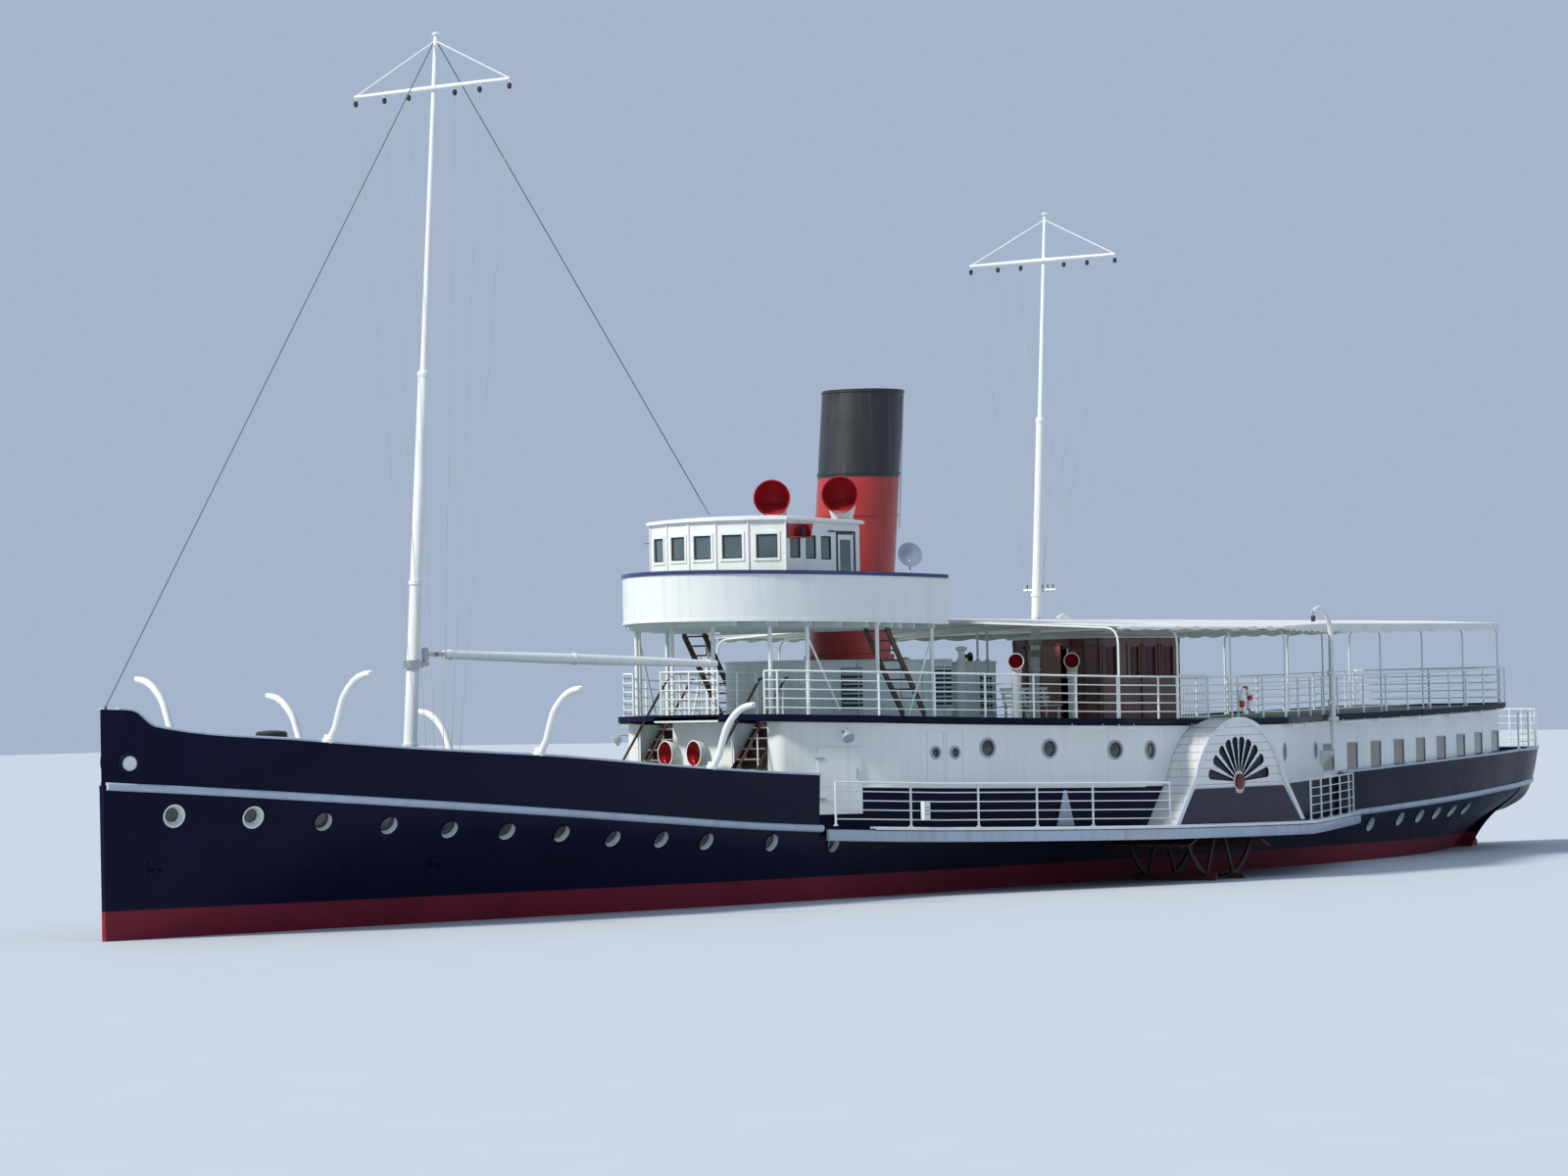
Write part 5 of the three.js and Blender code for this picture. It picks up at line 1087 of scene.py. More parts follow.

# Paddle wheels and shaft. Two iron rims on spokes carry eight wooden floats of three planks each;
# the wheels are keyed to one steel shaft that crosses the ship.
# The wheels' ironwork is painted an almost black red: painted shade for the dark under the sponsons.
wheel_painted_shade = painted("wheel_painted_shade", (0.028, 0.008, 0.010), (0.05, 0.03, 0.025), 0.3, 0.5, 0.6, 0.3)
float_wood = painted("float_wood", (0.11, 0.035, 0.03), (0.04, 0.03, 0.025), 0.3, 0.5, 0.6, 0.4)
bare_steel = painted("bare_steel", (0.45, 0.45, 0.46), (0.12, 0.08, 0.05), 0.1, 0.3, 0.3, 0.1, 0, 0.9)
PADDLE = {"hub": 0.36, "rim": 1.62, "wheel": 2.03, "float": 0.44, "inner": 4.3, "outer": 6.72}
FLOATS = 8
spokes = []
for i in range(FLOATS):
    a = 2 * math.pi * (i + 0.5) / FLOATS
    way = Vector((math.cos(a), 0, math.sin(a)))
    spokes.append((way, way.cross(Vector((0, 1, 0)))))
for side, sign in SIDES:
    wheel = Piece()
    for y in (PADDLE["inner"] + 0.35, PADDLE["outer"] - 0.35):
        hub = Vector((PADDLE_X, sign * y, SHAFT_Z))
        axle = facing((PADDLE_X, sign * y, SHAFT_Z), (0, 1, 0))
        wheel.band(PADDLE["rim"] - 0.06, PADDLE["rim"] + 0.06, 0.035, axle, wheel_painted_shade, 64)
        boss = [(0.133, -0.14), (0.24, -0.14), (0.26, -0.06), (PADDLE["hub"], -0.05)]
        wheel.turned(boss + [(r, -h) for r, h in boss[::-1]], axle, wheel_painted_shade, 32, ring=True)
        for way, flat in spokes:
            ends = [hub + way * r for r in (PADDLE["hub"] + 0.002, PADDLE["rim"] - 0.062)]
            wheel.beam(*ends, 0.06, 0.1, wheel_painted_shade, flat)
            ends = [hub + way * r for r in (PADDLE["rim"] + 0.062, 1.95)]
            wheel.beam(*ends, 0.07, 0.12, wheel_painted_shade, flat)
    for way, flat in spokes:
        for k in range(3):
            near = PADDLE["wheel"] - PADDLE["float"] + k * 0.147
            middle = Vector((PADDLE_X, 0, SHAFT_Z)) + way * (near + 0.07) + flat * 0.068
            ends = [middle + Vector((0, sign * PADDLE[end], 0)) for end in ("inner", "outer")]
            wheel.beam(*ends, 0.143, 0.05, float_wood, flat)
    fit(wheel.shape("paddle_wheel_ironwork_" + side), "paddles", "bottom_red", "paddle_wheel_" + side)
shaft = Piece()
half_shaft = [(0.12, 6.73), (0.13, 6.71), (0.13, 3.6), (0.125, 3.6)]
profile = [(r, -h) for r, h in half_shaft] + [(0.125, 2.0), (0.13, 2.0)]
profile += [(r, h) for r, h in half_shaft[1::-1]]
shaft.turned(profile, shaft_place, bare_steel, 24)
fit(shaft.shape("paddle_shaft_turned"), "paddles", "bare_steel", "paddle_shaft")

# Engine. It stands in the open well below the engine casing, out of sight, so the solid itself is
# shown, as one grey block of cast iron round the shaft.
machinery_grey = painted("machinery_grey", (0.22, 0.25, 0.24), (0.10, 0.08, 0.06), 0.1, 0.3, 0.4, 0.15)
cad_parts["engine"].data.materials.clear()
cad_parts["engine"].data.materials.append(machinery_grey)

# Promenade deck. Green painted planks on steel beams, with a navy fascia round the edge, a hole
# over each fore stair, and hooks for the pale weather strips under its after part.
promenade = Piece()
edge_radii = [0.4, 0.4, 0.7, 0.6, 0.6, 1.2, 0.2, 0.2, 0.5]
edge_plan = rounded(both_sides(PROMENADE), edge_radii + edge_radii[::-1])
deck_xs = sorted({round(x, 4) for x, y in edge_plan} | {*np.linspace(10.3, -24.8, 60)}, reverse=True)
port_edge = sorted(edge_plan[: len(edge_plan) // 2], key=lambda p: -p[0])
rows = []
for x in deck_xs:
    y = across_at(port_edge, x) - 0.06
    z = promenade_at(x)
    rows.append([(x, y, z - DECK), (x, y, z), (x, -y, z), (x, -y, z - DECK)])
faces = promenade.skin(rows, white_paint)
for i, face in enumerate(faces[:-2]):
    if i % 4 == 1:
        face.material_index = promenade.number(green_deck)
    if i % 4 in (0, 2):
        face.material_index = promenade.number(navy_topsides)
promenade = promenade.shape("promenade_planking", 30)
wells = Piece()
STAIR_WELL_AFT, STAIR_WELL_FORE = 8.75, 11
DRUM_WELL_HALF = 0.98  # where the tops of the paddle boxes come through
for sign in (1, -1):
    inner, outer = sign * (STAIR_Y - STAIR_HALF + 0.04), sign * (STAIR_Y + STAIR_HALF - 0.04)
    wells.board((STAIR_WELL_AFT, inner, 3.5), (STAIR_WELL_FORE, outer, 5), navy_topsides)
    drum_aft, drum_fore = PADDLE_X - DRUM_WELL_HALF, PADDLE_X + DRUM_WELL_HALF
    wells.board((drum_aft, sign * 4.03, 3.5), (drum_fore, sign * 6.4, 5), navy_topsides)
carve(promenade, wells, 30)
fit(promenade, "ship", "deck_green", "promenade_deck")
WEATHER_STRIPS = (
    (2.7, 1.6), (1.3, 0.55), (-7.2, -8.6), (-9.0, -10.3), (-13.4, -15.0), (-15.6, -17.2), (-18.0, -19.6),
    (-20.2, -22.0), (-22.5, -24.0),
)


def edging(piece, outer, inner, level, low, high, finish, ring=False, inner_high=None):
    """A strip between two plans, from low to high above a level that is a function of x."""
    inner_high = high if inner_high is None else inner_high
    rows = []
    for (x, y), (u, v) in zip(outer, inner):
        z = level(x)
        rows.append([(x, y, z + low), (x, y, z + high), (u, v, z + inner_high), (u, v, z + low)])
    piece.skin(rows, finish, ring)


deck_edge = Piece()
fascia_plan = divided(edge_plan, 0.9)
edging(deck_edge, fascia_plan, inset(fascia_plan, 0.035), promenade_at, -0.08, 0.055, navy_topsides, True)
for sign in (1, -1):
    z = promenade_at(DAVIT_X)
    lug = [(0.091, -0.1), (0.16, -0.1), (0.17, -0.03), (0.14, 0.0), (0.091, 0.0)]
    deck_edge.turned(lug, moved((DAVIT_X, sign * DAVIT_Y, z)), white_paint, 20, ring=True)
    arm = (DAVIT_X - 0.1, sign * (DAVIT_Y - 0.36), z - 0.1)
    deck_edge.board(arm, (DAVIT_X + 0.1, sign * (DAVIT_Y - 0.162), z - 0.02), white_paint)
    for x0, x1 in WEATHER_STRIPS:
        z0, z1 = promenade_at(x0) - 0.18, promenade_at(x1) - 0.18
        y0, y1 = across_at(PROMENADE, x0) - 0.02, across_at(PROMENADE, x1) - 0.02
        deck_edge.beam((x0, sign * y0, z0), (x1, sign * y1, z1), 0.03, 0.05, white_paint)
        for s in (0.1, 0.9):
            hx, hy, hz = x0 + (x1 - x0) * s, y0 + (y1 - y0) * s, z0 + (z1 - z0) * s
            deck_edge.post((hx, sign * hy, hz + 0.026), hz + 0.098, 0.012, white_paint, 6)
fit(deck_edge.shape("deck_edge_fittings"), "ship", "white_paint")

# Rails of the promenade deck and the sponsons. Galvanised tube, painted white: five bars through
# round posts that stand on small flanges; the gates abreast the paddles have close upright bars.
RAIL_INSET = 0.09
RAIL_POST_XS = (
    7.88, 6.36, 4.96, 3.6, 2.4, 1.2, -0.6, -1.45, -2.9, -4.3, -5.5, -6.57, -8.4, -10.2, -12.0, -13.4,
    -14.92, -16.26, -17.58, -19.04, -20.4, -21.64, -23.0, -24.42, -24.8,
)
SPONSON_POST_XS = (9.6, 7.6, 5.75, 4.1, 2.5, 0.26, -6.4, -8.0, -9.6, -11.2, -12.8, -13.59)
GATE_LOW, GATE_HIGH = 0.1, RAIL_HEIGHT + 0.06
LOUVRE_BOX_X = 7.3
GATE_FORE, GATE_AFT = -1.5, -2.86


def flush_foot(x, y):
    """Height under a rail post of the promenade deck."""
    return promenade_at(x)


def gate_point(x, sign, height):
    """A point of the gate in a side rail, just outside the line of the rail."""
    return (x, sign * (across_at(PROMENADE, x) - RAIL_INSET + 0.03), promenade_at(x) + height)


def sponson_run(first, last):
    """The line of a sponson's rail between two places along the ship."""
    xs = sorted({first, last, *[x for x, y in SPONSON if last < x < first]}, reverse=True)
    return [(x, across_at(SPONSON, x) - 0.1) for x in xs]


rail_side = [(x, y - RAIL_INSET) for x, y in PROMENADE[2:]]
rail_side[-1] = (rail_side[-1][0] + RAIL_INSET, rail_side[-1][1])
rail_run = [(9.86, 1.98), (9.8, 2.32)] + rail_side
rail_run = rail_run + [(x, -y) for x, y in rail_run[::-1]]
promenade_rail = Piece()
railing(promenade_rail, rail_run, flush_foot, FIVE_BARS, 2.6, RAIL_POST_XS)
for sign in (1, -1):
    for x in np.arange(-1.58, -2.85, -0.13):
        ends = [gate_point(x, sign, h) for h in (GATE_LOW, GATE_HIGH)]
        promenade_rail.bar(ends, 0.014, white_paint, 6)
    for h in (GATE_LOW, GATE_HIGH):
        promenade_rail.bar([gate_point(x, sign, h) for x in (GATE_FORE, GATE_AFT)], 0.018, white_paint, 6)
rail_nodes = [part + side for part in ("fore_rail_", "side_rail_") for side, sign in SIDES]
fit(promenade_rail.shape("promenade_railing"), "ship", "white_paint", "promenade_rail", *rail_nodes)
front_half = STAIR_Y - STAIR_HALF - 0.06
stairhead = Piece()
front_run = [(8.72, -front_half), (10.2, -front_half), (10.2, front_half), (8.72, front_half)]
railing(stairhead, front_run, flush_foot, FIVE_BARS, 0.9)
fit(stairhead.shape("stairhead_railing"), "ship", "white_paint", "stairhead_rail")
for side, sign in SIDES:
    for end, first, last in (("fore", 9.6, 0.25), ("aft", -6.4, -13.6)):
        guard = Piece()
        run = [(x, sign * y) for x, y in sponson_run(first, last)]
        bars = [h - 0.05 for h in FIVE_BARS]
        railing(guard, run, lambda x, y: deck_at(x) + 0.052, bars, 2.0, SPONSON_POST_XS)
        if end == "fore":
            x, y, z = LOUVRE_BOX_X, across_at(SPONSON, LOUVRE_BOX_X) - 0.05, deck_at(LOUVRE_BOX_X)
            guard.board((x - 0.12, sign * y, z + 0.22), (x + 0.12, sign * (y + 0.1), z + 0.66), white_paint)
            for v in (0.34, 0.42, 0.5):
                low = (x - 0.08, sign * (y + 0.101), z + v)
                guard.board(low, (x + 0.08, sign * (y + 0.108), z + v + 0.03), frame_grey)
        guard = guard.shape("sponson_railing_" + end + "_" + side)
        fit(guard, "ship", "white_paint", "sponson_rail_" + end + "_" + side)

# Stairs. Teak treads with pale nosings, let into teak stringers. The two fore stairs also have
# risers, and round wooden handrails on white newels; the two bridge stairs are open and steeper.
FORE_STAIR_FOOT_X = 11.05
FORE_STAIR_HEAD_X = 8.81
BRIDGE_STAIR_FOOT_X = 4.95
BRIDGE_STAIR_HEAD = (6.5, 6.46)
BRIDGE_STAIR_Y = 2.78
stair_teak = painted("stair_teak", (0.085, 0.035, 0.022), (0.20, 0.12, 0.08), 0.25, 0.4, 0.45, 0.3, 0.1)
boarded(stair_teak, 1, 0, 0.25, 2.0, (0.03, 0.015, 0.01), 0.3, 0.3)
nosing = painted("tread_nosing", (0.45, 0.42, 0.38), (0.1, 0.08, 0.06), 0.1, 0.5, 0.5, 0.2)


def flight(piece, start, end, y, half, steps, rails):
    """A straight flight: stringers, treads with nosings, and risers and hand rails where rails is true."""
    (x0, z0), (x1, z1) = start, end
    way = math.copysign(1, x0 - x1)
    for side in (-1, 1):
        edge = y + side * (half - 0.02)
        string = [(x0, z0 + 0.02), (x0, z0 + 0.28), (x1, z1 + 0.08), (x1, z1 - 0.18)]
        piece.skin([[(x, edge + d, z) for x, z in string] for d in (-0.02, 0.02)], stair_teak)
        if rails:
            rail = [(x0 + 0.15, z0 + 0.92), (x0, z0 + 1.0), (x1, z1 + 1.0), (x1 - 0.1, z1 + 1.02)]
            piece.bar([(x, edge, z) for x, z in rail], 0.032, stair_teak, 8)
            middle, mid_z, head = (x0 + x1) / 2, (z0 + z1) / 2, x1 + 0.1 * way
            newels = ((x0, z0, 0.27, 0.024), (middle, mid_z, 0.19, 0.018), (head, z1, 0.1, 0.024))
            for x, z, low, radius in newels:
                piece.post((x, edge, z + low), z + 0.97, radius, white_paint)
    for i in range(1, steps):
        s = i / steps
        x = x0 + (x1 - x0) * s
        z = z0 + (z1 - z0) * s + 0.06
        if rails:
            back = x - 0.095 * way
            riser = (back - 0.008, y - half + 0.041, z - 0.21)
            piece.board(riser, (back + 0.008, y + half - 0.041, z - 0.002), stair_teak)
        tread = (x - 0.11, y - half + 0.041, z)
        piece.board(tread, (x + 0.11, y + half - 0.041, z + 0.04), stair_teak)
        front = x + 0.11 * way
        nosing_ends = [(front, y + v, z + 0.034) for v in (0.045 - half, half - 0.045)]
        piece.beam(*nosing_ends, 0.022, 0.02, nosing)


for side, sign in SIDES:
    stair = Piece()
    foot = (FORE_STAIR_FOOT_X, deck_at(FORE_STAIR_FOOT_X) - 0.01)
    head = (FORE_STAIR_HEAD_X, promenade_at(STAIR_WELL_AFT) - 0.06)
    flight(stair, foot, head, sign * STAIR_Y, 0.4, 10, True)
    fit(stair.shape("fore_stair_flight_" + side), "ship", "stair_wood", "fore_stair_" + side)
    stair = Piece()
    foot = (BRIDGE_STAIR_FOOT_X, promenade_at(BRIDGE_STAIR_FOOT_X) - 0.016)
    flight(stair, foot, BRIDGE_STAIR_HEAD, sign * BRIDGE_STAIR_Y, 0.34, 10, False)
    fit(stair.shape("bridge_stair_flight_" + side), "ship", "stair_wood", "bridge_stair_" + side)

# Casings. Grey steel boxes over the boiler and engine rooms, with rounded fore ends, louvred vents
# and flat steel lids.
casing_grey = painted("casing_grey", (0.60, 0.68, 0.66), (0.30, 0.29, 0.26), 0.08, 0.3, 0.4, 0.15, 0.1)
# Behind each vent's louvres is a flat near-black plate: painted shade for the dark opening behind them.
vent_painted_shade = painted("vent_painted_shade", (0.02, 0.025, 0.025), (0.05, 0.05, 0.05), 0.2, 0.3, 0.7, 0.1)
CASINGS = {
    # fore end, after end, half-breadth, height, radius of the fore corners
    "fore_casing": (7.6, 1.5, 1.5, 1.42, 1.3), "engine_casing": (0.9, -0.75, 1.28, 1.55, 0.15),
}
LOUVRES = 9
casing_top = {}
for name, (fore, aft, half, height, bow) in CASINGS.items():
    large = name == "fore_casing"
    low = max(promenade_at(fore), promenade_at(aft)) + 2 * SEAT
    casing_top[name] = low + height
    plan = rounded([(fore, -half), (fore, half), (aft, half), (aft, -half)], [bow, bow, 0.08, 0.08])
    casing = Piece()
    casing.skin([[(x, y, z) for x, y in plan] for z in (low, low + height - 0.05)], casing_grey)
    lid = ((-0.03, height - 0.048), (-0.03, height - 0.01), (0.01, height))
    casing.skin([[(x, y, low + up) for x, y in inset(plan, d)] for d, up in lid], casing_grey)
    for sign in (1, -1):
        wide = 0.42 if large else 0.25
        for x in (fore - bow - 0.55, aft + 0.5) if large else (aft + 0.5,):
            spot = abeam(x, half + 0.002, low + 0.72, sign)
            casing.plate(rectangle(-wide, -0.5, wide, 0.5), 0.015, spot, vent_painted_shade)
            for k in range(LOUVRES):
                ends = [spot @ Vector((u, -0.46 + k * 0.115, 0.03)) for u in (-wide, wide)]
                casing.beam(*ends, 0.09, 0.012, casing_grey, (0, sign * 0.6, 0.8))
        if large:
            spot = abeam(fore - bow - 2.0, half + 0.002, low + 0.7, sign)
            casing.plate(rectangle(-0.35, -0.6, 0.35, 0.55), 0.03, spot, casing_grey)
            for v in (-0.35, 0.3):
                hinge = rectangle(-0.42, v, -0.25, v + 0.05)
                casing.plate(hinge, 0.02, spot @ moved((0, 0, 0.033)), casing_grey)
        for x in np.arange(aft + 0.4, fore - bow, 0.9):
            foot = (x, sign * (half + 0.014), low + 0.03)
            casing.beam(foot, (*foot[:2], low + height - 0.06), 0.03, 0.02, casing_grey, (0, 1, 0))
    fit(casing.shape(name + "_steel", 30), "ship", "casing_grey", name)

# Bridge. A white steel platform with a bowed bulwark under a navy capping, carried over the fore
# end of the promenade deck on thin pillars with raking struts; its deck is painted green.
BRIDGE = {"aft": 4.75, "fore": 11.2, "half": 3.7, "z": 6.52, "height": 1.2, "slab": 0.1}
BRIDGE_POSTS = ((10.05, 0.62), (9.66, 2.02), (8.9, 2.55), (7.0, 3.2), (5.1, 3.44))
BRIDGE_STRUTS = (((8.9, 2.55), (8.0, 2.8), 0.2), ((5.1, 3.44), (5.95, 3.3), 0.05))
BRIDGE_HATCH = ((5.55, 2.38, 6.2), (6.6, 3.18, 6.9))  # two corners of the hole over a bridge stair
trim_navy = painted("trim_navy", (0.026, 0.036, 0.15), (0.05, 0.05, 0.08), 0.15, 0.2, 0.3, 0.1, 0.3)


def bridge_at(x):
    """Underside of the bridge deck, which follows the ship's sheer."""
    return BRIDGE["z"] + 0.02 * (x - 8)


def bow_of(outset, steps=28):
    """Half an ellipse round the fore end of the bridge, from starboard to port, moved out by outset."""
    turn = [math.pi * (k / steps - 0.5) for k in range(steps + 1)]
    reach, half = BRIDGE_REACH + outset, BRIDGE["half"] + outset
    return [(BRIDGE["aft"] + reach * math.cos(a), half * math.sin(a)) for a in turn]


BRIDGE_REACH = BRIDGE["fore"] - BRIDGE["aft"]
outer = bow_of(0)
bridge = Piece()
rows = []
for x, y in outer[len(outer) // 2 + 1:]:
    z = bridge_at(x)
    port, top = y - 0.02, z + BRIDGE["slab"]
    rows.append([(x, port, z), (x, port, top), (x, -port, top), (x, -port, z)])
faces = bridge.skin(rows, casing_grey)
for i, face in enumerate(faces[:-2]):
    if i % 4 == 1:
        face.material_index = bridge.number(green_deck)
floor = bridge.shape("bridge_deck", 30)
hatches = Piece()
for sign in (1, -1):
    hatches.board(*[(x, sign * y, z) for x, y, z in BRIDGE_HATCH], casing_grey)
carve(floor, hatches, 30)
fit(floor, "ship", "deck_green")
bridge = Piece()
rows = []
for (x, y), (u, v) in zip(outer, bow_of(-0.06)):
    z = bridge_at(x)
    top = z + BRIDGE["height"] - 0.1
    rows.append([(x, y, z), (x, y, top), (u, v, top), (u, v, z + 0.104), (u, v, z)])
bridge.skin(rows, white_paint)


def bridge_rail(x):
    """Height of the top of the bridge's bulwark."""
    return bridge_at(x) + BRIDGE["height"]


edging(bridge, bow_of(0.03), bow_of(-0.1), bridge_rail, -0.098, -0.01, trim_navy, inner_high=0)
edging(bridge, bow_of(0.02), outer, bridge_at, -0.01, 0.05, white_paint)
for x, y in BRIDGE_POSTS:
    for sign in (1, -1):
        foot = (x, sign * y, promenade_at(x) + SEAT)
        head = (x, sign * y, bridge_at(x) - SEAT)
        bridge.bar([foot, head], 0.05, white_paint, 12)
        bridge.turned([(0.1, 0), (0.1, 0.03), (0.06, 0.05)], moved(foot), white_paint, 12)
        bridge.turned([(0.06, -0.08), (0.11, 0)], moved(head), white_paint, 12)
for (x, y), (foot_x, foot_y), rise in BRIDGE_STRUTS:
    for sign in (1, -1):
        foot = (foot_x, sign * foot_y, promenade_at(foot_x) + rise)
        bridge.bar([(x, sign * y, bridge_at(x) - 0.35), foot], 0.028, white_paint, 8)
for x in np.arange(5.2, 11.0, 0.75):
    half = BRIDGE["half"] * math.sqrt(max(0.0, 1 - ((x - BRIDGE["aft"]) / BRIDGE_REACH) ** 2)) - 0.1
    if half > 0.4:
        low, high = bridge_at(x) - 0.12, bridge_at(x) - SEAT
        bridge.board((x - 0.03, -half, low), (x + 0.03, half, high), casing_grey)
fit(bridge.shape("bridge_bulwark", 35), "ship", "white_paint", "bridge")

# Wheelhouse. A white wooden cabin with a faceted front of five windows in raised frames, three
# plain windows and a glazed door on each side, under a cambered roof with a thin overhanging edge.
WHEELHOUSE = {"aft": 6.05, "side": 9.0, "fore": 9.6, "half": 2.04, "height": 2.34}
WINDOW = {"low": 1.42, "high": 1.98, "half": 0.255}
SIDE_WINDOWS = (8.62, 8.0, 7.4)
DOOR = {"hinge": 6.94, "free": 6.29, "gap": 0.008, "thick": 0.05, "height": 1.98}
window_glass = painted("window_glass", (0.07, 0.10, 0.11), (0.05, 0.05, 0.05), 0.5, 0.1, 0.06, 0.02, 1.0)
rubber_black = painted("rubber_black", (0.02, 0.02, 0.022), (0.08, 0.07, 0.06), 0.1, 0.3, 0.6, 0.1)


def wheelhouse_floor(x):
    """Height of the wheelhouse's foot at x."""
    return bridge_at(x) + BRIDGE["slab"] + SEAT


def wheelhouse_top(x):
    """Height of the top of the wheelhouse's walls at x."""
    return wheelhouse_floor(x) + WHEELHOUSE["height"]


front = []
for i in range(6):
    s = 2 * i / 5 - 1
    bowed = (WHEELHOUSE["side"] - WHEELHOUSE["fore"]) * s * s
    front.append((WHEELHOUSE["fore"] + bowed, WHEELHOUSE["half"] * s))
cabin_plan = front + [(WHEELHOUSE["aft"], WHEELHOUSE["half"]), (WHEELHOUSE["aft"], -WHEELHOUSE["half"])]
cabin = Piece()
walls(cabin, cabin_plan, WALL, [wheelhouse_floor, wheelhouse_top], [white_paint])
cabin = cabin.shape("wheelhouse_walls", 12)
panes = []
for (x0, y0), (x1, y1) in zip(front, front[1:]):
    middle = Vector(((x0 + x1) / 2, (y0 + y1) / 2, 0))
    middle.z = wheelhouse_floor(middle.x) + (WINDOW["low"] + WINDOW["high"]) / 2
    panes.append((facing(middle, (y1 - y0, x0 - x1, 0)), WINDOW["half"], True))
for x in SIDE_WINDOWS:
    for sign in (1, -1):
        z = wheelhouse_floor(x) + (WINDOW["low"] + WINDOW["high"]) / 2
        panes.append((abeam(x, WHEELHOUSE["half"], z, sign), 0.2, False))
openings = Piece()
glazing = Piece()
tall = (WINDOW["high"] - WINDOW["low"]) / 2
for spot, half, raised in panes:
    openings.plate(rectangle(-half, -tall, half, tall), 0.5, spot @ moved((0, 0, -0.25)), white_paint)
    surround(glazing, spot, half - 0.03, tall - 0.03, 0.027, -0.05, 0.0, rubber_black)
    pane = rectangle(-half + 0.031, -tall + 0.031, half - 0.031, tall - 0.031)
    glazing.plate(pane, 0.012, spot @ moved((0, 0, -0.035)), window_glass)
    if raised:
        surround(glazing, spot, half + 0.005, tall + 0.005, 0.06, 0.003, 0.025, white_paint)
doorway_z = wheelhouse_floor(DOOR["free"]) + 0.06
doorway_top = doorway_z + DOOR["height"] + 0.04
openings.board((DOOR["free"], -3, doorway_z), (DOOR["hinge"], 3, doorway_top), white_paint)
carve(cabin, openings, 12)
fit(cabin, "ship", "white_paint", "wheelhouse")
fit(glazing.shape("wheelhouse_glazing"), "ship", "white_paint")
cabin_trim = Piece()
plinth = [inset(cabin_plan, d)[: len(front)] for d in (-0.03, -0.003)]
edging(cabin_trim, *plinth, wheelhouse_floor, 0, 0.12, white_paint, inner_high=0.14)
for x, y in front:
    z0, z1 = wheelhouse_floor(x) + 0.15, wheelhouse_top(x) - 0.02
    cabin_trim.post((x + 0.012, y * 1.006, z0), z1, 0.022, white_paint)
side_red = painted("port_light_red", (0.33, 0.012, 0.012), (0.1, 0.02, 0.02), 0.1, 0.2, 0.35, 0.1, 0.3)
side_green = painted(
    "starboard_light_green", (0.01, 0.14, 0.06), (0.02, 0.06, 0.03), 0.1, 0.2, 0.35, 0.1, 0.3
)
LIGHT_BOARD_FORE, LIGHT_BOARD_AFT, LIGHT_BOARD_TALL = 8.95, 8.3, 0.34
for sign, colour in ((1, side_red), (-1, side_green)):
    y0 = sign * (WHEELHOUSE["half"] + 0.004)
    z = wheelhouse_top(LIGHT_BOARD_AFT) - 0.1
    low = z - LIGHT_BOARD_TALL
    back = [(LIGHT_BOARD_FORE, z), (LIGHT_BOARD_AFT, z), (LIGHT_BOARD_AFT, low), (LIGHT_BOARD_FORE, low)]
    cabin_trim.skin([[(x, y0 + sign * d, h) for x, h in back] for d in (0, 0.03)], colour)
    end = ((0.031, z), (0.3, z), (0.22, low), (0.031, low))
    cabin_trim.skin([[(LIGHT_BOARD_AFT + d, y0 + sign * u, h) for u, h in end] for d in (0, 0.02)], colour)
    shelf = (8.32, y0 + sign * 0.031, z - 0.335)
    lamp = [(0.07, 0), (0.07, 0.03), (0.055, 0.04), (0.055, 0.17), (0.07, 0.18), (0.03, 0.23)]
    cabin_trim.turned(lamp, moved((8.5, y0 + sign * 0.14, z - 0.3)), rubber_black, 14)
    cabin_trim.board(shelf, (8.94, y0 + sign * 0.26, z - 0.315), colour)
    grip = [(x, y0 + sign * 0.05, z - 0.16) for x in (7.1, 7.35)]
    cabin_trim.bar(grip, 0.02, rubber_black, 8)
    doorway = abeam((DOOR["free"] + DOOR["hinge"]) / 2, WHEELHOUSE["half"], doorway_z + 1.01, sign)
    jamb_half = (DOOR["hinge"] - DOOR["free"]) / 2 + 0.004
    surround(cabin_trim, doorway, jamb_half, 1.014, 0.05, 0.003, 0.018, rubber_black)
fit(cabin_trim.shape("wheelhouse_trim"), "ship", "white_paint")
ROOF_CAMBER = (
    # share of the way in to the middle, rise above the walls
    (0, 0.003), (0, 0.05), (0.02, 0.07), (0.25, 0.11), (0.5, 0.14), (0.75, 0.165), (0.97, 0.172),
)
ROOF_MIDDLE_X = 7.8
roof = Piece()
eaves = divided(inset(cabin_plan, -0.07), 0.5)
rows = []
for shrink, up in ROOF_CAMBER:
    drawn_in = [(x + (ROOF_MIDDLE_X - x) * shrink, y * (1 - shrink)) for x, y in eaves]
    rows.append([(x, y, wheelhouse_top(x) + up) for x, y in drawn_in])
roof.skin(rows, white_paint)
lip = [divided(inset(cabin_plan, d), 0.5) for d in (-0.09, -0.073)]
edging(roof, *lip, wheelhouse_top, -0.02, 0.045, white_paint, ring=True)
fit(roof.shape("wheelhouse_roofing", 30), "ship", "white_paint", "wheelhouse_roof")
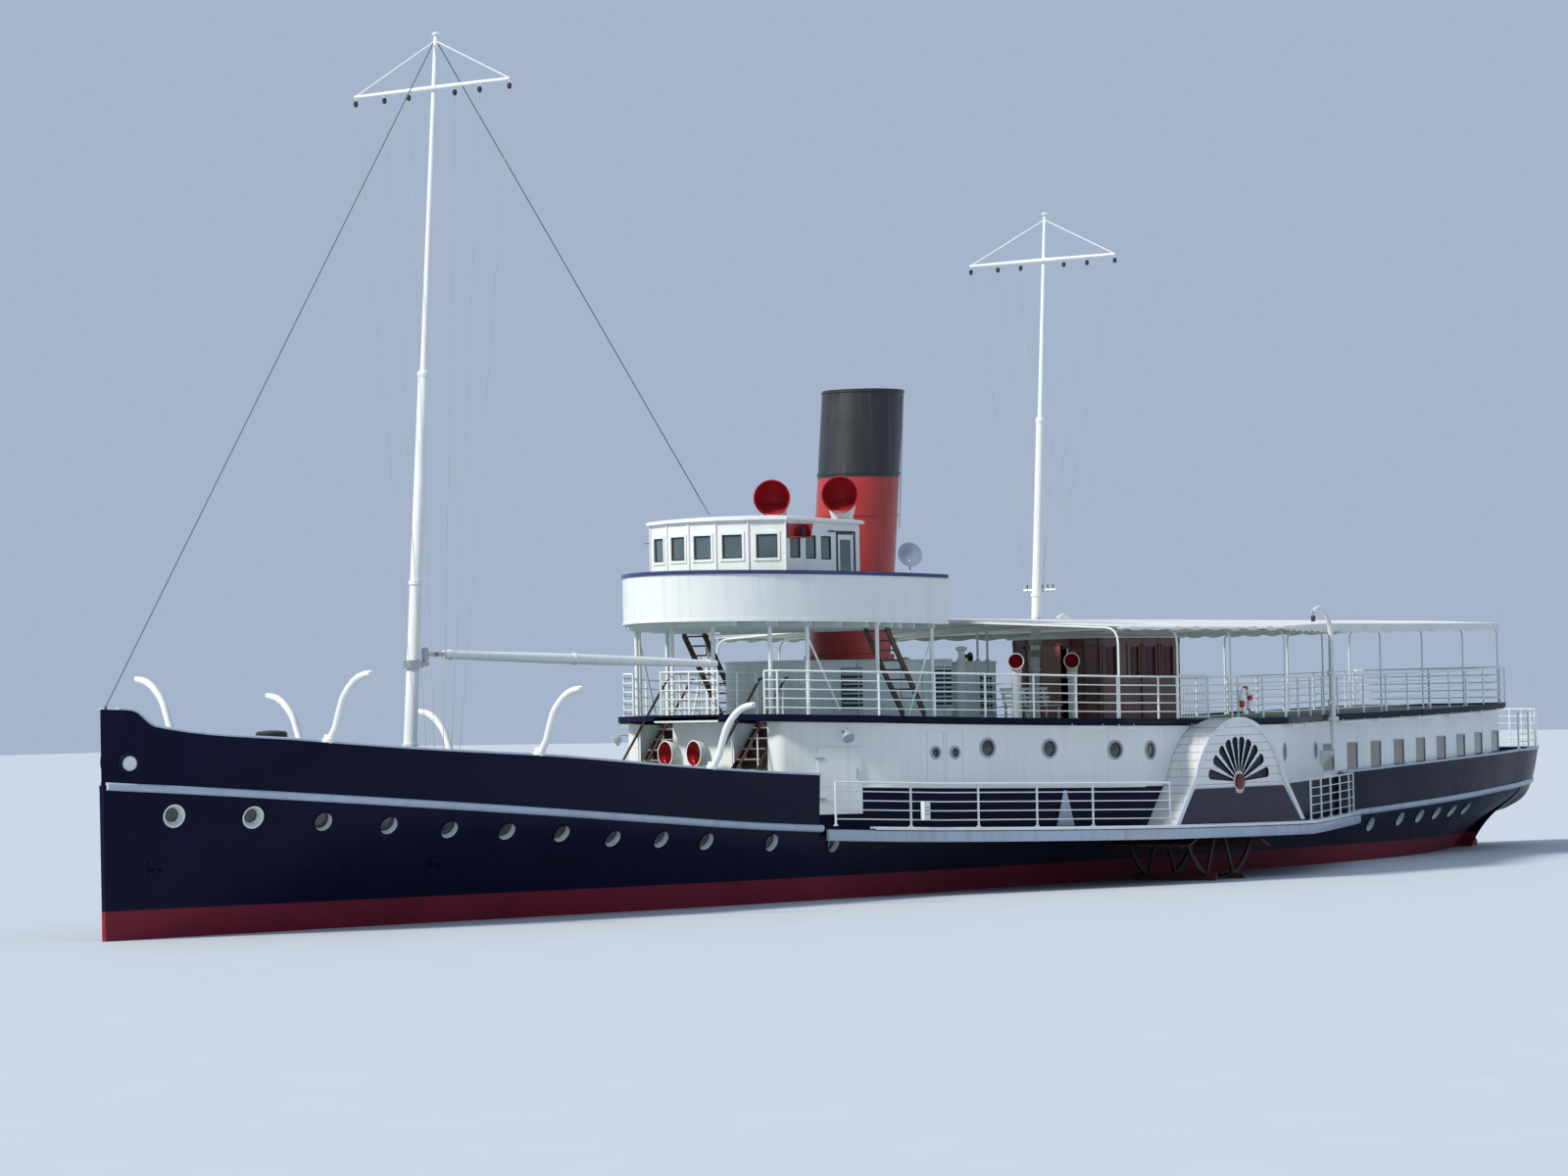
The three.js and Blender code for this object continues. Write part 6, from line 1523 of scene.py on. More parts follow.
for side, sign in SIDES:
    door = Piece()
    z = doorway_z + 0.01
    y0 = sign * (WHEELHOUSE["half"] - 0.01)
    y1 = y0 - sign * DOOR["thick"]
    x0, x1 = DOOR["free"] + DOOR["gap"], DOOR["hinge"] - DOOR["gap"]
    rails = (
        (x0, 0, x0 + 0.1, DOOR["height"]), (x1 - 0.1, 0, x1, DOOR["height"]),
        (x0 + 0.1, 0, x1 - 0.1, 0.16), (x0 + 0.1, 0.95, x1 - 0.1, 1.08),
        (x0 + 0.1, 1.86, x1 - 0.1, DOOR["height"]),
    )
    for low_x, low, high_x, high in rails:
        door.board((low_x + 0.001, y0, z + low), (high_x - 0.001, y1, z + high), white_paint)
    for low, high, d, finish in ((0.162, 0.948, 0.015, white_paint), (1.082, 1.858, 0.02, window_glass)):
        panel = (x0 + 0.102, y0 - sign * d, z + low)
        door.board(panel, (x1 - 0.102, y1 + sign * d, z + high), finish)
    knob = facing((x0 + 0.05, y0 + sign * 0.0005, z + 1.0), (0, sign, 0))
    door.turned([(0.02, 0), (0.02, 0.006), (0.014, 0.008)], knob, brass_rim, 12)
    door = door.shape("wheelhouse_door_leaf_" + side)
    fit(door, "door_" + side, "white_paint", "wheelhouse_door_" + side)

# Funnel. A raked steel tube, red below and black above, with riveted hoops, rungs up its side and a
# steam pipe behind it.
FUNNEL = {"foot_x": 3.8, "rake": 0.12, "r": 1.02, "bore": 0.96, "top": 12.35, "black_from": 10.26}
TOP_HOOP_Z = 12.3
RUNGS, RUNGS_FROM_Z, RUNG_STEP = 12, 7.9, 0.35
RUNG_BEARING, LANYARD_BEARING = math.radians(-112), 1.95
RUNG_R, LANYARD_R = 1.09, 1.03
funnel_red = painted("funnel_red", (0.42, 0.028, 0.02), (0.16, 0.02, 0.015), 0.12, 0.35, 0.38, 0.15, 0.3)
funnel_black = painted("funnel_black", (0.018, 0.018, 0.02), (0.10, 0.09, 0.08), 0.3, 0.35, 0.4, 0.15, 0.2)
foot_z = casing_top["fore_casing"] + SEAT


def funnel_x(z):
    """Middle of the funnel at a height."""
    return FUNNEL["foot_x"] - FUNNEL["rake"] * (z - foot_z)


def funnel_circle(r, z, sides=64):
    """A level circle round the middle of the funnel."""
    turn = [2 * math.pi * k / sides for k in range(sides)]
    return [(funnel_x(z) + r * math.cos(a), r * math.sin(a), z) for a in turn]


funnel = Piece()
profile = [(1.12, foot_z), (1.12, foot_z + 0.12), (FUNNEL["r"], foot_z + 0.16)]
profile += [(FUNNEL["r"], z) for z in np.linspace(foot_z + 0.5, TOP_HOOP_Z, 24)]
profile += [(FUNNEL["r"], FUNNEL["top"])]
profile += [(FUNNEL["bore"], z) for z in (FUNNEL["top"], 11, 9, 7, foot_z + 0.2, foot_z)]
faces = funnel.skin([funnel_circle(r, z) for r, z in profile], funnel_red, ring=True)
for face in faces:
    x, y, z = face.calc_center_median() / SHIP
    if z > FUNNEL["black_from"] or math.hypot(x - funnel_x(z), y) < 1.0:
        face.material_index = funnel.number(funnel_black)
hoops = (
    (TOP_HOOP_Z, funnel_black), (FUNNEL["black_from"], funnel_black), (9.22, funnel_red), (7.6, funnel_red),
)
for z, finish in hoops:
    hoop = [(1.023, z - 0.025), (1.04, z - 0.025), (1.042, z + 0.025), (1.023, z + 0.025)]
    funnel.skin([funnel_circle(r, h) for r, h in hoop], finish, ring=True)
out_x, out_y = math.cos(RUNG_BEARING), math.sin(RUNG_BEARING)
for z in [RUNGS_FROM_Z + RUNG_STEP * k for k in range(RUNGS)]:
    here = Vector((funnel_x(z) + RUNG_R * out_x, RUNG_R * out_y, z))
    wide = Vector((-out_y, out_x, 0)) * 0.14
    inward = Vector((out_x, out_y, 0)) * 0.065
    finish = funnel_black if z > FUNNEL["black_from"] else funnel_red
    funnel.bar([here - wide - inward, here - wide, here + wide, here + wide - inward], 0.012, finish, 6)
out_x, out_y = math.cos(LANYARD_BEARING), math.sin(LANYARD_BEARING)
lanyard = [(funnel_x(z) + LANYARD_R * out_x, LANYARD_R * out_y, z) for z in (12.2, 11.0, 10.0, 8.9)]
funnel.bar([Vector(p) + Vector((-0.04 * k, 0.015, 0)) for k, p in enumerate(lanyard)], 0.012, bare_steel, 6)
steam_pipe = [(funnel_x(z) - 1.13, -0.25, z) for z in (foot_z + 0.02, 9, 11.5, 12.2)]
funnel.bar(steam_pipe, 0.07, funnel_red, 12)
fit(funnel.shape("funnel_plating", 40), "ship", "funnel_red", "funnel")

# Ventilators. Spun steel cowls on white trunks, red inside, that bring air down to the boiler room
# and the cabins; each can be turned by the ring round its neck.
cowl_red = painted("cowl_red", (0.36, 0.012, 0.02), (0.12, 0.01, 0.01), 0.08, 0.2, 0.32, 0.08, 0.3)
COWLS = {
    # x, y, height and radius of the mouth, radius of the trunk, heading, what its foot stands on
    "bridge_cowl": (5.4, 1.04, 9.66, 0.45, 0.25, 30, lambda x: bridge_at(x) + BRIDGE["slab"]),
    "fore_cowl": (10.35, 0.43, 3.47, 0.31, 0.14, -18, deck_at),
    "side_cowl": (0.3, 2.6, 5.55, 0.2, 0.12, 30, promenade_at),
    "house_cowl": (-2.2, 2.6, 5.55, 0.2, 0.12, 30, promenade_at),
}
COWL_SIDES = 28
LIP = ((-0.015, 0.008), (0.015, 0.008), (0.015, -0.018))
UP = Vector((0, 0, 1))


def cowl_circle(centre, way, level, r):
    """A circle of the cowl round its centre, square to the way that its spine takes."""
    over = way.cross(level).normalized()
    turn = [2 * math.pi * s / COWL_SIDES for s in range(COWL_SIDES)]
    return [centre + (level * math.cos(b) + over * math.sin(b)) * r for b in turn]


for name, (x, y, mouth_z, mouth_r, trunk_r, heading, base) in COWLS.items():
    a = math.radians(heading)
    ahead = Vector((math.cos(a), math.sin(a), 0))
    level = Vector((-math.sin(a), math.cos(a), 0))
    for side, sign in SIDES:
        trunk = Vector((x, sign * y, 0)) - ahead * 0.35 * mouth_r
        foot = base(trunk.x + trunk_r) + SEAT
        neck = mouth_z - 1.25 * mouth_r
        # the spine turns from upright to level, and the section swells to the mouth
        bend = []
        for k in range(9):
            turn = math.radians(90) * k / 8
            centre = Vector((trunk.x, trunk.y, neck)) + ahead * (1 - math.cos(turn)) * 0.62 * mouth_r
            centre += UP * math.sin(turn) * 1.25 * mouth_r
            way = ahead * math.sin(turn) + UP * math.cos(turn)
            size = trunk_r * 1.05 + (mouth_r * 0.96 - trunk_r * 1.05) * (turn / math.radians(90)) ** 0.8
            bend.append((centre, way, size))
        last = bend[-1][0]
        bend.append((last + ahead * 0.18 * mouth_r, ahead, mouth_r * 0.99))
        bend.append((last + ahead * 0.36 * mouth_r, ahead, mouth_r))
        cowl = Piece()
        outside = [cowl_circle(c, w, level, r) for c, w, r in bend]
        lip = [cowl_circle(bend[-1][0] + ahead * d, ahead, level, mouth_r + out) for d, out in LIP]
        inside = [cowl_circle(c, w, level, r - 0.022) for c, w, r in bend[::-1][1:8]]
        faces = cowl.skin(outside + lip + inside, white_paint)
        red_from = (len(outside) + len(lip) - (4 if name == "bridge_cowl" else 1)) * COWL_SIDES
        for face in faces[red_from:-2] + faces[-1:]:
            face.material_index = cowl.number(cowl_red)
        trunk_profile = [(trunk_r * 1.35, foot), (trunk_r * 1.35, foot + 0.06), (trunk_r, foot + 0.1)]
        trunk_profile += [(trunk_r, neck - 0.1), (trunk_r * 1.15, neck - 0.09)]
        trunk_profile += [(trunk_r * 1.15, neck - 0.02), (trunk_r * 1.04, neck - 0.003)]
        cowl.turned(trunk_profile, moved((trunk.x, trunk.y, 0)), white_paint, 24)
        fit(cowl.shape(name + "_spun_" + side, 40), "ship", "white_paint", name + "_" + side)

# Deckhouse. A varnished wooden cabin abaft the mainmast, under a flat white roof. It has red
# curtains behind its side windows, and a sliding door in its front that stands half open.
DECKHOUSE = {"fore": -5.3, "aft": -9.2, "half": 1.35, "height": 2.2}
varnish = painted("varnished_boards", (0.19, 0.045, 0.022), (0.04, 0.014, 0.01), 0.2, 0.3, 0.3, 0.2, 0.3)
boarded(varnish, 0, 2, 0.17, 4.0, (0.03, 0.01, 0.006), 0.5, 0.3)
door_teak = painted("door_teak", (0.30, 0.095, 0.040), (0.08, 0.03, 0.02), 0.15, 0.3, 0.3, 0.2, 0.3)
boarded(door_teak, 1, 2, 0.11, 4.0, (0.06, 0.02, 0.012), 0.5, 0.2)
half = DECKHOUSE["half"]
fore, aft = DECKHOUSE["fore"], DECKHOUSE["aft"]
house_top = promenade_at(aft) + DECKHOUSE["height"]
plan = [(fore, -half), (fore, half), (aft, half), (aft, -half)]
deckhouse = Piece()
wall_levels = [lambda x: promenade_at(x) + SEAT, lambda x: house_top]
walls(deckhouse, divided(plan, 0.8), WALL, wall_levels, [varnish])
deckhouse = deckhouse.shape("deckhouse_walls")
openings = Piece()
DECKHOUSE_WINDOWS = (-5.85, -6.95, -7.75, -8.6)
SILL_Z, PANE_Z, LINTEL_Z = 5.15, 5.55, 5.95
for x in DECKHOUSE_WINDOWS:
    openings.board((x - 0.25, -3, SILL_Z), (x + 0.25, 3, LINTEL_Z), varnish)
openings.board((fore - 0.3, -0.34, promenade_at(fore) + 0.1), (fore + 0.3, 0.42, LINTEL_Z), varnish)
carve(deckhouse, openings)
fit(deckhouse, "ship", "cabin_wood", "deckhouse")
cabin_glass = painted("cabin_glass", (0.03, 0.035, 0.035), (0.05, 0.05, 0.05), 0.3, 0.1, 0.05, 0.02, 0.5)
cabin_glass.node_tree.nodes["Principled BSDF"].inputs["Alpha"].default_value = 0.22
curtain_red = painted("curtain_red", (0.42, 0.014, 0.024), (0.08, 0.01, 0.01), 0.15, 0.2, 0.9, 0.2)
blind = painted("window_blind", (0.75, 0.68, 0.55), (0.4, 0.35, 0.3), 0.1, 0.2, 0.9, 0.1)
joinery = Piece()
for number, x in enumerate(DECKHOUSE_WINDOWS):
    for sign in (1, -1):
        spot = abeam(x, half, PANE_Z, sign)
        surround(joinery, spot, 0.225, 0.375, 0.022, -0.04, 0.0, varnish)
        surround(joinery, spot, 0.254, 0.404, 0.05, 0.003, 0.02, varnish)
        pane = rectangle(-0.22, -0.37, 0.22, 0.37)
        joinery.plate(pane, 0.01, spot @ moved((0, 0, -0.03)), cabin_glass)
        for u0, u1 in ((-0.24, -0.03), (0.03, 0.24)):
            folds = [(u0 + (u1 - u0) * k / 8, -0.075 + 0.02 * (k % 2)) for k in range(9)]
            loop = folds + [(u, w - 0.012) for u, w in folds[::-1]]
            cloth = blind if number == 1 and u0 < 0 else curtain_red
            joinery.skin([[spot @ Vector((u, v, w)) for u, w in loop] for v in (-0.38, 0.39)], cloth)
for sign in (1, -1):
    for x in (fore - 0.06, -5.47, -6.3, -7.35, -8.18, -9.14):
        foot = (x, sign * (half + 0.015), promenade_at(x) + 0.01)
        joinery.beam(foot, (*foot[:2], house_top - 0.01), 0.06, 0.022, varnish, (0, 1, 0))
    for z, deep in ((house_top - 0.09, 0.1), (4.95, 0.05)):
        joinery.beam((fore, sign * (half + 0.012), z), (aft, sign * (half + 0.012), z), 0.02, deep, varnish)
for y in (-1.31, -0.95, -0.6, 0.5, 0.86, 1.31):
    foot = (fore + 0.015, y, promenade_at(fore) + 0.01)
    joinery.beam(foot, (foot[0], y, house_top - 0.01), 0.022, 0.06, varnish, (0, 1, 0))
for y0, y1 in ((-1.3, -0.6), (0.5, 1.3)):
    for z in (4.55, LINTEL_Z):
        joinery.beam((fore + 0.015, y0, z), (fore + 0.015, y1, z), 0.022, 0.07, varnish)
    low = (fore + 0.02, y0, promenade_at(fore) + 0.01)
    joinery.board(low, (fore + 0.09, y1, promenade_at(fore) + 0.1), white_paint)
joinery.board((fore + 0.03, -0.4, promenade_at(fore) + 0.06), (fore + 0.075, 0.2, 5.98), door_teak)
joinery.beam((fore + 0.03, -1.2, 6.03), (fore + 0.03, 0.5, 6.03), 0.05, 0.06, varnish)
handle = [(fore + 0.08, 0.12, 4.9), (fore + 0.12, 0.12, 4.95), (fore + 0.08, 0.12, 5.1)]
joinery.bar(handle, 0.012, brass_rim, 8)
fit(joinery.shape("deckhouse_joinery"), "ship", "cabin_wood")
roof = Piece()
rows = []
for y in np.linspace(-half - 0.12, half + 0.12, 15):
    crown = 0.05 * (1 - (y / (half + 0.12)) ** 2)
    low, high = house_top + SEAT, house_top + 0.05 + crown
    rows.append([(fore + 0.12, y, low), (fore + 0.12, y, high), (aft - 0.12, y, high), (aft - 0.12, y, low)])
roof.skin(rows, white_paint)
fit(roof.shape("deckhouse_roofing"), "ship", "white_paint", "deckhouse_roof")

# Masts. Tapered steel lower masts with slim topmasts, each with a yard for signal flags, lifts,
# iron bands and blocks. The foremast has a bracket with the upright pin that carries the boom.
MASTS = {
    # x, height of the joint, height of the top, rake, height of the yard, radius
    "foremast": (20.28, 12.0, 19.7, 0.082, 18.5, 0.155), "mainmast": (-4.23, 11.8, 17.3, 0.076, 16.1, 0.14),
}
YARD_HALF = 2.3
PIN_X = 19.62
BLOCK_SHARES = (1.0, 0.62, 0.3)
BRACKET_Z = 5.63
rope_pale = painted("hemp_rope", (0.45, 0.43, 0.38), (0.2, 0.18, 0.15), 0.2, 0.3, 0.9, 0.5)
block_dark = painted("block_dark", (0.03, 0.025, 0.022), (0.1, 0.08, 0.06), 0.2, 0.3, 0.5, 0.2)
mast_points = {}
yards = {}
for name, (x, joint, top, rake, yard_z, r) in MASTS.items():
    deck = deck_at if name == "foremast" else promenade_at
    foot = max(deck(x + d) - rake * d for d in (r, -r)) + SEAT

    def mast_at(z, x=x, rake=rake, foot=foot):
        """A point on the middle line of the mast."""
        return Vector((x - (z - foot) * rake, 0, z))

    mast_points[name] = mast_at
    mast = Piece()
    lower = ((foot, 1.25), (foot + 0.2, 1.2), (foot + 0.24, 1), (joint * 0.5, 0.92), (joint, 0.78))
    cap = ((joint + 0.003, 0.8), (joint + 0.08, 0.95), (joint + 0.12, 0.9), (joint + 0.16, 0.6))
    upper = ((joint + 0.163, 0.55), (joint + 0.5, 0.52), (top - 0.1, 0.36), (top, 0.3))
    for spar, sides in ((lower, 24), (cap, 20), (upper, 16)):
        mast.bar([mast_at(z) for z, share in spar], [r * share for z, share in spar], white_paint, sides)
    mast.turned([(0.09, 0), (0.1, 0.03), (0.06, 0.06)], moved(mast_at(top + 0.003)), white_paint, 16)
    yard = mast_at(yard_z)
    yards[name] = yard
    ends = [yard + Vector((0.09, s * YARD_HALF, 0)) for s in (1, 0.5, 0, -0.5, -1)]
    mast.bar(ends, [0.035, 0.045, 0.052, 0.045, 0.035], white_paint, 12)
    mast.band(r * 0.5, r * 0.62, 0.05, moved(yard), white_paint, 16)
    for sign in (1, -1):
        lift = [mast_at(top - 0.15) + Vector((0.02, sign * 0.05, 0)), ends[0 if sign > 0 else -1]]
        mast.bar(lift, 0.014, white_paint, 6)
        for out in BLOCK_SHARES:
            here = yard + Vector((0.09, sign * YARD_HALF * out * 0.99, -0.07))
            block = [(0.02, -0.16), (0.045, -0.14), (0.055, -0.09), (0.045, -0.04), (0.02, -0.02)]
            mast.turned(block, moved(here), block_dark, 10)
            mast.bar([here + Vector((0, 0, -0.02)), here + Vector((0, 0, 0.04))], 0.01, white_paint, 6)
    for z in (foot + 1.4, 0.62 * joint):
        size = r * (1.02 - 0.22 * z / joint)
        mast.band(size + 0.004, size + 0.03, 0.04, moved(mast_at(z)), white_paint, 20)
    if name == "foremast":
        mast.board((19.55, -0.06, 5.59), (20.05, 0.06, 5.68), bare_steel)
        mast.post((PIN_X, 0, 5.681), 6.01, 0.03, bare_steel, 12)
        clamp = [(0.17, 5.55), (0.22, 5.55), (0.22, 5.72), (0.17, 5.72)]
        mast.turned(clamp, moved((mast_at(BRACKET_Z).x, 0, 0)), bare_steel, 20, ring=True)
    fit(mast.shape(name + "_spars"), "ship", "white_paint", name)

# Boom and gooseneck. A white tubular derrick boom, forked round the cross pin of a steel block that
# turns on the mast's pin, with bands and an eye at its outer end.
BOOM = {"pin_x": PIN_X, "z": 5.85, "end_x": 11.67, "end_y": 2.0, "end_z": 5.56, "r": 0.12, "cross": 0.34}
heading = math.atan2(BOOM["end_y"], BOOM["end_x"] - BOOM["pin_x"])
boom_place = moved((BOOM["pin_x"], 0, BOOM["z"])) @ Matrix.Rotation(heading, 4, "Z")
span = math.hypot(BOOM["end_x"] - BOOM["pin_x"], BOOM["end_y"])
drop = (BOOM["z"] - BOOM["end_z"]) / (span - BOOM["cross"])


def boom_at(s, side=0.0, up=0.0):
    """A point of the boom at s from the upright pin."""
    return boom_place @ Vector((s, side, up - (s - BOOM["cross"]) * drop))


def boomed(outline, y0, y1):
    """Rows of a plate that lies along the boom, between two distances from its middle plane."""
    return [[boom_place @ Vector((u, y, v)) for u, v in outline] for y in (y0, y1)]


block = Piece()
neck = [(0.037, -0.16), (0.08, -0.16), (0.085, -0.1), (0.085, 0.1), (0.08, 0.14), (0.037, 0.14)]
block.turned(neck, boom_place, bare_steel, 20, ring=True)
tongue = [(0.087, -0.05), (0.087, 0.05)]
tongue += [(BOOM["cross"] + 0.06 * math.cos(a), 0.05 * math.sin(a)) for a in (1.2, 0.6, 0, -0.6, -1.2)]
block.skin(boomed(tongue, -0.025, 0.025), bare_steel)
block = block.shape("boom_gooseneck_block")
pin_hole = Piece()
pin_hole.bar([boom_place @ Vector((BOOM["cross"], y, 0)) for y in (-0.2, 0.2)], 0.028, bare_steel, 16)
carve(block, pin_hole)
fit(block, "gooseneck", "bare_steel", "boom_gooseneck")
boom = Piece()
tube_from = BOOM["cross"] + 0.14
swell = faired((tube_from, span * 0.5, span), (0.095, 0.12, 0.08))
for side in (-1, 1):
    cheek = rectangle(BOOM["cross"] - 0.05, -0.05, tube_from + 0.02, 0.05)
    boom.skin(boomed(cheek, side * 0.033, side * 0.077), bare_steel)
    nut = [boom_place @ Vector((BOOM["cross"], side * out, 0)) for out in (0.078, 0.1)]
    boom.bar(nut, 0.04, bare_steel, 6)
boom.bar([boom_place @ Vector((BOOM["cross"], y, 0)) for y in (-0.032, 0.032)], 0.022, bare_steel, 12)
stations = np.linspace(tube_from + 0.023, span - 0.03, 12)
boom.bar([boom_at(s) for s in stations], [swell(s) for s in stations], white_paint, 24)
for s in (tube_from + 0.2, span * 0.5, span - 0.25):
    size = swell(s)
    here = moved((s, 0, -(s - BOOM["cross"]) * drop)) @ Matrix.Rotation(math.radians(90), 4, "Y")
    boom.band(size + 0.002, size + 0.018, 0.04, boom_place @ here, white_paint, 24)
boom.band(0.03, 0.05, 0.012, facing(boom_at(span - 0.25, 0, 0.16), (0, 1, 0)), bare_steel, 14)
fit(boom.shape("boom_tube"), "boom", "white_paint", "boom")

# Standing rigging. Steel wire stays, bar-taut, from the foremast head to the stem and the
# wheelhouse, and thin flag halyards of hemp from the yards down. Those of the foremast are made fast
# to a rail by its foot, those of the mainmast to a bar on the mast, which also carries coils of rope.
stay_wire = painted("stay_wire", (0.20, 0.21, 0.22), (0.08, 0.07, 0.06), 0.1, 0.3, 0.45, 0.1, 0, 0.7)
HALYARD_BAR_Z = 7.45
STEM_EYE = (29.55, 0, 4.8)
BRIDGE_EYE = (9.3, 0, 9.14)
STAY_R = 0.013
fore_at, main_at = mast_points["foremast"], mast_points["mainmast"]
head = fore_at(19.5)
stay = Piece()
stay.bar([head + Vector((0.09, 0, 0)), STEM_EYE], STAY_R, stay_wire, 6)
stay.bar([(29.55, 0, 4.77), (29.53, 0, 4.82)], 0.03, stay_wire, 6)
fit(stay.shape("forestay_wire"), "ship", "bare_steel", "forestay")
stay = Piece()
stay.bar([head + Vector((-0.09, 0, 0)), BRIDGE_EYE], STAY_R, stay_wire, 6)
fit(stay.shape("bridge_stay_wire"), "ship", "bare_steel", "bridge_stay")
halyards = Piece()
PIN_RAIL_X = 20.95
PIN_RAIL_YS = (0.95, 2.1)
rail_foot = deck_at(PIN_RAIL_X) + SEAT
pin_rails = {
    # x, from y, to y, height
    "foremast": (PIN_RAIL_X, *PIN_RAIL_YS, rail_foot + 0.95),
    "mainmast": (main_at(HALYARD_BAR_Z).x - 0.16, -0.4, 0.4, HALYARD_BAR_Z),
}
for y in PIN_RAIL_YS:
    halyards.post((PIN_RAIL_X, y, rail_foot), rail_foot + 0.95 - 0.02, 0.035, white_paint)
for name, (x, y0, y1, z) in pin_rails.items():
    halyards.beam((x, y0 - 0.1, z), (x, y1 + 0.1, z), 0.1, 0.05, white_paint)
    for k, out in enumerate([-share for share in BLOCK_SHARES] + list(BLOCK_SHARES[::-1])):
        start = yards[name] + Vector((0.09, YARD_HALF * out * 0.99, -0.235))
        finish = Vector((x, y0 + (y1 - y0) * (k / 5), z + 0.028))
        halyards.bar([start, finish], 0.007, rope_pale, 5)
        halyards.turned([(0.018, -0.08), (0.014, 0.05), (0.022, 0.1)], moved(finish), block_dark, 8)
for turns, z in ((5, 5.72), (4, 6.02)):
    for k in range(turns):
        coil = [(0.135, -0.02), (0.17, -0.02), (0.185, 0), (0.17, 0.02), (0.135, 0.02)]
        lean = Matrix.Rotation(0.12 * math.sin(k + z), 4, "X")
        halyards.turned(coil, moved(main_at(z + 0.035 * k)) @ lean, rope_pale, 20, ring=True)
tail = [main_at(z) + Vector((0.17, 0.1 * math.sin(3 * z), 0)) for z in np.linspace(5.75, 4.7, 8)]
halyards.bar(tail, 0.02, rope_pale, 6)
fit(halyards.shape("signal_halyards"), "ship", "canvas")

# Awning frame. White tube posts along the rails, bent inboard at the top into the rafters, with a
# ridge bar, a ring round the mainmast, and side bars that the canvas is laced to.
AWNING = {"ridge": 6.66, "fall": 0.054, "inset": 0.2, "bar": 0.022, "post": 0.028}
AWNING_X = (1.15, -1.5, -4.0, -6.6, -12.8, -16.2, -18.8, -21.7, -24.5)
SIDE_AFT_X = -6.6


def awning_half(x):
    """Half-breadth of the awning's frame, which stands in line with the rails of the side decks."""
    return across_at(PROMENADE, x) - (AWNING["inset"] if x < SIDE_AFT_X else RAIL_INSET)


def tube_z(y):
    """Height of the middle of the frame's tubes."""
    return AWNING["ridge"] - AWNING["fall"] * abs(y) - AWNING["bar"] - 0.012


awning_tubes = Piece()
for x in AWNING_X:
    y = awning_half(x)
    z = tube_z(y)
    foot = promenade_at(x) + SEAT
    route = [(y, foot), (y, z - 0.4), (y - 0.02, z - 0.22), (y - 0.09, z - 0.09), (y - 0.2, z - 0.015)]
    route += [(y - 0.34, tube_z(y - 0.34)), (0.03, tube_z(0))]
    for sign in (1, -1):
        awning_tubes.bar([(x, sign * v, h) for v, h in route], AWNING["post"], white_paint, 8)
        flange = [(0.06, 0), (0.06, 0.02), (0.035, 0.04)]
        awning_tubes.turned(flange, moved((x, sign * y, foot)), white_paint, 10)
for sign in (1, -1):
    line = [(x, sign * awning_half(x), tube_z(awning_half(x))) for x in AWNING_X]
    awning_tubes.bar(line, AWNING["bar"], white_paint, 6)
mast_x = main_at(AWNING["ridge"]).x
for first, last in ((AWNING_X[0], mast_x + 0.3), (mast_x - 0.3, AWNING_X[-1])):
    awning_tubes.bar([(first, 0, tube_z(0)), (last, 0, tube_z(0))], AWNING["bar"], white_paint, 6)
collar = [(0.27, -0.03), (0.35, -0.03), (0.35, 0), (0.27, 0)]
awning_tubes.turned(collar, moved((mast_x, 0, tube_z(0))), white_paint, 24, ring=True)
awning_nodes = ("awning_frame", "awning_posts_port", "awning_posts_starboard")
fit(awning_tubes.shape("awning_tubes"), "ship", "white_paint", *awning_nodes)

# Awning. One long sheet of white canvas in two slopes, stretched over the frame and laced to it.
# Its hem hangs in scallops between the lacings, and it sags a little between the rafters.
plain_weave, given, out = effect("plain_weave", {"Thread": 0.02}, ("Height", "Shade"))
here = ship_metres(plain_weave)
x_y_z = add(plain_weave, "SeparateXYZ", {0: here}).outputs
pitch = sums(plain_weave, "DIVIDE", 3.14159, given["Thread"])
yarns = []
for axis in (0, 1):
    wave = sums(plain_weave, "SINE", sums(plain_weave, "MULTIPLY", x_y_z[axis], pitch), 0.0)
    yarns.append(sums(plain_weave, "ABSOLUTE", wave, 0.0))
plain_weave.links.new(sums(plain_weave, "MAXIMUM", *yarns), out["Height"])
cloud = add(plain_weave, "TexNoise", {"Vector": here, "Scale": 0.8, "Detail": 5.0})
plain_weave.links.new(cloud.outputs[0], out["Shade"])
canvas = painted("awning_canvas", (0.74, 0.74, 0.70), (0.35, 0.33, 0.28), 0.06, 0.3, 0.85, 0.2)
tree, surface, worn, relief = parts_of(canvas)
weave = add(tree, "Group", {"Thread": 0.02}, node_tree=plain_weave)
woven = sums(tree, "MULTIPLY_ADD", weave.outputs["Height"], 0.15)
tree.links.new(worn.outputs["Height"], woven.node.inputs[2])
tree.links.new(woven, relief.inputs["Height"])
surface.inputs["Sheen Weight"].default_value = 0.3
AWNING_FORE, AWNING_AFT = AWNING_X[0] + 0.02, AWNING_X[-1] - 0.02
HEM_BY_X = ((1.2, 6.25), (-16.0, 6.25), (-18.6, 6.28), (-24.6, 6.36))
CLOTH = 0.016
EDGE_OUT = 0.06  # how far the sheet's edge stands outside the frame's tubes
SHEET_SHARES = np.linspace(1, -1, 25)


def cloth_z(x, y):
    """Underside of the canvas at x, y, with its sag between the rafters."""
    i = max(1, next((k for k, rafter in enumerate(AWNING_X) if rafter <= x), len(AWNING_X) - 1))
    s = min(1.0, max(0.0, (x - AWNING_X[i]) / (AWNING_X[i - 1] - AWNING_X[i])))
    share = min(1.0, abs(y) / awning_half(x))
    sag = 0.05 * math.sin(math.pi * s) * math.sin(math.pi * share) ** 2
    return AWNING["ridge"] - AWNING["fall"] * abs(y) - sag + 0.004


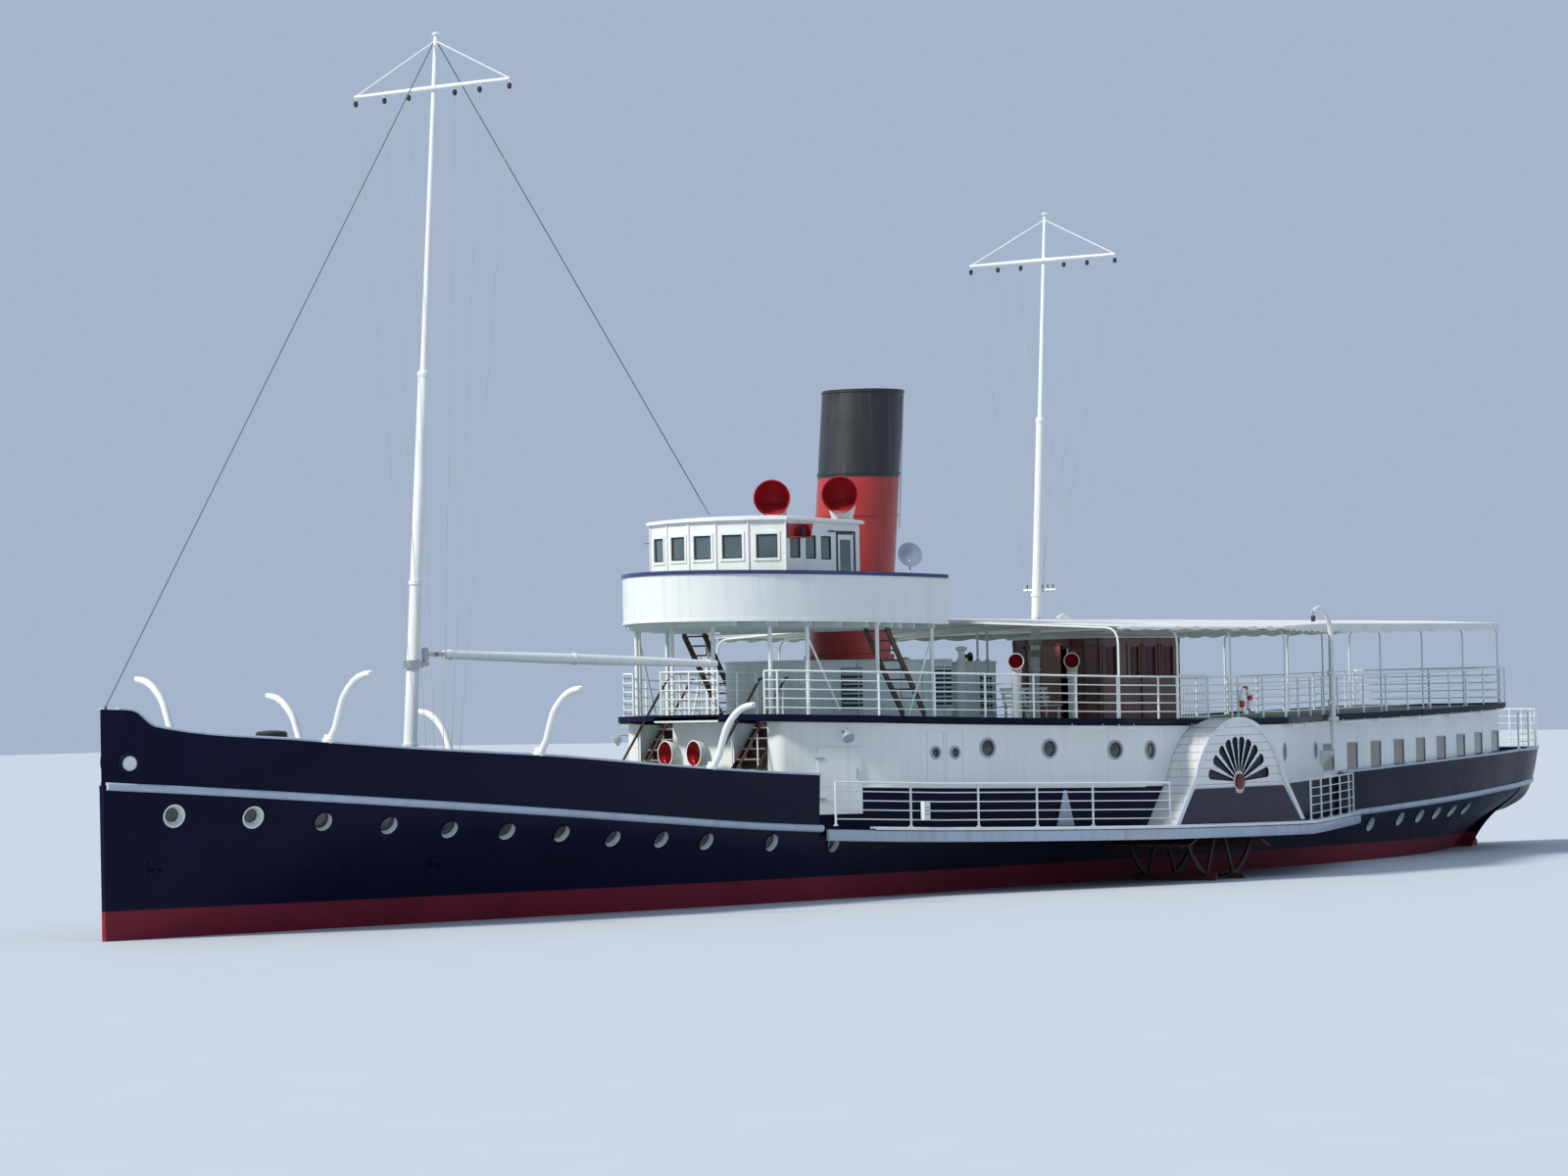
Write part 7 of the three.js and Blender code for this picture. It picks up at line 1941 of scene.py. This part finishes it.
def hem(x, sign):
    """Points down the loose hem at x: it hangs in scallops from its lacing, a little puckered."""
    half = awning_half(x) + EDGE_OUT
    edge = cloth_z(x, half)
    scallop = abs(math.sin(math.pi * x / 0.9))
    drop = edge - across_at(HEM_BY_X, x) + 0.02 - 0.06 * (1 - scallop)
    pucker = 0.018 * math.sin(9 * x) + 0.012 * math.sin(23 * x + 1)
    steps = ((0.02, -0.25), (0.045, -0.6), (0.035, -1.0))
    return [(x, sign * (half + out + pucker * -down), edge + drop * down) for out, down in steps]


rows = []
cloth_xs = sorted({*np.linspace(AWNING_FORE, AWNING_AFT, 170), *AWNING_X[1:-1]}, reverse=True)
girths = []
for x in cloth_xs:
    half = awning_half(x) + EDGE_OUT
    under = [(x, half * s, cloth_z(x, half * s)) for s in SHEET_SHARES]
    hems = hem(x, 1)[::-1], hem(x, -1)
    outside = hems[0] + [(x, y, z + CLOTH) for x, y, z in under] + hems[1]
    behind = [[(x, y - math.copysign(CLOTH, y), z) for x, y, z in part] for part in hems]
    inside = behind[0] + under + behind[1]
    rows.append(outside + inside[::-1])
    girths.append(sum(math.dist(p, q) for p, q in zip(outside, outside[1:])))
awning = Piece()
awning.skin(rows, canvas)
awning = awning.shape("awning_canvas_sheet", 60)
hole = Piece()
hole.bar([main_at(z) for z in (5.6, 7.2)], 0.26, canvas, 16)
carve(awning, hole, 60)
fit(awning, "ship", "canvas", "awning")
sheet_long = (AWNING_FORE - AWNING_AFT) * SHIP
flat = (max(girths) * SHIP, sheet_long)

# Davits. Bent steel tubes, painted white, that turn in a lug of the deck edge and on a shelf of the
# house. Each has two clamped collars, an eye at its head and a block below the eye.
DAVIT_ROUTE = (
    # forward of the stock, height, radius
    (0, 3.063, 0.03), (0, 3.12, 0.04), (0, 3.36, 0.075), (0, 3.9, 0.085), (0, 5.0, 0.08), (0, 6.1, 0.073),
    (0.05, 6.42, 0.07), (0.19, 6.7, 0.066), (0.4, 6.87, 0.062), (0.62, 6.9, 0.056), (0.85, 6.83, 0.05),
)
for side, sign in SIDES:
    davit = Piece()
    y = sign * DAVIT_Y
    route = [(DAVIT_X + ahead, y, z) for ahead, z, r in DAVIT_ROUTE]
    davit.bar(route, [r for ahead, z, r in DAVIT_ROUTE], white_paint, 16)
    for z, half in ((4.35, 0.08), (5.15, 0.07)):
        davit.band(0.086, 0.12, half, moved((DAVIT_X, y, z)), white_paint, 20)
        davit.bar([(DAVIT_X + 0.12, y, z), (DAVIT_X + 0.2, y, z)], 0.03, white_paint, 8)
    davit.band(0.035, 0.06, 0.015, facing((DAVIT_X + 0.9, y, 6.78), (0, 1, 0)), bare_steel, 14)
    block = [(0.04, -0.2), (0.06, -0.17), (0.06, -0.06), (0.04, -0.03)]
    davit.turned(block, moved((DAVIT_X + 0.9, y, 6.72)), block_dark, 12)
    fit(davit.shape("davit_tube_" + side), "davit_" + side, "white_paint", "davit_" + side)

# Capstan. A cast-iron warping capstan on the foredeck, painted black, with whelps up its waist and
# a head for its bars.
CAPSTAN_X = 24.6
WHELPS = 6
WHELP = ((0.255, 0.28), (0.215, 0.55), (0.215, 0.88), (0.27, 1.02))
iron_black = painted("iron_black", (0.02, 0.02, 0.022), (0.12, 0.07, 0.04), 0.2, 0.4, 0.5, 0.3, 0.1)
capstan = Piece()
base = deck_at(CAPSTAN_X + 0.42) + SEAT
profile = [(0.42, 0), (0.42, 0.1), (0.36, 0.13), (0.3, 0.2), (0.24, 0.3), (0.2, 0.55), (0.2, 0.9)]
profile += [(0.26, 1.05), (0.33, 1.15), (0.34, 1.22), (0.34, 1.36), (0.3, 1.4), (0.1, 1.42)]
capstan.turned(profile, moved((CAPSTAN_X, 0, base)), iron_black, 32)
for k in range(WHELPS):
    a = 2 * math.pi * k / WHELPS
    way = Vector((math.cos(a), math.sin(a), 0))
    spine = [Vector((CAPSTAN_X, 0, base + h)) + way * (r + 0.02) for r, h in WHELP]
    capstan.bar(spine, 0.02, iron_black, 6)
fit(capstan.shape("capstan_casting"), "ship", "black_paint", "capstan")

# Deck fittings. A ring lifebuoy on a bracket of each side's rail, slatted seats beside the engine
# casing, vents and a small winch on its lid, and a dish aerial on a pole of the bridge.
extras = Piece()
buoy_red = painted("lifebuoy_red", (0.45, 0.03, 0.02), (0.2, 0.05, 0.04), 0.1, 0.3, 0.5, 0.2)
BUOY_X = -4.45
BUOY_PARTS = 24
SEAT_XS = (-0.1, -1.0, -1.9)
SEAT_FORE, SEAT_AFT = 0.05, -2.05
DISH = (4.98, 2.75)
tube_turn = [2 * math.pi * i / 10 for i in range(10)]
buoy_section = [(0.3 + 0.07 * math.cos(b), 0.07 * math.sin(b)) for b in tube_turn]
for sign in (1, -1):
    y = across_at(PROMENADE, BUOY_X) - RAIL_INSET + 0.14
    place = facing((BUOY_X, sign * y, 4.46), (-0.2, sign * 0.98, 0))
    for k in range(BUOY_PARTS):
        rows = []
        for a in (2 * math.pi * k / BUOY_PARTS, 2 * math.pi * (k + 1) / BUOY_PARTS):
            rows.append([place @ Vector((r * math.cos(a), r * math.sin(a), h)) for r, h in buoy_section])
        extras.skin(rows, buoy_red if k % 6 in (0, 1) else white_paint)
    for x in SEAT_XS:
        z = promenade_at(x) + SEAT
        for y in (1.98, 2.36):
            extras.beam((x, sign * y, z), (x, sign * y, z + 0.4), 0.05, 0.05, white_paint, (1, 0, 0))
        back = (x, sign * 1.88, z + 0.88)
        extras.beam((x, sign * 1.98, z + 0.4), back, 0.05, 0.05, white_paint, (1, 0, 0))
    seat_z = promenade_at(SEAT_XS[0]) + SEAT
    for k in range(5):
        y = sign * (1.98 + 0.095 * k)
        extras.beam((SEAT_FORE, y, seat_z + 0.42), (SEAT_AFT, y, seat_z + 0.42), 0.06, 0.025, white_paint)
    for k in range(4):
        y, z = sign * (1.99 - 0.025 * k), seat_z + 0.52 + 0.11 * k
        extras.beam((SEAT_FORE, y, z), (SEAT_AFT, y, z), 0.025, 0.06, white_paint)
lid_z = casing_top["engine_casing"]
vent = [(0.13, 0), (0.13, 0.05), (0.09, 0.08), (0.09, 0.26), (0.15, 0.29), (0.13, 0.36), (0.03, 0.38)]
extras.turned(vent, moved((0.4, 1.0, lid_z + SEAT)), white_paint, 20)
winch = moved((0.12, 0.95, lid_z + 0.13)) @ Matrix.Rotation(math.radians(90), 4, "X")
drum = [(0.1, -0.14), (0.1, -0.1), (0.05, -0.08), (0.05, 0.08), (0.1, 0.1), (0.1, 0.14)]
extras.turned(drum, winch, block_dark, 16)
for d in (-0.12, 0.12):
    extras.board((0.02, 0.95 + d - 0.02, lid_z + SEAT), (0.22, 0.95 + d + 0.02, lid_z + 0.13), block_dark)
for x, y, tall in ((-0.1, 1.15, 0.72), (-0.6, 1.1, 0.66)):
    foot, head = (x, y, lid_z + SEAT), (x, y, lid_z + tall)
    extras.bar([foot, head], 0.03, casing_grey, 10)
    extras.turned([(0.07, 0), (0.07, 0.02), (0.035, 0.04)], moved(foot), casing_grey, 12)
    extras.turned([(0.031, 0), (0.06, 0.03), (0.03, 0.09)], moved(head), casing_grey, 12)
dish_foot = Vector((*DISH, bridge_at(DISH[0]) + BRIDGE["slab"] + SEAT))
extras.bar([dish_foot, dish_foot + Vector((0, 0, 1.46))], 0.035, white_paint, 10)
extras.turned([(0.08, 0), (0.08, 0.03), (0.04, 0.05)], moved(dish_foot), white_paint, 12)
bowl = [(0.02, -0.06), (0.16, -0.04), (0.3, 0.03), (0.31, 0.045), (0.3, 0.045), (0.15, -0.015)]
bowl += [(0.02, -0.035)]
dish_place = facing(dish_foot + Vector((0, 0, 1.58)), (0.55, 0.75, 0.25))
dish_grey = painted("dish_grey", (0.24, 0.28, 0.36), (0.1, 0.1, 0.12), 0.1, 0.2, 0.5, 0.1)
extras.turned(bowl, dish_place, dish_grey, 32)
extras.bar([dish_foot + Vector((0, 0, 1.44)), dish_place @ Vector((0, 0, -0.05))], 0.03, dish_grey, 8)
fit(extras.shape("deck_fittings"), "ship", "white_paint")

# Studio. A plain pale floor at the waterline, a broad soft light from fine on the starboard bow,
# and a pale cool surround.
SUN_BEARING, SUN_HEIGHT = math.radians(-23), math.radians(42)
FLOOR_HALF = 400
floor = Piece()
studio_floor = painted("studio_floor", (0.55, 0.58, 0.62), (0.5, 0.53, 0.57), 0.01, 0.0, 0.7, 0.0)
floor.board((-FLOOR_HALF, -FLOOR_HALF, -0.5), (FLOOR_HALF, FLOOR_HALF, 0.0), studio_floor)
floor = floor.shape("studio_floor")
sun = bpy.data.objects.new("key_light", bpy.data.lights.new("key_light", "SUN"))
sun.data.energy = 3.6
sun.data.angle = math.radians(9)
sun.data.color = (1.0, 0.97, 0.92)
towards = Vector((math.cos(SUN_BEARING), math.sin(SUN_BEARING), math.tan(SUN_HEIGHT)))
sun.rotation_euler = towards.to_track_quat("Z", "Y").to_euler()
bpy.context.scene.collection.objects.link(sun)
world = bpy.data.worlds.new("studio_surround")
world.use_nodes = True
world.node_tree.nodes["Background"].inputs["Color"].default_value = (0.50, 0.62, 0.80, 1)
world.node_tree.nodes["Background"].inputs["Strength"].default_value = 0.75
bpy.context.scene.world = world
